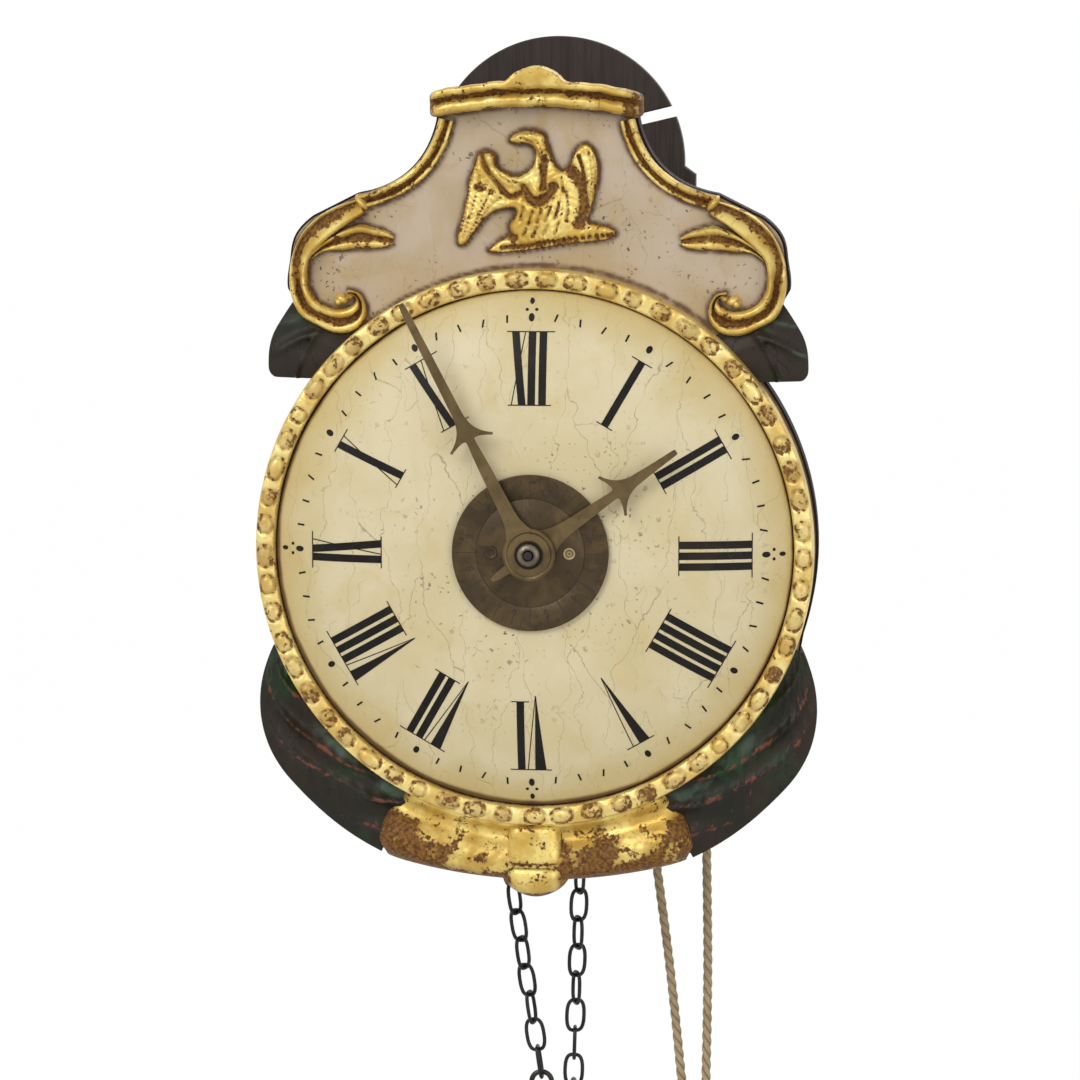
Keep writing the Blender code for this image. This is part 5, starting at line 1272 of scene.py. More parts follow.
@dataclass
class Dial:
    """The domed dial with its painted numerals and minute marks."""

    radius: float = 0.1033
    bore_r: float = 0.0076
    edge_h: float = 0.0095
    rise: float = 0.0160
    inner_r: float = 0.0590
    outer_r: float = 0.0875
    proud: float = 0.00012
    bar: float = 0.0030
    step: float = 0.00430

    def surface(self, radius: np.ndarray) -> np.ndarray:
        """Gives where the dome lies at a radius."""
        return PANEL_Y - self.edge_h - self.rise * (1 - (radius / self.radius) ** 4)

    def slab(self, corners: Sequence[Point2], degrees: float, steps: int = 8) -> Shell:
        """Lays a four-sided stroke of paint on the dome.

        Args:
            corners: Inner left, inner right, outer right and outer left, as distance to the right and radius.
            degrees: The hour's angle.
            steps: Spans along the stroke.

        Returns:
            The stroke.
        """
        turn = math.radians(degrees)
        share = np.linspace(0.0, 1.0, steps + 1)[:, None]
        c = np.array(corners)
        left = c[0] + (c[3] - c[0]) * share
        right = c[1] + (c[2] - c[1]) * share
        rings = []
        for lift in (self.proud, -0.0001):
            for line in (left, right):
                x = line[:, 1] * math.sin(turn) + line[:, 0] * math.cos(turn)
                z = line[:, 1] * math.cos(turn) - line[:, 0] * math.sin(turn)
                rings.append(np.column_stack([x, self.surface(np.hypot(x, z)) - lift, z]))
        return loft(np.stack([rings[0], rings[1], rings[3], rings[2]], axis=1))

    def stroke(self, feet: float, head: float, thin: float, thick: float, degrees: float,
               low: float | None = None) -> Shell:
        """Lays one upright or slanted stroke of a numeral.

        Args:
            feet: Its middle at the inner end.
            head: Its middle at the outer end.
            thin: Its width at the inner end.
            thick: Its width at the outer end.
            degrees: The hour's angle.
            low: Radius of the inner end, where it isn't the usual one.

        Returns:
            The stroke.
        """
        foot = self.inner_r if low is None else low
        corners = [(feet - thin / 2, foot), (feet + thin / 2, foot)]
        corners += [(head + thick / 2, self.outer_r), (head - thick / 2, self.outer_r)]
        return self.slab(corners, degrees)

    def numeral(self, letters: str, degrees: float) -> list[Shell]:
        """Paints one hour's numeral with its serif lines.

        Args:
            letters: The numeral in I, V and X.
            degrees: The hour's angle.

        Returns:
            Its strokes.
        """
        room = {"I": self.step, "V": 0.0074, "X": 0.0056}
        left = -sum(room[c] for c in letters) / 2
        start = left
        strokes = []
        footed = []
        for letter in letters:
            middle = left + room[letter] / 2
            footed += [] if letter == "V" else [left, left + room[letter]]
            left += room[letter]
            if letter == "I":
                strokes.append(self.stroke(middle, middle, self.bar, self.bar, degrees))
            elif letter == "V":
                strokes.append(self.stroke(middle - 0.0003, middle - 0.0018, 0.0002, 0.0045, degrees, 0.0565))
                strokes.append(self.stroke(middle - 0.0002, middle + 0.0033, 0.0003, 0.0004, degrees, 0.0565))
            else:
                strokes.append(self.stroke(middle + 0.0013, middle - 0.0017, self.bar, self.bar, degrees))
                strokes.append(self.stroke(middle - 0.0029, middle + 0.0022, 0.0004, 0.0004, degrees))
        serifs = [(self.outer_r, start - 0.0024, 0.0024 - start)]
        if footed:
            serifs.append((self.inner_r, min(footed) - 0.0014, max(footed) + 0.0014))
        for radius, low, high in serifs:
            inside, outside = radius - 0.0002, radius + 0.0002
            corners = [(low, inside), (low, outside), (high, outside), (high, inside)]
            strokes.append(self.slab(corners, degrees, 12))
        return strokes

    def mark(self, degrees: float, radius: float, high: float, wide: float, slant: float = 0.0) -> Shell:
        """Paints a lozenge or a tick.

        Args:
            degrees: Its angle.
            radius: Its distance from the centre.
            high: Its length along the radius.
            wide: Its width.
            slant: How far its outer end leans to the right.

        Returns:
            The mark.
        """
        corners = [(-slant - wide / 2, radius - high / 2), (-slant + wide / 2, radius - high / 2)]
        corners += [(slant + wide / 2, radius + high / 2), (slant - wide / 2, radius + high / 2)]
        return self.slab(corners, degrees, 3)

    def spot(self, degrees: float, radius: float, high: float, wide: float, aside: float = 0.0) -> Shell:
        """Paints a round dot as a closed ring of points, drawn out along the radius.

        Args:
            degrees: Its angle.
            radius: Its distance from the centre.
            high: Its length along the radius.
            wide: Its width.
            aside: How far it stands to the right.

        Returns:
            The dot.
        """
        turn = math.radians(degrees)
        spin = np.linspace(0.0, 2 * math.pi, 14, endpoint=False)
        a = aside + wide / 2 * np.cos(spin)
        r = radius + high / 2 * np.sin(spin)
        x = r * math.sin(turn) + a * math.cos(turn)
        z = r * math.cos(turn) - a * math.sin(turn)
        y = self.surface(np.hypot(x, z))
        rows = [np.column_stack([x, y - lift, z]) for lift in (self.proud, -0.0001)]
        return loft(np.stack(rows))

    def marks(self) -> list[Shell]:
        """Paints the minute track.

        Returns:
            Its dots and ticks.
        """
        made = []
        for minute in range(60):
            angle = 6.0 * minute
            if minute % 15 == 0:
                made += [self.spot(angle, 0.0930, 0.0033, 0.0023), self.spot(angle, 0.0993, 0.0025, 0.0018)]
                made += [self.spot(angle, 0.0960, 0.0012, 0.0013, s * 0.0019) for s in (-1, 1)]
            elif minute % 5 == 0:
                made.append(self.spot(angle, 0.0930, 0.0031, 0.0024))
            else:
                slant = 0.00040 * math.sin(2.4 * minute) + 0.00015
                made.append(self.mark(angle, 0.0928 + 0.0004 * math.sin(1.7 * minute), 0.0029, 0.00074, slant))
        return made

    def build(self) -> None:
        """Makes the dome, then paints the numerals and marks on it."""
        radii = np.concatenate([np.linspace(self.bore_r, 0.045, 8), np.linspace(0.050, self.radius - 0.0006, 22)])
        stations = [(SEAT_Y, self.bore_r)] + [(float(self.surface(r)), float(r)) for r in radii]
        stations += [(float(self.surface(np.float64(self.radius))) + 0.0006, self.radius), (SEAT_Y, self.radius)]
        dome = turned(stations, 144)
        dome.points = dome.points + DIAL_SHIFT
        settle(piece("dial_dome", dome, [DIAL], 50.0), Body.FRAME, Slot.DIAL, "dial")
        hours = ("XII", "I", "II", "III", "IIII", "V", "VI", "VII", "VIII", "IX", "X", "XI")
        strokes = [s for i, letters in enumerate(hours) for s in self.numeral(letters, 30.0 * i)]
        painted = joined(*strokes, *self.marks())
        painted.points = painted.points + DIAL_SHIFT
        paint = piece("dial_numerals", painted, [NUMERAL], 30.0)
        settle(paint, Body.FRAME, Slot.DIAL)


@dataclass
class Bezel:
    """The gilt ring round the dial, carved with a row of flat beads."""

    height: float = 0.0142
    beads: int = 57
    per_bead: int = 18

    def build(self) -> None:
        """Makes the ring with its beads and the grooves round them."""
        count = self.beads * self.per_bead
        width = RING_R - RING_INNER_R
        top = np.linspace(0.10, 0.92, 15)
        crown = 0.80 + 0.08 * np.sin(np.pi * (top - 0.05))
        profile = [(0.0, 0.0), (0.0, 0.60), (0.03, 0.72), *zip(top, crown), (0.97, 0.76), (1.0, 0.66), (1.0, 0.0)]
        shape = np.array(profile)
        turn = np.arange(count) * 2 * math.pi / count
        which = np.floor(np.arange(count) / self.per_bead)
        local = (np.arange(count) % self.per_bead + 0.5) / self.per_bead - 0.5
        local = local + 0.05 * np.sin(which * 2.3)
        along = local * math.pi * (RING_R + RING_INNER_R) / self.beads
        over = (shape[:, 0] - 0.50) * width
        size = 0.0036 + 0.00050 * np.sin(which * 1.7) + 0.00035 * np.sin(which * 4.1)
        q = (np.abs(along)[:, None] / size[:, None]) ** 2.5 + (np.abs(over)[None, :] / 0.0028) ** 2.5
        raised = np.clip(1 - q, 0.0, 1.0) ** 0.45
        moat = np.exp(-((q - 1.25) / 0.55) ** 2)
        on_top = ((shape[:, 0] > 0.06) & (shape[:, 0] < 0.96)).astype(float)[None, :]
        lift = shape[None, :, 1] * self.height + on_top * (raised * 0.0008 - moat * 0.0006)
        radius = (RING_INNER_R + shape[:, 0] * width)[None, :]
        rings = np.stack([radius * np.sin(turn)[:, None], SEAT_Y - lift, radius * np.cos(turn)[:, None]], axis=-1)
        rub = 0.58 + 0.30 * np.sin(which * 5.3) + 0.25 * np.sin(which * 2.9)
        inside = np.clip(raised, 0, 1) * np.clip(rub, 0.0, 1.0)[:, None]
        patch = 0.62 + 0.38 * np.sin(turn * 83.0)[:, None] * np.sin(over * 1900.0 + 1.3)[None, :]
        # groove mask: brown grooves round the beads, partly real bole and partly painted shade, and rubbed bead tops
        groove = np.clip(moat * patch * 0.95 + inside * 0.58, 0.0, 1.0) * on_top
        # painted shadow on the ring's inner wall
        groove = groove + (shape[None, :, 0] < 0.02) * 0.9
        shell = loft(rings + DIAL_SHIFT, {Mask.GROOVE: np.clip(groove, 0.0, 1.0)}, looped=True)
        settle(piece("beaded_ring", shell, [GILT_RING], 60.0), Body.FRAME, Slot.GILT, "bezel_ring")


@dataclass
class Cornice:
    """The arched crest moulding with its knob."""

    half_w: float = 0.0424
    high: float = 0.0105
    deep: float = 0.0120
    arch: float = 0.0048
    knob_h: float = 0.0056
    knob_half_w: float = 0.0112

    def build(self) -> None:
        """Makes the crest from its run of sections: a low roll, a cove browned as painted shade and an upper roll."""
        # third value: how brown; the cove and the feet are browned as painted shade
        profile = [(0.0, 0.0, 0.6), (0.44, 0.0, 0.9), (0.58, 0.03, 0.4), (0.71, 0.10, 0.0), (0.78, 0.19, 0.0)]
        profile += [(0.79, 0.28, 0.0), (0.75, 0.38, 0.05), (0.67, 0.46, 0.3), (0.58, 0.53, 0.8), (0.55, 0.58, 1.0)]
        profile += [(0.58, 0.63, 1.0), (0.68, 0.68, 0.6), (0.87, 0.72, 0.15), (0.97, 0.77, 0.0), (1.0, 0.83, 0.0)]
        profile += [(1.0, 0.90, 0.0), (0.94, 0.965, 0.05), (0.82, 1.0, 0.2)]
        shape = np.array(profile + [(0.0, 1.0, 0.6)])
        t = np.sin(np.linspace(-math.pi / 2, math.pi / 2, 101))
        x = self.half_w * t
        past = np.clip((np.abs(t) - 0.90) / 0.10, 0.0, 1.0)
        end = np.sqrt(np.clip(1 - past ** 2, 0.02, 1.0))
        hump = np.clip(1 - (x / self.knob_half_w) ** 2, 0.0, 1.0)
        tip = ease(shape[:, 1], 0.70, 0.98)
        wave = 0.00018 * np.sin(310 * x) + 0.00014 * np.sin(730 * x + 1.0)
        z = CORNICE_FOOT_Z + (self.arch * (1 - t ** 2) + wave)[:, None]
        z = z + self.high * (0.5 + (shape[None, :, 1] - 0.5) * (0.50 + 0.50 * end)[:, None])
        z = z + (hump ** 0.9 * self.knob_h)[:, None] * tip
        swell = 1.0 + 0.10 * hump
        depth = shape[None, :, 0] * self.deep * end[:, None] * np.where(tip > 0.3, swell[:, None], 1.0)
        rings = np.stack([np.repeat(x[:, None], len(shape), 1), SEAT_Y - np.minimum(depth, self.deep), z], axis=-1)
        ragged = 0.78 + 0.22 * np.sin(420 * x) * np.sin(170 * x + 1.0)
        # the profile's painted shade, broken up, and painted shadow on the rounded ends
        brown = np.clip(shape[None, :, 2] * ragged[:, None] + 0.9 * past[:, None] ** 2, 0.0, 1.0)
        # browner near the right end
        brown = brown + 0.5 * np.exp(-((x - 0.0385) / 0.0030) ** 2)[:, None]
        shell = loft(rings, {Mask.GROOVE: np.clip(brown, 0.0, 1.0)})
        settle(piece("crest_moulding", shell, [GILT], 50.0, carved=1.2), Body.FRAME, Slot.GILT, "crest_cornice")


@dataclass
class Flank:
    """The double bead along each concave flank of the shield."""

    width: float = 0.0062
    height: float = 0.0045
    outward: float = 0.0010

    def build(self) -> None:
        """Makes the right bead and its mirror."""
        # third value: how brown; the groove between the beads and their feet are browned as painted shade
        section = [(-0.50, 0.0, 0.8), (-0.48, 0.34, 0.5), (-0.43, 0.54, 0.1), (-0.34, 0.62, 0.0), (-0.25, 0.56, 0.2)]
        section += [(-0.17, 0.36, 0.8), (-0.10, 0.24, 1.0), (-0.03, 0.30, 1.0), (0.04, 0.54, 0.7), (0.12, 0.82, 0.1)]
        section += [(0.22, 0.97, 0.0), (0.31, 1.0, 0.0), (0.40, 0.88, 0.0), (0.47, 0.58, 0.2), (0.50, 0.0, 0.6)]
        path = Shield().flank(self.outward, 48)
        count = len(path)
        shell = band(path, np.full(count, self.width), np.full(count, self.height), section)
        # browner towards the lower end
        foot = np.repeat(ease(np.linspace(0.0, 1.0, count), 0.55, 0.90), len(section))
        shell.masks[Mask.GROOVE] = np.clip(shell.masks[Mask.GROOVE] + 0.42 * foot, 0.0, 1.0)
        for label, form in (("right", shell), ("left", shell.mirrored())):
            obj = piece("flank_bead_" + label, form, [GILT], 60.0, carved=0.8)
            settle(obj, Body.FRAME, Slot.GILT, "flank_moulding_" + label)


@dataclass
class Scroll:
    """The acanthus scroll on each lobe: leaf, grooved band, outer rim, spiral and eye."""

    width: float = 0.0088
    height: float = 0.0070
    lumps: tuple[tuple[float, ...], ...] = (
        (0.02, -0.19, 0.0029, 0.0021, 0.45, 0.0046),
        (0.10, -0.26, 0.0020, 0.0019, 0.00, 0.0040),
        (-0.18, -0.13, 0.0019, 0.0014, -0.50, 0.0036),
        (-0.43, 1.99, 0.0019, 0.0037, -0.62, 0.0058),
    )

    def route(self, steps: int) -> np.ndarray:
        """Gives the solid's line from the leaf tip to the eye.

        Args:
            steps: Spans between two of its points.

        Returns:
            Rows of x, z and width on the right side.
        """
        return self.line([
            (-1.100, 1.160, 0.20), (-0.500, 1.360, 0.62), (0.159, 1.550, 1.00), (0.773, 1.165, 0.95),
            (0.955, 0.614, 0.78), (1.000, 0.000, 0.74), (0.602, -0.432, 0.74), (0.000, -0.568, 0.72),
            (-0.443, -0.318, 0.60), (-0.500, 0.114, 0.50), (-0.182, 0.284, 0.40), (0.000, 0.057, 0.36),
        ], steps)

    def line(self, spots: Sequence[tuple[float, float, float]], steps: int) -> np.ndarray:
        """Draws a smooth line from shares of the lobe's radius.

        Args:
            spots: Place about the eye and share of the full width.
            steps: Spans between two of them.

        Returns:
            Rows of x, z and width.
        """
        rows = [(EYE[0] + LOBE_R * x, EYE[1] + LOBE_R * z, w * self.width) for x, z, w in spots]
        return smooth_line(rows, steps)

    def rails(self, steps: int) -> tuple[np.ndarray, np.ndarray]:
        """Draws both edges of the grooved band from the flank's foot to the curl.

        Args:
            steps: Spans between two of their points.

        Returns:
            The inner and the outer edge on the right side.
        """
        spots = [
            (-0.509, 1.730, -0.353, 2.060), (-0.068, 1.444, 0.114, 1.910), (0.348, 1.106, 0.556, 1.670),
            (0.686, 0.769, 0.925, 1.290), (0.777, 0.509, 1.150, 0.800), (0.777, 0.223, 1.225, 0.330),
            (0.712, -0.036, 1.190, -0.120), (0.530, -0.270, 1.000, -0.560), (0.244, -0.400, 0.620, -0.800),
            (-0.042, -0.400, 0.190, -0.980), (-0.249, -0.296, -0.230, -0.930), (-0.314, -0.166, -0.480, -0.700),
            (-0.249, -0.088, -0.530, -0.374), (-0.171, -0.114, -0.379, -0.062), (-0.120, -0.166, -0.120, 0.016),
        ]
        line = smooth_line(spots, steps) * LOBE_R
        edges = [EYE + line[:, :2], EYE + line[:, 2:]]
        away = [np.maximum(1.0, (RING_R + 0.0004) / np.hypot(e[:, 0], e[:, 1]))[:, None] for e in edges]
        return edges[0] * away[0], edges[1] * away[1]

    def leaf_rails(self, steps: int) -> tuple[np.ndarray, np.ndarray]:
        """Draws both edges of the leaf that turns in over the panel.

        Args:
            steps: Spans between two of their points.

        Returns:
            The lower and the upper edge on the right side.
        """
        spots = [
            (-1.150, 1.030, -1.165, 1.230), (-0.945, 0.965, -0.951, 1.365), (-0.691, 0.938, -0.691, 1.444),
            (-0.379, 0.925, -0.431, 1.510), (-0.068, 0.899, -0.171, 1.440), (0.218, 0.890, 0.114, 1.300),
            (0.478, 0.850, 0.452, 1.060), (0.712, 0.691, 0.686, 0.840),
        ]
        line = smooth_line(spots, steps) * LOBE_R
        return EYE + line[:, :2], EYE + line[:, 2:]

    def build(self) -> None:
        """Makes the right scroll and its mirror."""
        # third values: how brown; the hollow of the band and its feet are browned as painted shade
        crest = [(0.0, 0.0, 0.9), (0.02, 0.40, 0.5), (0.06, 0.76, 0.1), (0.12, 0.96, 0.0), (0.18, 1.0, 0.0), (0.27, 0.90, 0.0),
                 (0.38, 0.76, 0.15), (0.50, 0.62, 0.40), (0.62, 0.48, 0.75), (0.72, 0.36, 1.0), (0.80, 0.33, 0.9),
                 (0.86, 0.46, 0.3), (0.92, 0.56, 0.0), (0.97, 0.44, 0.1), (1.0, 0.0, 0.6)]
        curl = [(0.0, 0.0, 0.9), (0.03, 0.48, 0.5), (0.09, 0.82, 0.1), (0.18, 0.98, 0.0), (0.26, 1.0, 0.0), (0.35, 0.84, 0.2),
                (0.43, 0.50, 0.8), (0.50, 0.32, 1.0), (0.57, 0.32, 1.0), (0.64, 0.58, 0.6), (0.73, 0.84, 0.1), (0.81, 0.90, 0.0),
                (0.90, 0.80, 0.0), (0.97, 0.48, 0.2), (1.0, 0.0, 0.7)]
        inner, outer = self.rails(9)
        along = np.linspace(0.0, 14.0, len(inner))
        high = self.height * (1.0 - 0.32 * ease(along, 4.0, 9.0)) * (0.72 + 0.28 * ease(along, 0.0, 1.2))
        parts = [railed(inner, outer, high, (crest, curl), ease(along, 3.6, 5.8))]
        # third values brown the leaf's hollow and its feet as painted shade
        folded = [(0.0, 0.0, 0.8), (0.05, 0.36, 0.4), (0.14, 0.54, 0.1), (0.26, 0.52, 0.15), (0.36, 0.36, 0.6), (0.44, 0.24, 1.0),
                  (0.54, 0.22, 1.0), (0.61, 0.42, 0.7), (0.69, 0.78, 0.1), (0.79, 0.98, 0.0), (0.87, 1.0, 0.0), (0.94, 0.70, 0.1),
                  (1.0, 0.0, 0.7)]
        low, top = self.leaf_rails(9)
        along = np.linspace(0.0, 7.0, len(low))
        rise = 0.0048 * (0.50 + 0.50 * ease(along, 0.0, 1.6))
        parts.append(railed(low, top, rise, (folded, folded), np.zeros(len(low))))
        for x, z, wide, high, turn, deep in self.lumps:
            spot = (EYE[0] + x * LOBE_R, SEAT_Y, EYE[1] + z * LOBE_R)
            parts.append(ellipsoid(spot, (wide, deep, high), turn))
        shell = joined(*parts)
        for label, form in (("right", shell), ("left", shell.mirrored())):
            obj = piece("acanthus_" + label, form, [GILT], 60.0, carved=0.8)
            settle(obj, Body.FRAME, Slot.GILT, "scroll_" + label)


@dataclass
class Leaves:
    """The dark leaves that stand out of the ring, two above and two below."""

    upper_h: float = 0.0060
    lower_h: float = 0.0090
    rows: int = 72
    columns: int = 30
    tuck: float = 0.0016
    upper_angles: Point2 = (40.1, 53.0)
    lower_angles: Point2 = (111.5, 153.35)

    def upper_edge(self) -> np.ndarray:
        """Draws the upper leaf's outer edge from under the scroll to its lower corner.

        Returns:
            Its evenly spread points on the right side.
        """
        line = smooth_line([
            (0.0945, 0.0998), (0.0972, 0.0976), (0.1016, 0.0912), (0.1056, 0.0844), (0.1074, 0.0786),
            (0.1079, 0.0725), (0.1076, 0.0690), (0.1058, 0.0668), (0.1035, 0.0664),
        ], 12)
        along = np.concatenate([[0.0], np.cumsum(np.hypot(*np.diff(line, axis=0).T))])
        spread = np.linspace(0.0, along[-1], self.rows)
        return np.column_stack([np.interp(spread, along, line[:, 0]), np.interp(spread, along, line[:, 1])])

    @staticmethod
    def lower_reach(angle: float) -> float:
        """Gives how far the lower foliage stands out of the ring at an angle in degrees."""
        t = min((angle - 110.0) / 24.0, 1.0)
        return 0.0278 * (1 - (1 - t) ** 2) + 0.0016 * float(ease(angle, 130.0, 150.0))

    def shares(self) -> tuple[np.ndarray, np.ndarray]:
        """Gives the shares along and across a leaf."""
        return np.linspace(0.0, 1.0, self.rows)[:, None], np.linspace(0.0, 1.0, self.columns)[None, :]

    def lower_veins(self) -> tuple[np.ndarray, np.ndarray]:
        """Gives the foliage's long ridges and the small ones between them.

        Returns:
            Both as heights from 0 to 1.
        """
        u, v = self.shares()
        wander = 0.10 * np.sin(7 * v + 6 * u) + 0.05 * np.sin(23 * u + 9 * v)
        phase = 4.0 * (v * 0.70 + u * 0.80 + 0.06 * np.sin(5 * u)) + 0.3 + wander
        small = 1 - np.abs(np.sin(np.pi * (7.8 * (u * 1.3 - v * 0.55) + 0.4)))
        return 1 - np.abs(np.sin(np.pi * phase)), small

    def upper_veins(self) -> tuple[np.ndarray, np.ndarray]:
        """Gives the upper leaf's middle rib with two branches, and faint lines between them.

        Returns:
            Both as heights from 0 to 1.
        """
        u, v = self.shares()
        size = np.array((40.0, 25.0))
        spots = np.stack(np.broadcast_arrays(u, v), axis=-1).reshape(-1, 2) * size
        ribs = (([(0.05, 0.52), (0.40, 0.44), (0.75, 0.44), (1.0, 0.50)], 1.1),
                ([(0.30, 0.46), (0.45, 0.62), (0.62, 0.82), (0.70, 1.02)], 2.1),
                ([(0.02, 0.60), (0.18, 0.72), (0.30, 0.86), (0.38, 1.02)], 2.6))
        ridge = np.zeros(len(spots))
        for line, wide in ribs:
            ridge = np.maximum(ridge, np.exp(-(nearness(spots, smooth_line(line, 12) * size) / wide) ** 2))
        small = 1 - np.abs(np.sin(np.pi * (2.1 * v + 1.2 * u + 0.35 * np.sin(5 * u + 7 * v))))
        return ridge.reshape(self.rows, self.columns), 0.7 * small

    def blade(self, inner: np.ndarray, outer: np.ndarray, height: float, veins: tuple[np.ndarray, np.ndarray],
              rise: Point2, red: float) -> Shell:
        """Carves one leaf between its edge at the ring and its outer edge.

        Args:
            inner: The edge tucked under the ring, in x and z.
            outer: The outer edge, with as many points.
            height: Its height over the panel.
            veins: The long ridges and the small ones.
            rise: Shares of its length between which it rises to its height.
            red: Share of the veins that is rubbed red, the rest being a pale painted highlight.

        Returns:
            The leaf on the right side, with its veins as the edge mask and its painted sheen as the groove mask.
        """
        u, v = self.shares()
        ridge, small = veins
        spot = inner[:, None] * (1 - v[..., None]) + outer[:, None] * v[..., None]
        x, z = spot[..., 0], spot[..., 1]
        swell = 0.50 + 0.50 * np.sin(np.pi * np.minimum(1.0, 0.25 + 0.75 * v)) - 0.25 * v
        close = np.sin(np.pi * np.clip(0.06 + 0.94 * v, 0.0, 1.0))
        carve = 0.42 * ridge ** 1.3 * (0.75 + 0.25 * np.sin(11 * u - 5 * v)) + 0.10 * small ** 2
        lift = height * (swell * (0.70 + 0.06 * np.cos(9 * u)) + carve * close - 0.08 * close)
        lift = lift * (0.12 + 0.88 * ease(u, *rise))
        front = np.stack([x, SEAT_Y - lift, z], axis=-1)
        back = np.stack([x, np.full_like(x, SEAT_Y), z], axis=-1)[:, [-1, 0]]
        bare = np.zeros((self.rows, 2))
        vein = np.concatenate([red * np.maximum(ridge ** 3, 0.60 * small ** 4) * close ** 0.5, bare], axis=1)
        # painted sheen near the ring on the lower foliage, and a painted highlight along the upper leaf's rib
        sheen = red * np.exp(-((v - 0.20) / 0.15) ** 2) * ease(u, 0.15, 0.55) * (1 - ridge) ** 0.5
        sheen = sheen + (1 - red) * ridge ** 2
        masks = {Mask.EDGE: vein, Mask.GROOVE: np.concatenate([sheen, bare], axis=1)}
        return loft(np.concatenate([front, back], axis=1), masks)

    def build(self) -> None:
        """Makes the four leaves."""
        tucked = RING_R - self.tuck
        foot = np.array([polar(tucked, a) for a in np.linspace(*self.upper_angles, self.rows)])
        upper = self.blade(foot, self.upper_edge(), self.upper_h, self.upper_veins(), (0.10, 0.42), 0.2)
        turns = np.linspace(*self.lower_angles, self.rows)
        foot = np.array([polar(tucked, a) for a in turns])
        edge = np.array([polar(RING_R + self.lower_reach(float(a)), a) for a in turns])
        lower = self.blade(foot, edge, self.lower_h, self.lower_veins(), (0.0, 0.16), 1.0)
        for name, node, shell in (("upper_leaf", "side_leaf", upper), ("lower_foliage", "foliage", lower)):
            for label, form in (("right", shell), ("left", shell.mirrored())):
                obj = piece(f"{name}_{label}", form, [LEAF], 60.0)
                settle(obj, Body.FRAME, Slot.LEAF, f"{node}_{label}")


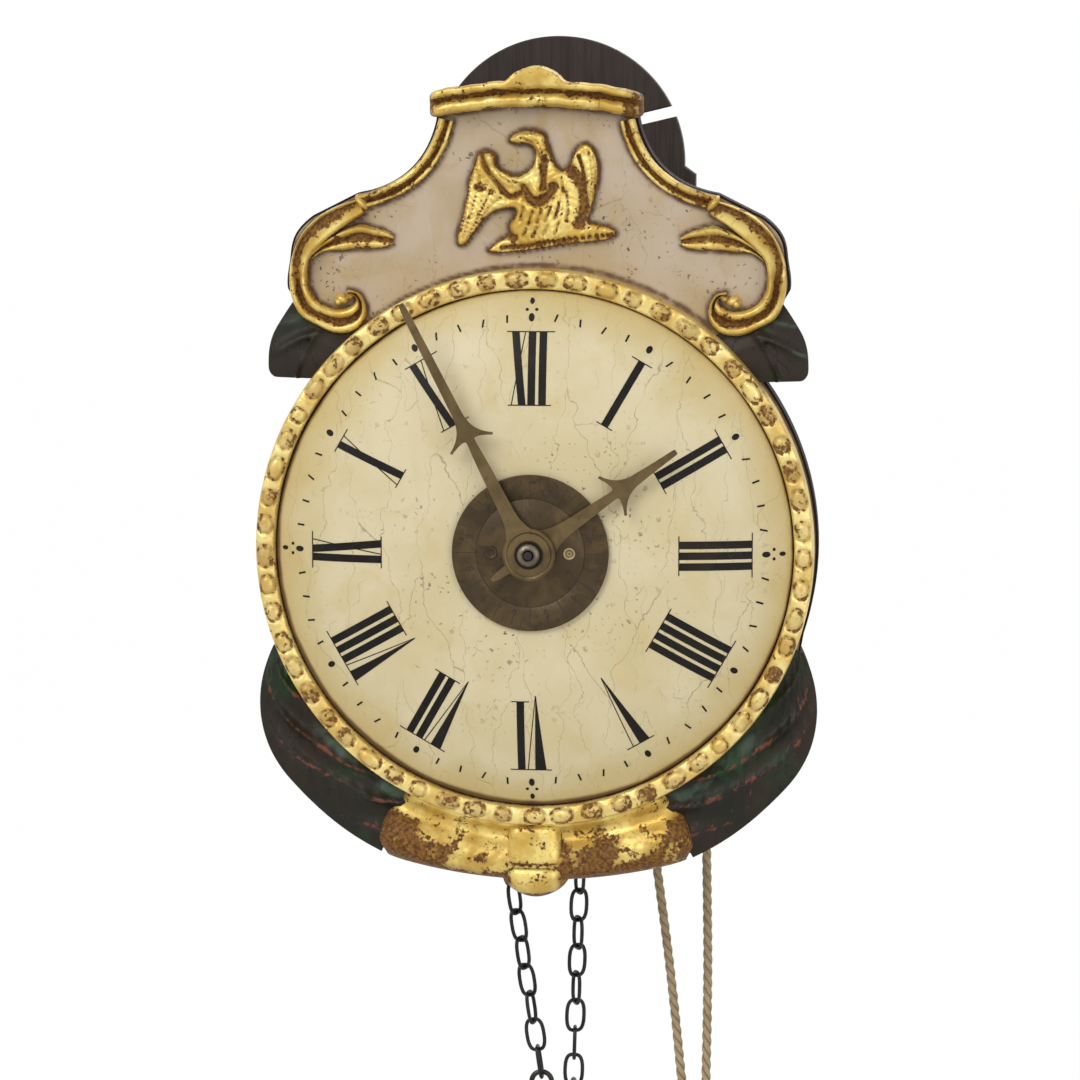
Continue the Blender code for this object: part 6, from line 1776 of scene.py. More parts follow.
@dataclass
class Cartouche:
    """The gilt cartouche under the ring, with its keystone and bulb."""

    half_angle: float = 27.0
    bulge: float = 1.8
    reach: float = 0.0240
    spread: float = 0.0048
    height: float = 0.0130

    def reach_at(self, share: float | np.ndarray) -> float | np.ndarray:
        """Gives how far it stands out of the ring at a share of its half length."""
        return self.reach + self.spread * share ** 2

    def roll(self) -> Shell:
        """Carves the cove and the roll below it, browned in patches and at its ends, with painted shadow along its
        lower edge.

        Returns:
            The band under the ring.
        """
        levels = [(0.0, 0.62), (0.10, 0.78), (0.24, 0.56), (0.36, 0.58), (0.50, 0.84), (0.66, 1.0), (0.82, 0.98)]
        shape = smooth_line([*levels, (0.93, 0.78), (1.0, 0.40)], 5)
        u = np.linspace(-1.0, 1.0, 141)[:, None]
        v = np.clip(shape[None, :, 0], 0.0, 1.0)
        end = np.sqrt(np.clip(1 - (np.clip(np.abs(u) - 0.86, 0, 1) / 0.142) ** 2, 0.02, 1.0))
        lower = ease(v, 0.38, 0.52) * ease(1 - v, 0.02, 0.12)
        bark = np.sin(61 * u + 9 * v) * np.sin(23 * u - 31 * v) + 0.6 * np.sin(37 * u + 50 * v)
        bark = bark + 0.7 * np.sin(95 * v + 5 * np.sin(9 * u)) * np.sin(29 * u + 3.0)
        lift = self.height * shape[None, :, 1] * (0.38 + 0.62 * end) + 0.00026 * bark * lower
        lift = np.minimum(lift, self.height)
        half = self.half_angle + self.bulge * np.sin(np.pi * v) - 1.4 * ease(v, 0.84, 1.0)
        turn = np.radians(180.0 + half * u)
        radius = RING_R - 0.0016 + (self.reach_at(u) + 0.0016) * v
        front = np.stack([radius * np.sin(turn), SEAT_Y - lift, radius * np.cos(turn)], axis=-1)
        back = front[:, [-1, 0]].copy()
        back[..., 1] = SEAT_Y
        drift = 0.5 + 0.3 * np.sin(5.1 * u + 3.0 * v + 0.8) + 0.2 * np.sin(13 * u - 9 * v)
        patch = ease(drift + 0.35 * (np.abs(u) - 0.5), 0.36, 0.62)
        # browner in patches over the roll and at its ends
        brown = ease(v, 0.34, 0.46) * (0.18 + 0.70 * patch) + 0.45 * ease(np.abs(u), 0.90, 1.0)
        # painted shadow: the roll's lower edge is browned
        wear_and_shade = np.concatenate([brown + 0.62 * ease(v, 0.80, 0.98), np.zeros((141, 2))], axis=1)
        return loft(np.concatenate([front, back], axis=1), {Mask.GROOVE: np.clip(wear_and_shade, 0.0, 1.0)})

    def keystone(self) -> Shell:
        """Carves the block, the groove under it and the bulb below.

        Returns:
            The knop.
        """
        stations = [
            (-0.1128, 0.0096, 0.0110, 5.0), (-0.1140, 0.0106, 0.0132, 5.0), (-0.1206, 0.0112, 0.0140, 5.0),
            (-0.1266, 0.0117, 0.0146, 5.0), (-0.1276, 0.0116, 0.0138, 5.0), (-0.1282, 0.0112, 0.0122, 4.5),
            (-0.1290, 0.0113, 0.0122, 4.2), (-0.1296, 0.0122, 0.0140, 3.8), (-0.1312, 0.0132, 0.0150, 3.4),
            (-0.1338, 0.0136, 0.0153, 3.0), (-0.1362, 0.0128, 0.0146, 2.7), (-0.1387, 0.0108, 0.0128, 2.5),
            (-0.1406, 0.0082, 0.0104, 2.3), (-0.1419, 0.0054, 0.0080, 2.1), (-0.1425, 0.0026, 0.0056, 2.0),
        ]
        rows = smooth_line(stations, 4)
        tilt = np.linspace(0.0, math.pi, 33)[None, :]
        power = 2.0 / rows[:, 3][:, None]
        x = rows[:, 1][:, None] * np.sign(np.cos(tilt)) * np.abs(np.cos(tilt)) ** power
        lift = rows[:, 2][:, None] * np.abs(np.sin(tilt)) ** power
        z = np.repeat(rows[:, 0][:, None], 33, axis=1)
        rings = np.stack([x, SEAT_Y - lift, z], axis=-1)
        # painted shade: brown in the groove under the block and on the sides and underside of the bulb
        side = np.clip((np.abs(x) / rows[:, 1][:, None] - 0.93) / 0.07, 0.0, 1.0)
        groove = np.exp(-((z + 0.1284) / 0.0013) ** 2)
        shade = ease(-z, 0.1300, 0.1330) * ease(np.abs(x), 0.0080, 0.0112) + ease(-z, 0.1380, 0.1420)
        return loft(rings, {Mask.GROOVE: np.clip(groove * 0.9 + side * 0.6 + shade * 0.9, 0.0, 1.0)})

    def build(self) -> None:
        """Makes the cartouche."""
        obj = piece("gilt_cartouche", joined(self.roll(), self.keystone()), [GILT_WORN], 60.0, carved=1.6)
        settle(obj, Body.FRAME, Slot.GILT, "cartouche")


@dataclass
class Eagle:
    """The eagle in relief, one carved form with cut strokes, browned in its cuts and round its foot, partly bare ground
    and partly painted shade.
    """

    centre_z: float = 0.1379
    size: float = 0.0305
    depth: float = 0.0072
    cell: float = 0.00046
    bead: float = 0.0015

    def drawn(self, spots: Sequence[Point2], steps: int) -> np.ndarray:
        """Draws a smooth line from shares of the eagle's half width."""
        return smooth_line(spots, steps) * self.size + np.array((0.0, self.centre_z))

    def edges(self) -> np.ndarray:
        """Draws the eagle's outline from its beak round both wings and the log.

        Returns:
            Points on the panel in clockwise order.
        """
        spots = [
            (-0.373, 0.741), (-0.320, 0.829), (-0.173, 0.893), (-0.013, 0.893), (0.107, 0.835), (0.160, 0.675),
            (0.213, 0.515), (0.320, 0.381), (0.427, 0.448), (0.480, 0.595), (0.573, 0.701), (0.680, 0.715), (0.773, 0.595),
            (0.808, 0.381), (0.787, 0.168), (0.733, -0.072), (0.667, -0.272), (0.787, -0.312), (0.947, -0.352),
            (1.040, -0.432), (0.920, -0.525), (0.627, -0.557), (0.253, -0.605), (-0.173, -0.672), (-0.520, -0.699),
            (-0.640, -0.659), (-0.493, -0.539), (-0.360, -0.459), (-0.360, -0.339), (-0.280, -0.192), (-0.307, -0.125),
            (-0.520, -0.152), (-0.680, -0.272), (-0.813, -0.445), (-0.947, -0.600), (-1.027, -0.592), (-1.040, -0.472),
            (-0.973, -0.232), (-0.920, 0.008), (-0.880, 0.248), (-0.800, 0.488), (-0.747, 0.595), (-0.627, 0.621),
            (-0.525, 0.563), (-0.520, 0.448), (-0.387, 0.341), (-0.227, 0.315), (-0.093, 0.395), (-0.027, 0.515),
            (-0.027, 0.648), (-0.120, 0.707), (-0.253, 0.707),
        ]
        return self.drawn([*spots, spots[0]], 5)[:-1]

    def strokes(self) -> list[tuple[np.ndarray, float, float, float]]:
        """Lists the cuts of the knife.

        Returns:
            Each cut's line, half width, depth share and how brown it lies, partly bare ground and partly painted shade.
        """
        bare = [
            ([(-0.72, 0.62), (-0.65, 0.40), (-0.50, 0.20), (-0.35, 0.04), (-0.20, 0.08)], 0.036),
            ([(-0.15, 0.15), (-0.07, 0.01), (0.06, -0.02), (0.19, 0.09), (0.22, 0.17)], 0.058),
            ([(0.11, 0.52), (0.10, 0.34), (0.095, 0.15)], 0.042),
            ([(0.43, 0.40), (0.53, 0.30), (0.61, 0.10), (0.63, -0.12), (0.56, -0.32)], 0.062),
            ([(-0.44, -0.63), (-0.10, -0.60), (0.36, -0.53), (0.98, -0.46)], 0.034),
            ([(-0.38, -0.44), (-0.29, -0.50)], 0.050),
            ([(-0.78, 0.15), (-0.72, 0.13)], 0.036),
            ([(0.55, 0.56), (0.60, 0.42), (0.62, 0.24)], 0.020),
        ]
        fine = [
            [(-0.84, 0.34), (-0.90, 0.00), (-0.98, -0.42)], [(-0.74, 0.30), (-0.82, -0.08), (-0.95, -0.50)],
            [(-0.60, 0.10), (-0.72, -0.16), (-0.90, -0.50)], [(-0.46, 0.02), (-0.58, -0.08), (-0.72, -0.26)],
            [(0.68, 0.62), (0.73, 0.36), (0.70, 0.02), (0.66, -0.18)], [(0.74, 0.56), (0.77, 0.30), (0.74, 0.04)],
            [(-0.16, -0.10), (-0.20, -0.26)], [(-0.04, -0.16), (-0.10, -0.34)], [(0.08, -0.14), (0.02, -0.30)],
            [(0.20, -0.10), (0.13, -0.28)], [(0.31, -0.04), (0.25, -0.24)], [(-0.12, -0.38), (-0.17, -0.48)],
            [(0.02, -0.36), (-0.04, -0.48)], [(0.16, -0.34), (0.10, -0.46)], [(0.30, -0.30), (0.25, -0.44)],
            [(0.40, 0.10), (0.42, -0.10), (0.40, -0.28)], [(0.33, 0.28), (0.36, 0.10)], [(-0.30, 0.24), (-0.16, 0.17)],
            [(-0.46, 0.32), (-0.34, 0.22)], [(0.02, 0.62), (0.06, 0.40)], [(-0.20, 0.79), (-0.06, 0.74)],
        ]
        cuts = [(self.drawn(line, 8), wide * self.size, 0.46, 1.0) for line, wide in bare]
        return cuts + [(self.drawn(line, 8), 0.019 * self.size, 0.22, 0.42) for line in fine]

    def relief(self, spots: np.ndarray, edge: np.ndarray) -> tuple[np.ndarray, np.ndarray]:
        """Carves the form at points on the panel.

        Args:
            spots: Their x and z.
            edge: The outline.

        Returns:
            The height and the brownness at each point.
        """
        a, b = spots[:, 0] / self.size, (spots[:, 1] - self.centre_z) / self.size
        breast = np.exp(-((a - 0.03) / 0.34) ** 2 - ((b + 0.14) / 0.40) ** 2)
        neck = np.exp(-((a - 0.03) / 0.12) ** 2 - ((b - 0.50) / 0.30) ** 2)
        head = np.exp(-((a + 0.08) / 0.18) ** 2 - ((b - 0.80) / 0.10) ** 2)
        arm = np.exp(-((a + 0.34 + 0.2 * (b - 0.2)) / 0.26) ** 2 - ((b - 0.26 + 0.3 * (a + 0.34)) / 0.11) ** 2)
        knob = np.exp(-((a + 0.60) / 0.08) ** 2 - ((b - 0.52) / 0.08) ** 2)
        wing = np.exp(-((a - 0.74) / 0.07) ** 2 - ((b - 0.30) / 0.34) ** 2)
        full = 0.50 + np.maximum.reduce([0.50 * breast, 0.26 * neck, 0.34 * head, 0.30 * arm, 0.34 * knob, 0.20 * wing])
        gap = nearness(spots, edge)
        rise = full * np.sqrt(np.clip(1 - (1 - np.clip(gap / (1.6 * self.bead), 0.0, 1.0)) ** 2, 0.0, 1.0))
        # painted shade round the foot of the relief
        brown = 0.85 * (1 - ease(gap, 0.25 * self.bead, 0.75 * self.bead))
        for line, wide, deep, bare in self.strokes():
            near = np.exp(-(nearness(spots, line) / wide) ** 2)
            rise = rise - deep * near * full
            # the cuts are browned, partly bare ground and partly painted shade
            brown = np.maximum(brown, bare * np.clip(1.25 * near, 0.0, 1.0))
        ripple = np.sin(3.1 * a * 14 + 4.0 * np.sin(9 * b)) * np.sin(2.7 * b * 15 + 3.0 * np.sin(8 * a))
        rise = rise + 0.035 * ripple * ease(gap, 0.3 * self.bead, 1.2 * self.bead)
        return self.depth * np.clip(rise, 0.14, 1.0), brown

    def build(self) -> None:
        """Carves the eagle out of a plate in the shape of its outline."""
        edge = self.edges()
        low, high = edge.min(axis=0), edge.max(axis=0)
        x, z = np.meshgrid(np.arange(low[0], high[0], self.cell), np.arange(low[1], high[1], self.cell))
        spots = np.column_stack([x.ravel(), z.ravel()])
        spots = spots[within(spots, edge)]
        spots = spots[nearness(spots, edge) > 1.1 * self.cell]
        shell = plate(edge, 0.0, SEAT_Y, SEAT_Y - 0.001, 0.00028, spots)
        front = slice(len(edge), None)
        height, brown = self.relief(shell.points[front][:, [0, 2]], edge)
        shell.points[front, 1] = SEAT_Y - height
        # the relief's sides are brown: painted shade
        shell.masks[Mask.GROOVE] = np.concatenate([np.ones(len(edge)), brown])
        settle(piece("carved_eagle", shell, [GILT], 180.0, carved=0.6), Body.FRAME, Slot.GILT, "eagle")


@dataclass
class Hands:
    """The hour and minute hands, the alarm disc and the collet."""

    sheet: float = 0.0012
    boss_r: float = 0.0100
    disc_y: float = -0.1243
    hour_y: float = -0.1269
    minute_y: float = -0.1295
    collet_y: float = -0.1310
    disc_r: float = 0.0310

    def outline(self, length: float, barb: float, degrees: float, pointer: float) -> np.ndarray:
        """Draws a hand with a round boss, a tapered stem and two swept-back barbs.

        Args:
            length: From the centre to its tip.
            barb: From the centre to its barbs.
            degrees: Where it points.
            pointer: Length of the short pointer at its tail, or 0.

        Returns:
            Its outline in clockwise order.
        """
        stem = smooth_line([(0.0084, 0.0054), (0.0118, 0.0038), (0.0180, 0.0026), (barb - 0.0160, 0.0021), (barb - 0.0045, 0.0015)], 5)
        rear = bow((barb - 0.0030, 0.0016), (barb - 0.0014, 0.0026), (barb - 0.0046, 0.0089), 10)
        tip = bow((barb - 0.0041, 0.0091), (barb - 0.0006, 0.0028), (barb + 0.0060, 0.0020), 12)
        point = smooth_line([(barb + 0.0090, 0.0018), (length - 0.0100, 0.0013), (length - 0.0010, 0.0009), (length, 0.0004)], 4)
        side = np.vstack([stem, rear, tip, point])
        right = np.column_stack([side[:, 1], side[:, 0]])
        left = (right * np.array((-1.0, 1.0)))[::-1]
        start = math.degrees(math.atan2(0.0054, 0.0084))
        turns = np.linspace(-start, start - 360.0, 48)
        if pointer:
            turns = turns[np.abs(turns + 180.0) > 7.0]
        low = [polar(self.boss_r, a) for a in turns]
        if pointer:
            cut = int(np.sum(turns > -180.0))
            low[cut:cut] = [(-0.0012, -pointer + 0.0030), (-0.0005, -pointer), (0.0005, -pointer), (0.0012, -pointer + 0.0030)]
        flat = np.vstack([left[::-1] * np.array((-1.0, 1.0)), left, np.array(low)])[::-1]
        turn = math.radians(degrees)
        x = flat[:, 0] * math.cos(turn) + flat[:, 1] * math.sin(turn)
        z = -flat[:, 0] * math.sin(turn) + flat[:, 1] * math.cos(turn)
        return np.column_stack([x, z])[::-1]

    def disc(self) -> None:
        """Makes the alarm disc with its engraved ring, marks, figures and rivets."""
        front = self.disc_y - self.sheet
        stations = [(self.disc_y, 0.0053), (front, 0.0053)]
        for radius in (0.0215,):
            stations += [(front, radius - 0.00030), (front + 0.00018, radius), (front, radius + 0.00030)]
        stations += [(front, self.disc_r - 0.0004), (front + 0.0003, self.disc_r), (self.disc_y, self.disc_r)]
        shell = turned(stations, 128)
        groove = np.zeros((len(stations), 128))
        groove[3] = 1.0
        shell.masks[Mask.GROOVE] = groove.reshape(-1)
        rim = [(front + 0.0002, 0.0027), (front - 0.0003, 0.0025), (front - 0.0004, 0.0021), (front - 0.0003, 0.0018)]
        rim += [(front - 0.0001, 0.0015), (front - 0.0001, 0.0004), (front + 0.0002, 0.0004)]
        eyes = [turned(rim, 32, (s * 0.0155, 0.0)) for s in (-1, 1)]
        for eye in eyes:
            # painted shade: the rim and the inner ring of each rivet are darkened
            dark = np.zeros((len(rim), 32))
            dark[[0, 1, 4]] = 1.0
            eye.masks[Mask.GROOVE] = dark.reshape(-1)
        plain = piece("alarm_dial", joined(shell, eyes[0]), [DISC_BRASS], 35.0)
        settle(piece("alarm_dial_eye", eyes[1], [BRIGHT_STUD], 35.0), Body.ALARM, Slot.BRASS)
        settle(plain, Body.ALARM, Slot.BRASS, "alarm_disc")
        marks = []
        for hour in range(12):
            for part, (low, high) in enumerate(((0.0216, 0.0295), (0.0272, 0.0294), (0.0262, 0.0294), (0.0272, 0.0294))):
                marks.append(self.scratch(30.0 * hour + 7.5 * part, low, high, 0.00034, front))
        figures = [self.figure(str((hour + 11) % 12 + 1), 30.0 * hour + 15.0, 0.0245, front) for hour in range(12)]
        cut = piece("alarm_dial_marks", joined(*marks, *figures), [ENGRAVING], 30.0)
        settle(cut, Body.ALARM, Slot.BRASS)

    @staticmethod
    def scratch(degrees: float, low: float, high: float, wide: float, front: float) -> Shell:
        """Cuts one radial line of the alarm disc.

        Args:
            degrees: Its angle.
            low: Its inner radius.
            high: Its outer radius.
            wide: Its width.
            front: Where the disc's front lies.

        Returns:
            The line as a thin inlay.
        """
        turn = math.radians(degrees)
        rows = []
        for radius in (low, high):
            x, z = radius * math.sin(turn), radius * math.cos(turn)
            dx, dz = wide / 2 * math.cos(turn), -wide / 2 * math.sin(turn)
            rows.append([(x - dx, front - 0.00003, z - dz), (x + dx, front - 0.00003, z + dz),
                         (x + dx, front + 0.0001, z + dz), (x - dx, front + 0.0001, z - dz)])
        return loft(np.array(rows))

    @staticmethod
    def figure(text: str, degrees: float, radius: float, front: float) -> Shell:
        """Cuts one figure of the alarm disc, with its feet to the centre.

        Args:
            text: The figure.
            degrees: Its angle.
            radius: Its middle's distance from the centre.
            front: Where the disc's front lies.

        Returns:
            The figure as a thin inlay.
        """
        words = bpy.data.curves.new("figure", "FONT")
        words.body = text
        words.size = 0.0046
        words.align_x = "CENTER"
        words.align_y = "CENTER"
        words.extrude = 0.00006
        words.resolution_u = 3
        obj = bpy.data.objects.new("figure", words)
        bpy.context.scene.collection.objects.link(obj)
        mesh = bpy.data.meshes.new_from_object(obj.evaluated_get(bpy.context.evaluated_depsgraph_get()))
        bpy.data.objects.remove(obj)
        bpy.data.curves.remove(words)
        turn = math.radians(degrees)
        spots = np.array([v.co for v in mesh.vertices])
        a, r = spots[:, 0], spots[:, 1] + radius
        x = r * math.sin(turn) + a * math.cos(turn)
        z = r * math.cos(turn) - a * math.sin(turn)
        faces = [tuple(f.vertices) for f in mesh.polygons]
        bpy.data.meshes.remove(mesh)
        return Shell(np.column_stack([x, front + 0.00003 - spots[:, 2], z]), faces, {})

    def build(self) -> None:
        """Makes the disc, both hands and the collet."""
        self.disc()
        hour = plate(self.outline(0.0705, 0.0445, 54.5, 0.0180), 0.0053, self.hour_y, self.hour_y - self.sheet, 0.00028)
        settle(piece("hour_pointer", hour, [HAND_BRASS], 25.0), Body.HOUR, Slot.BRASS, "hour_hand")
        minute = plate(self.outline(0.1100, 0.0535, -27.1, 0.0), 0.0035, self.minute_y, self.minute_y - self.sheet, 0.00028)
        face = self.minute_y - self.sheet
        lip = [(face + 0.0002, 0.0084), (face, 0.0085), (face - 0.0003, 0.0089), (face - 0.0005, 0.0093)]
        lip += [(face - 0.0005, 0.0096), (face - 0.0002, 0.0099), (face + 0.0002, 0.0099)]
        boss = turned(lip, 72)
        shade_and_grime = np.zeros((len(lip), 72))
        # painted shade in the crease inside the boss's raised rim
        shade_and_grime[1] = 0.8
        boss.masks[Mask.GROOVE] = shade_and_grime.reshape(-1)
        minute = joined(minute, boss)
        settle(piece("minute_pointer", minute, [HAND_BRASS], 25.0), Body.MINUTE, Slot.BRASS, "minute_hand")
        y = self.collet_y
        stations = [(y, 0.00205), (y, 0.0054), (y - 0.0002, 0.0056), (y - 0.0005, 0.0056), (y - 0.0006, 0.0052)]
        stations += [(y - 0.0006, 0.0048), (y - 0.0012, 0.0047), (y - 0.0020, 0.0044), (y - 0.0026, 0.0038)]
        stations += [(y - 0.0029, 0.0030), (y - 0.0030, 0.0024), (y - 0.0028, 0.00205)]
        turned_nut = turned(stations, 64)
        radii = np.array([r for _, r in stations])
        # painted shade: the collet's flange and the edge of its hole are darkened
        collet_shade = np.clip(ease(radii, 0.0044, 0.0048) + ease(-radii, -0.0027, -0.0022), 0.0, 1.0)
        turned_nut.masks[Mask.GROOVE] = np.repeat(collet_shade, 64)
        collet = piece("turned_collet", turned_nut, [NUT_STEEL], 40.0)
        settle(collet, Body.MINUTE, Slot.IRON, "hand_collet")


@dataclass
class Chain:
    """The iron chain over its sprocket, with the weight hook and the end ring."""

    pitch: float = 0.0118
    link_w: float = 0.0089
    wire_r: float = 0.0008
    turned_by: float = 32.0
    weld: float = 0.00018
    runs: int = 15
    bend_r: float = 0.0118 * 12 / (2 * math.pi)
    centre: Point2 = (-0.0070, -0.057269)
    right_lean: float = -1.7
    left_lean: float = 8.6
    hook_wire_r: float = 0.0011
    hook_r: float = 0.0042
    ring_r: float = 0.0070

    def joints(self) -> list[np.ndarray]:
        """Gives the points where the links meet.

        Returns:
            The points from the ring's end over the sprocket to the hook's end.
        """
        right, left = math.radians(self.right_lean), math.radians(self.left_lean)
        rise = np.array((-math.sin(right), 0.0, math.cos(right))) * self.pitch
        fall = np.array((math.sin(left), 0.0, -math.cos(left))) * self.pitch
        bends = []
        for i in range(7):
            x, z = polar(self.bend_r, 90.0 - self.right_lean - 30.0 * i)
            bends.append(np.array((self.centre[0] + x, CHAIN_Y, self.centre[1] + z)))
        up = [bends[0] - rise * i for i in range(self.runs, 0, -1)]
        return up + bends + [bends[-1] + fall * i for i in range(1, self.runs + 1)]

    def link(self, low: np.ndarray, high: np.ndarray, upright: bool, twist: float) -> Shell:
        """Bends one oval link of round wire.

        Args:
            low: One end.
            high: The other end.
            upright: Whether it shows its oval to the front.
            twist: How far it is turned about the chain, in radians.

        Returns:
            The link.
        """
        along = (high - low) / np.linalg.norm(high - low)
        side = np.array((0.0, 1.0, 0.0))
        wide = np.cross(along, side) if upright else side
        wide = wide * math.cos(twist) + np.cross(along, wide) * math.sin(twist)
        long = (self.pitch + 2 * self.wire_r - self.weld) / 2
        half = self.link_w / 2 - self.wire_r
        turn = np.linspace(0.0, 2 * math.pi, 32, endpoint=False)
        a = long * np.sign(np.cos(turn)) * np.abs(np.cos(turn)) ** 0.80
        b = half * np.sign(np.sin(turn)) * np.abs(np.sin(turn)) ** 0.62
        path = (low + high) / 2 + a[:, None] * along + b[:, None] * wide
        ahead = np.roll(path, -1, axis=0) - np.roll(path, 1, axis=0)
        ahead /= np.linalg.norm(ahead, axis=1)[:, None]
        normal = np.cross(along, wide)
        out = np.cross(ahead, normal)
        spin = np.linspace(0.0, 2 * math.pi, 9, endpoint=False)
        rings = path[:, None, :] + self.wire_r * (np.cos(spin)[None, :, None] * out[:, None, :]
                                                  + np.sin(spin)[None, :, None] * normal[None, None, :])
        return loft(rings, looped=True)

    def build(self) -> None:
        """Makes the links, the hook and the ring."""
        spots = self.joints()
        links = []
        for i, (a, b) in enumerate(zip(spots, spots[1:])):
            below = max(self.runs - 1 - i, i - self.runs - 6, 0)
            twist = math.radians(self.turned_by) * float(ease(below, 0.0, 5.0)) * float(ease(self.runs - below, 1.0, 5.0))
            links.append(self.link(a, b, (i + self.runs) % 2 == 1, twist))
        settle(piece("chain_links", joined(*links), [BLACK_IRON], 80.0), Body.FRAME, Slot.IRON, "chain")
        lift = np.array((0.0, 0.0, self.weld / 2 + 0.0003 + self.hook_wire_r))
        upright = (len(spots) - 2 + self.runs) % 2 == 1
        side, aside = np.array((0.0, 1.0, 0.0)), np.array((1.0, 0.0, 0.0))
        over = side if upright else aside
        crown = spots[-1] + lift
        route = []
        for level, start, sweep in ((-1.0, -120.0, 210.0), (-4.2, -90.0, -210.0)):
            for angle in np.radians(start + sweep * np.linspace(0.0, 1.0, 25)):
                route.append(crown + over * (self.hook_r * math.sin(angle))
                             + np.array((0.0, 0.0, self.hook_r * (level + math.cos(angle)))))
        hook = piece("weight_hook", tube(np.array(route), self.hook_wire_r, 12), [IRON], 80.0)
        settle(hook, Body.FRAME, Slot.IRON, "chain_hook")
        over = side if self.runs % 2 == 1 else aside
        crown = spots[0] + lift
        turn = np.linspace(0.0, 2 * math.pi, 48, endpoint=False)
        loop = crown + over * (self.ring_r * np.sin(turn))[:, None]
        loop[:, 2] += self.ring_r * (np.cos(turn) - 1)
        settle(piece("end_ring", tube(loop, self.hook_wire_r, 12, looped=True), [IRON], 80.0), Body.FRAME, Slot.IRON, "chain_ring")


@dataclass
class Backboard:
    """The dark arched board behind the case, with a notch in each side of its arch."""

    arch_r: float = 0.0527
    arch_z: float = 0.1494
    half_w: float = 0.0574
    shoulder_z: float = 0.1482
    shoulder_drop: float = 0.0034
    foot_z: float = -0.1000
    thick: float = 0.0080
    notch_w: float = 0.0044
    notch_depth: float = 0.0180
    notch_z: float = 0.0215
    slope: float = 13.5

    def outline(self) -> np.ndarray:
        """Draws the arch, its notches and the square lower part.

        Returns:
            The outline in clockwise order.
        """
        mouth = 90.0 - math.degrees(math.asin(self.notch_z / self.arch_r))
        half = math.degrees(self.notch_w / (2 * self.arch_r)) * 1.05
        foot = 90.0 - math.degrees(math.asin((self.shoulder_z - self.arch_z) / self.arch_r))
        slope = math.radians(self.slope)
        inward = np.array((-math.cos(slope), -math.sin(slope)))
        side = np.array((-inward[1], inward[0])) * self.notch_w / 2
        floor = np.array(polar(self.arch_r, mouth)) + (0.0, self.arch_z) + inward * self.notch_depth
        top = [polar(self.arch_r, a) for a in np.linspace(0.0, mouth - half, 30)]
        low = [polar(self.arch_r, a) for a in np.linspace(mouth + half, foot, 12)]
        right = [(x, z + self.arch_z) for x, z in top]
        right += [tuple(floor - side), tuple(floor + side)]
        right += [(x, z + self.arch_z) for x, z in low]
        right += [(self.half_w, self.shoulder_z - self.shoulder_drop), (self.half_w, self.foot_z)]
        right = np.array(right)
        return np.vstack([right, (right * np.array((-1.0, 1.0)))[:0:-1]])

    def build(self) -> None:
        """Makes the board with softened front edges."""
        board = plate(self.outline(), 0.0, 0.0, -self.thick, 0.0006)
        settle(piece("arched_board", board, [DARK_WOOD], 30.0), Body.FRAME, Slot.DARK_WOOD, "backboard")


@dataclass
class Bell:
    """The alarm bell on top of the case, with a bead at its lip."""

    wall: float = 0.0018
    bore_r: float = 0.0019
    sides: int = 72
    profile: tuple[Point2, ...] = (
        (0.0, 0.985), (0.03, 1.0), (0.08, 1.0), (0.11, 0.97), (0.30, 0.91), (0.55, 0.83), (0.75, 0.71),
        (0.91, 0.50), (1.0, 0.26),
    )

    def build(self) -> None:
        """Turns the bell about its post, inside its solid's box."""
        low, high = (np.array(corner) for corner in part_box("bell"))
        middle, radius, tall = (low + high) / 2, (high[0] - low[0]) / 2, high[2] - low[2]
        outside = [(low[2] + tall * s, radius * r) for s, r in smooth_line(self.profile, 5)]
        inside = [(max(z - self.wall, low[2]), r - self.wall) for z, r in reversed(outside)]
        stations = [*outside, (high[2], self.bore_r), (high[2] - self.wall, self.bore_r), *inside]
        shell = turned(stations, self.sides, (-middle[0], middle[1])).mirrored()
        shell.points = shell.points[:, [0, 2, 1]]
        settle(piece("turned_bell", shell, [BELL_METAL], 40.0), Body.FRAME, Slot.BELL, "bell")


@dataclass
class Movement:
    """The case and the wheelwork, which keep their solids and get their finishes here."""

    soften: float = 0.0006

    def finish_of(self, slot: Slot) -> Finish:
        """Chooses the finish for a solid's slot."""
        return {
            Slot.DARK_WOOD: DARK_WOOD, Slot.BEECH: BEECH, Slot.BRASS: BRASS, Slot.IRON: IRON,
            Slot.BELL: BELL_METAL, Slot.GILT: GILT, Slot.PANEL: PANEL, Slot.DIAL: DIAL, Slot.LEAF: LEAF, Slot.ROPE: ROPE,
        }[slot]

    def build(self) -> None:
        """Dresses every solid that still shows."""
        for name, obj in sorted(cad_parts.items()):
            if obj.hide_render:
                continue
            slot = Slot(obj.material_slots[0].material.name.split(".")[0])
            finish = self.finish_of(slot).material()
            for held in obj.material_slots:
                held.material = finish
            if slot in (Slot.BEECH, Slot.DARK_WOOD):
                softer = obj.modifiers.new("soft_edges", "BEVEL")
                softer.width = self.soften
                softer.segments = 2
                softer.limit_method = "ANGLE"
                softer.angle_limit = math.radians(40.0)
            LOG.info("solid %s keeps its shape with finish %s", name, finish.name)


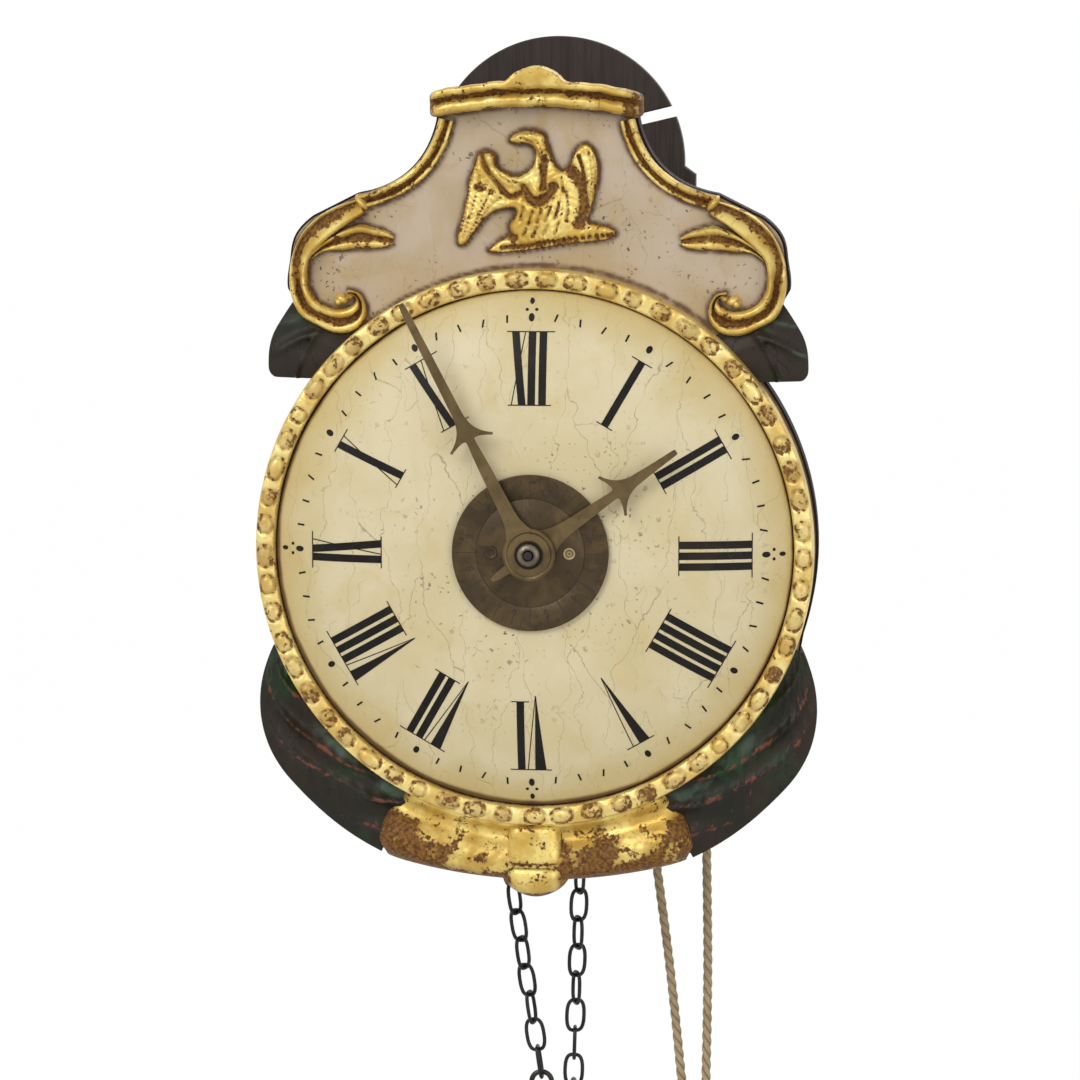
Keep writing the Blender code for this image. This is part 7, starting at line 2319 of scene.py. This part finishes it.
@dataclass
class Studio:
    """The camera, the soft lamps, the white surroundings and the pale floor."""

    aim: tuple[float, float, float] = (0.0012, -0.0979, 0.0018)
    distance: float = 1.548
    turn: float = 5.7
    tilt: float = 7.3
    lens: float = 128.9
    floor_z: float = -1.05
    ambient: float = 0.46

    def camera(self) -> None:
        """Sets the camera at the photograph's angle."""
        turn, tilt = math.radians(self.turn), math.radians(self.tilt)
        data = bpy.data.cameras.new("camera")
        data.sensor_fit = "HORIZONTAL"
        data.sensor_width = 36.0
        data.lens = self.lens
        obj = bpy.data.objects.new("camera", data)
        back = Vector((math.sin(turn) * math.cos(tilt), -math.cos(turn) * math.cos(tilt), math.sin(tilt)))
        obj.location = Vector(self.aim) + back * self.distance
        obj.rotation_euler = back.to_track_quat("Z", "Y").to_euler()
        bpy.context.scene.collection.objects.link(obj)
        bpy.context.scene.camera = obj

    def lamp(self, name: str, spot: tuple[float, float, float], size: float, power: float) -> None:
        """Hangs a soft lamp that faces the clock.

        Args:
            name: The lamp's name.
            spot: Where it hangs.
            size: Its side.
            power: Its power in watts.
        """
        data = bpy.data.lights.new(name, "AREA")
        data.energy = power
        data.size = size
        obj = bpy.data.objects.new(name, data)
        obj.location = spot
        obj.rotation_euler = (Vector(spot) - Vector(self.aim)).to_track_quat("Z", "Y").to_euler()
        bpy.context.scene.collection.objects.link(obj)

    def shown(self, graph: Graph) -> bpy.types.NodeSocket:
        """Finds where the eye, a reflection or glass meets the surroundings.

        Args:
            graph: The nodes of the world or the floor.

        Returns:
            1 for those rays and 0 for the rest.
        """
        path = graph.add("ShaderNodeLightPath")
        seen = graph.maths("MAXIMUM", path.outputs["Is Camera Ray"], path.outputs["Is Glossy Ray"])
        return graph.maths("MAXIMUM", seen, path.outputs["Is Transmission Ray"])

    def surroundings(self) -> None:
        """Makes the surroundings white to the eye and a plain soft light on the clock."""
        world = bpy.data.worlds.new("studio")
        world.use_nodes = True
        graph = Graph(world.node_tree)
        sky = next(n for n in world.node_tree.nodes if n.type == "BACKGROUND")
        sky.inputs["Color"].default_value = (1.0, 1.0, 1.0, 1.0)
        level = graph.maths("MULTIPLY", self.shown(graph), 1.0 - self.ambient)
        graph.feed(sky.inputs["Strength"], graph.maths("ADD", level, self.ambient))
        bpy.context.scene.world = world

    def floor(self) -> None:
        """Lays the pale floor, which keeps a faint shadow."""
        mesh = bpy.data.meshes.new("floor")
        reach = 30.0
        corners = [(-reach, -reach, self.floor_z), (reach, -reach, self.floor_z), (reach, reach, self.floor_z), (-reach, reach, self.floor_z)]
        mesh.from_pydata(corners, [], [(0, 1, 2, 3)])
        obj = bpy.data.objects.new("floor", mesh)
        bpy.context.scene.collection.objects.link(obj)
        graph, shader = new_finish("pale_floor")
        shader.inputs["Base Color"].default_value = (0.9, 0.9, 0.9, 1.0)
        shader.inputs["Roughness"].default_value = 0.9
        glow = graph.add("ShaderNodeEmission", {"Color": (1.0, 1.0, 1.0, 1.0), "Strength": 1.07})
        share = graph.maths("MULTIPLY", self.shown(graph), 0.88)
        mixed = graph.add("ShaderNodeMixShader", {0: share, 1: shader.outputs[0], 2: glow.outputs[0]})
        end = next(n for n in graph.tree.nodes if n.type == "OUTPUT_MATERIAL")
        graph.feed(end.inputs["Surface"], mixed.outputs[0])
        mesh.materials.append(bpy.data.materials["pale_floor"])

    def build(self) -> None:
        """Makes the camera, light and floor."""
        bpy.context.scene.view_settings.view_transform = "Standard"
        self.camera()
        self.lamp("key", (-0.95, -1.75, 1.30), 1.2, 24.0)
        self.lamp("fill", (1.30, -1.60, 0.30), 1.4, 9.0)
        self.lamp("back", (0.60, 1.40, 1.20), 1.4, 10.0)
        self.surroundings()
        self.floor()


def main() -> None:
    """Builds the clock's looks in order."""
    logging.basicConfig(level=logging.INFO, format="%(message)s")
    for part in (Studio(), Rope(), Chain(), Shield(), Dial(), Bezel(), Cornice(), Flank(), Scroll(), Leaves(),
                 Cartouche(), Eagle(), Hands(), Backboard(), Bell(), Movement()):
        part.build()
        LOG.info("built %s", type(part).__name__.lower())


if __name__ == "__main__":
    main()
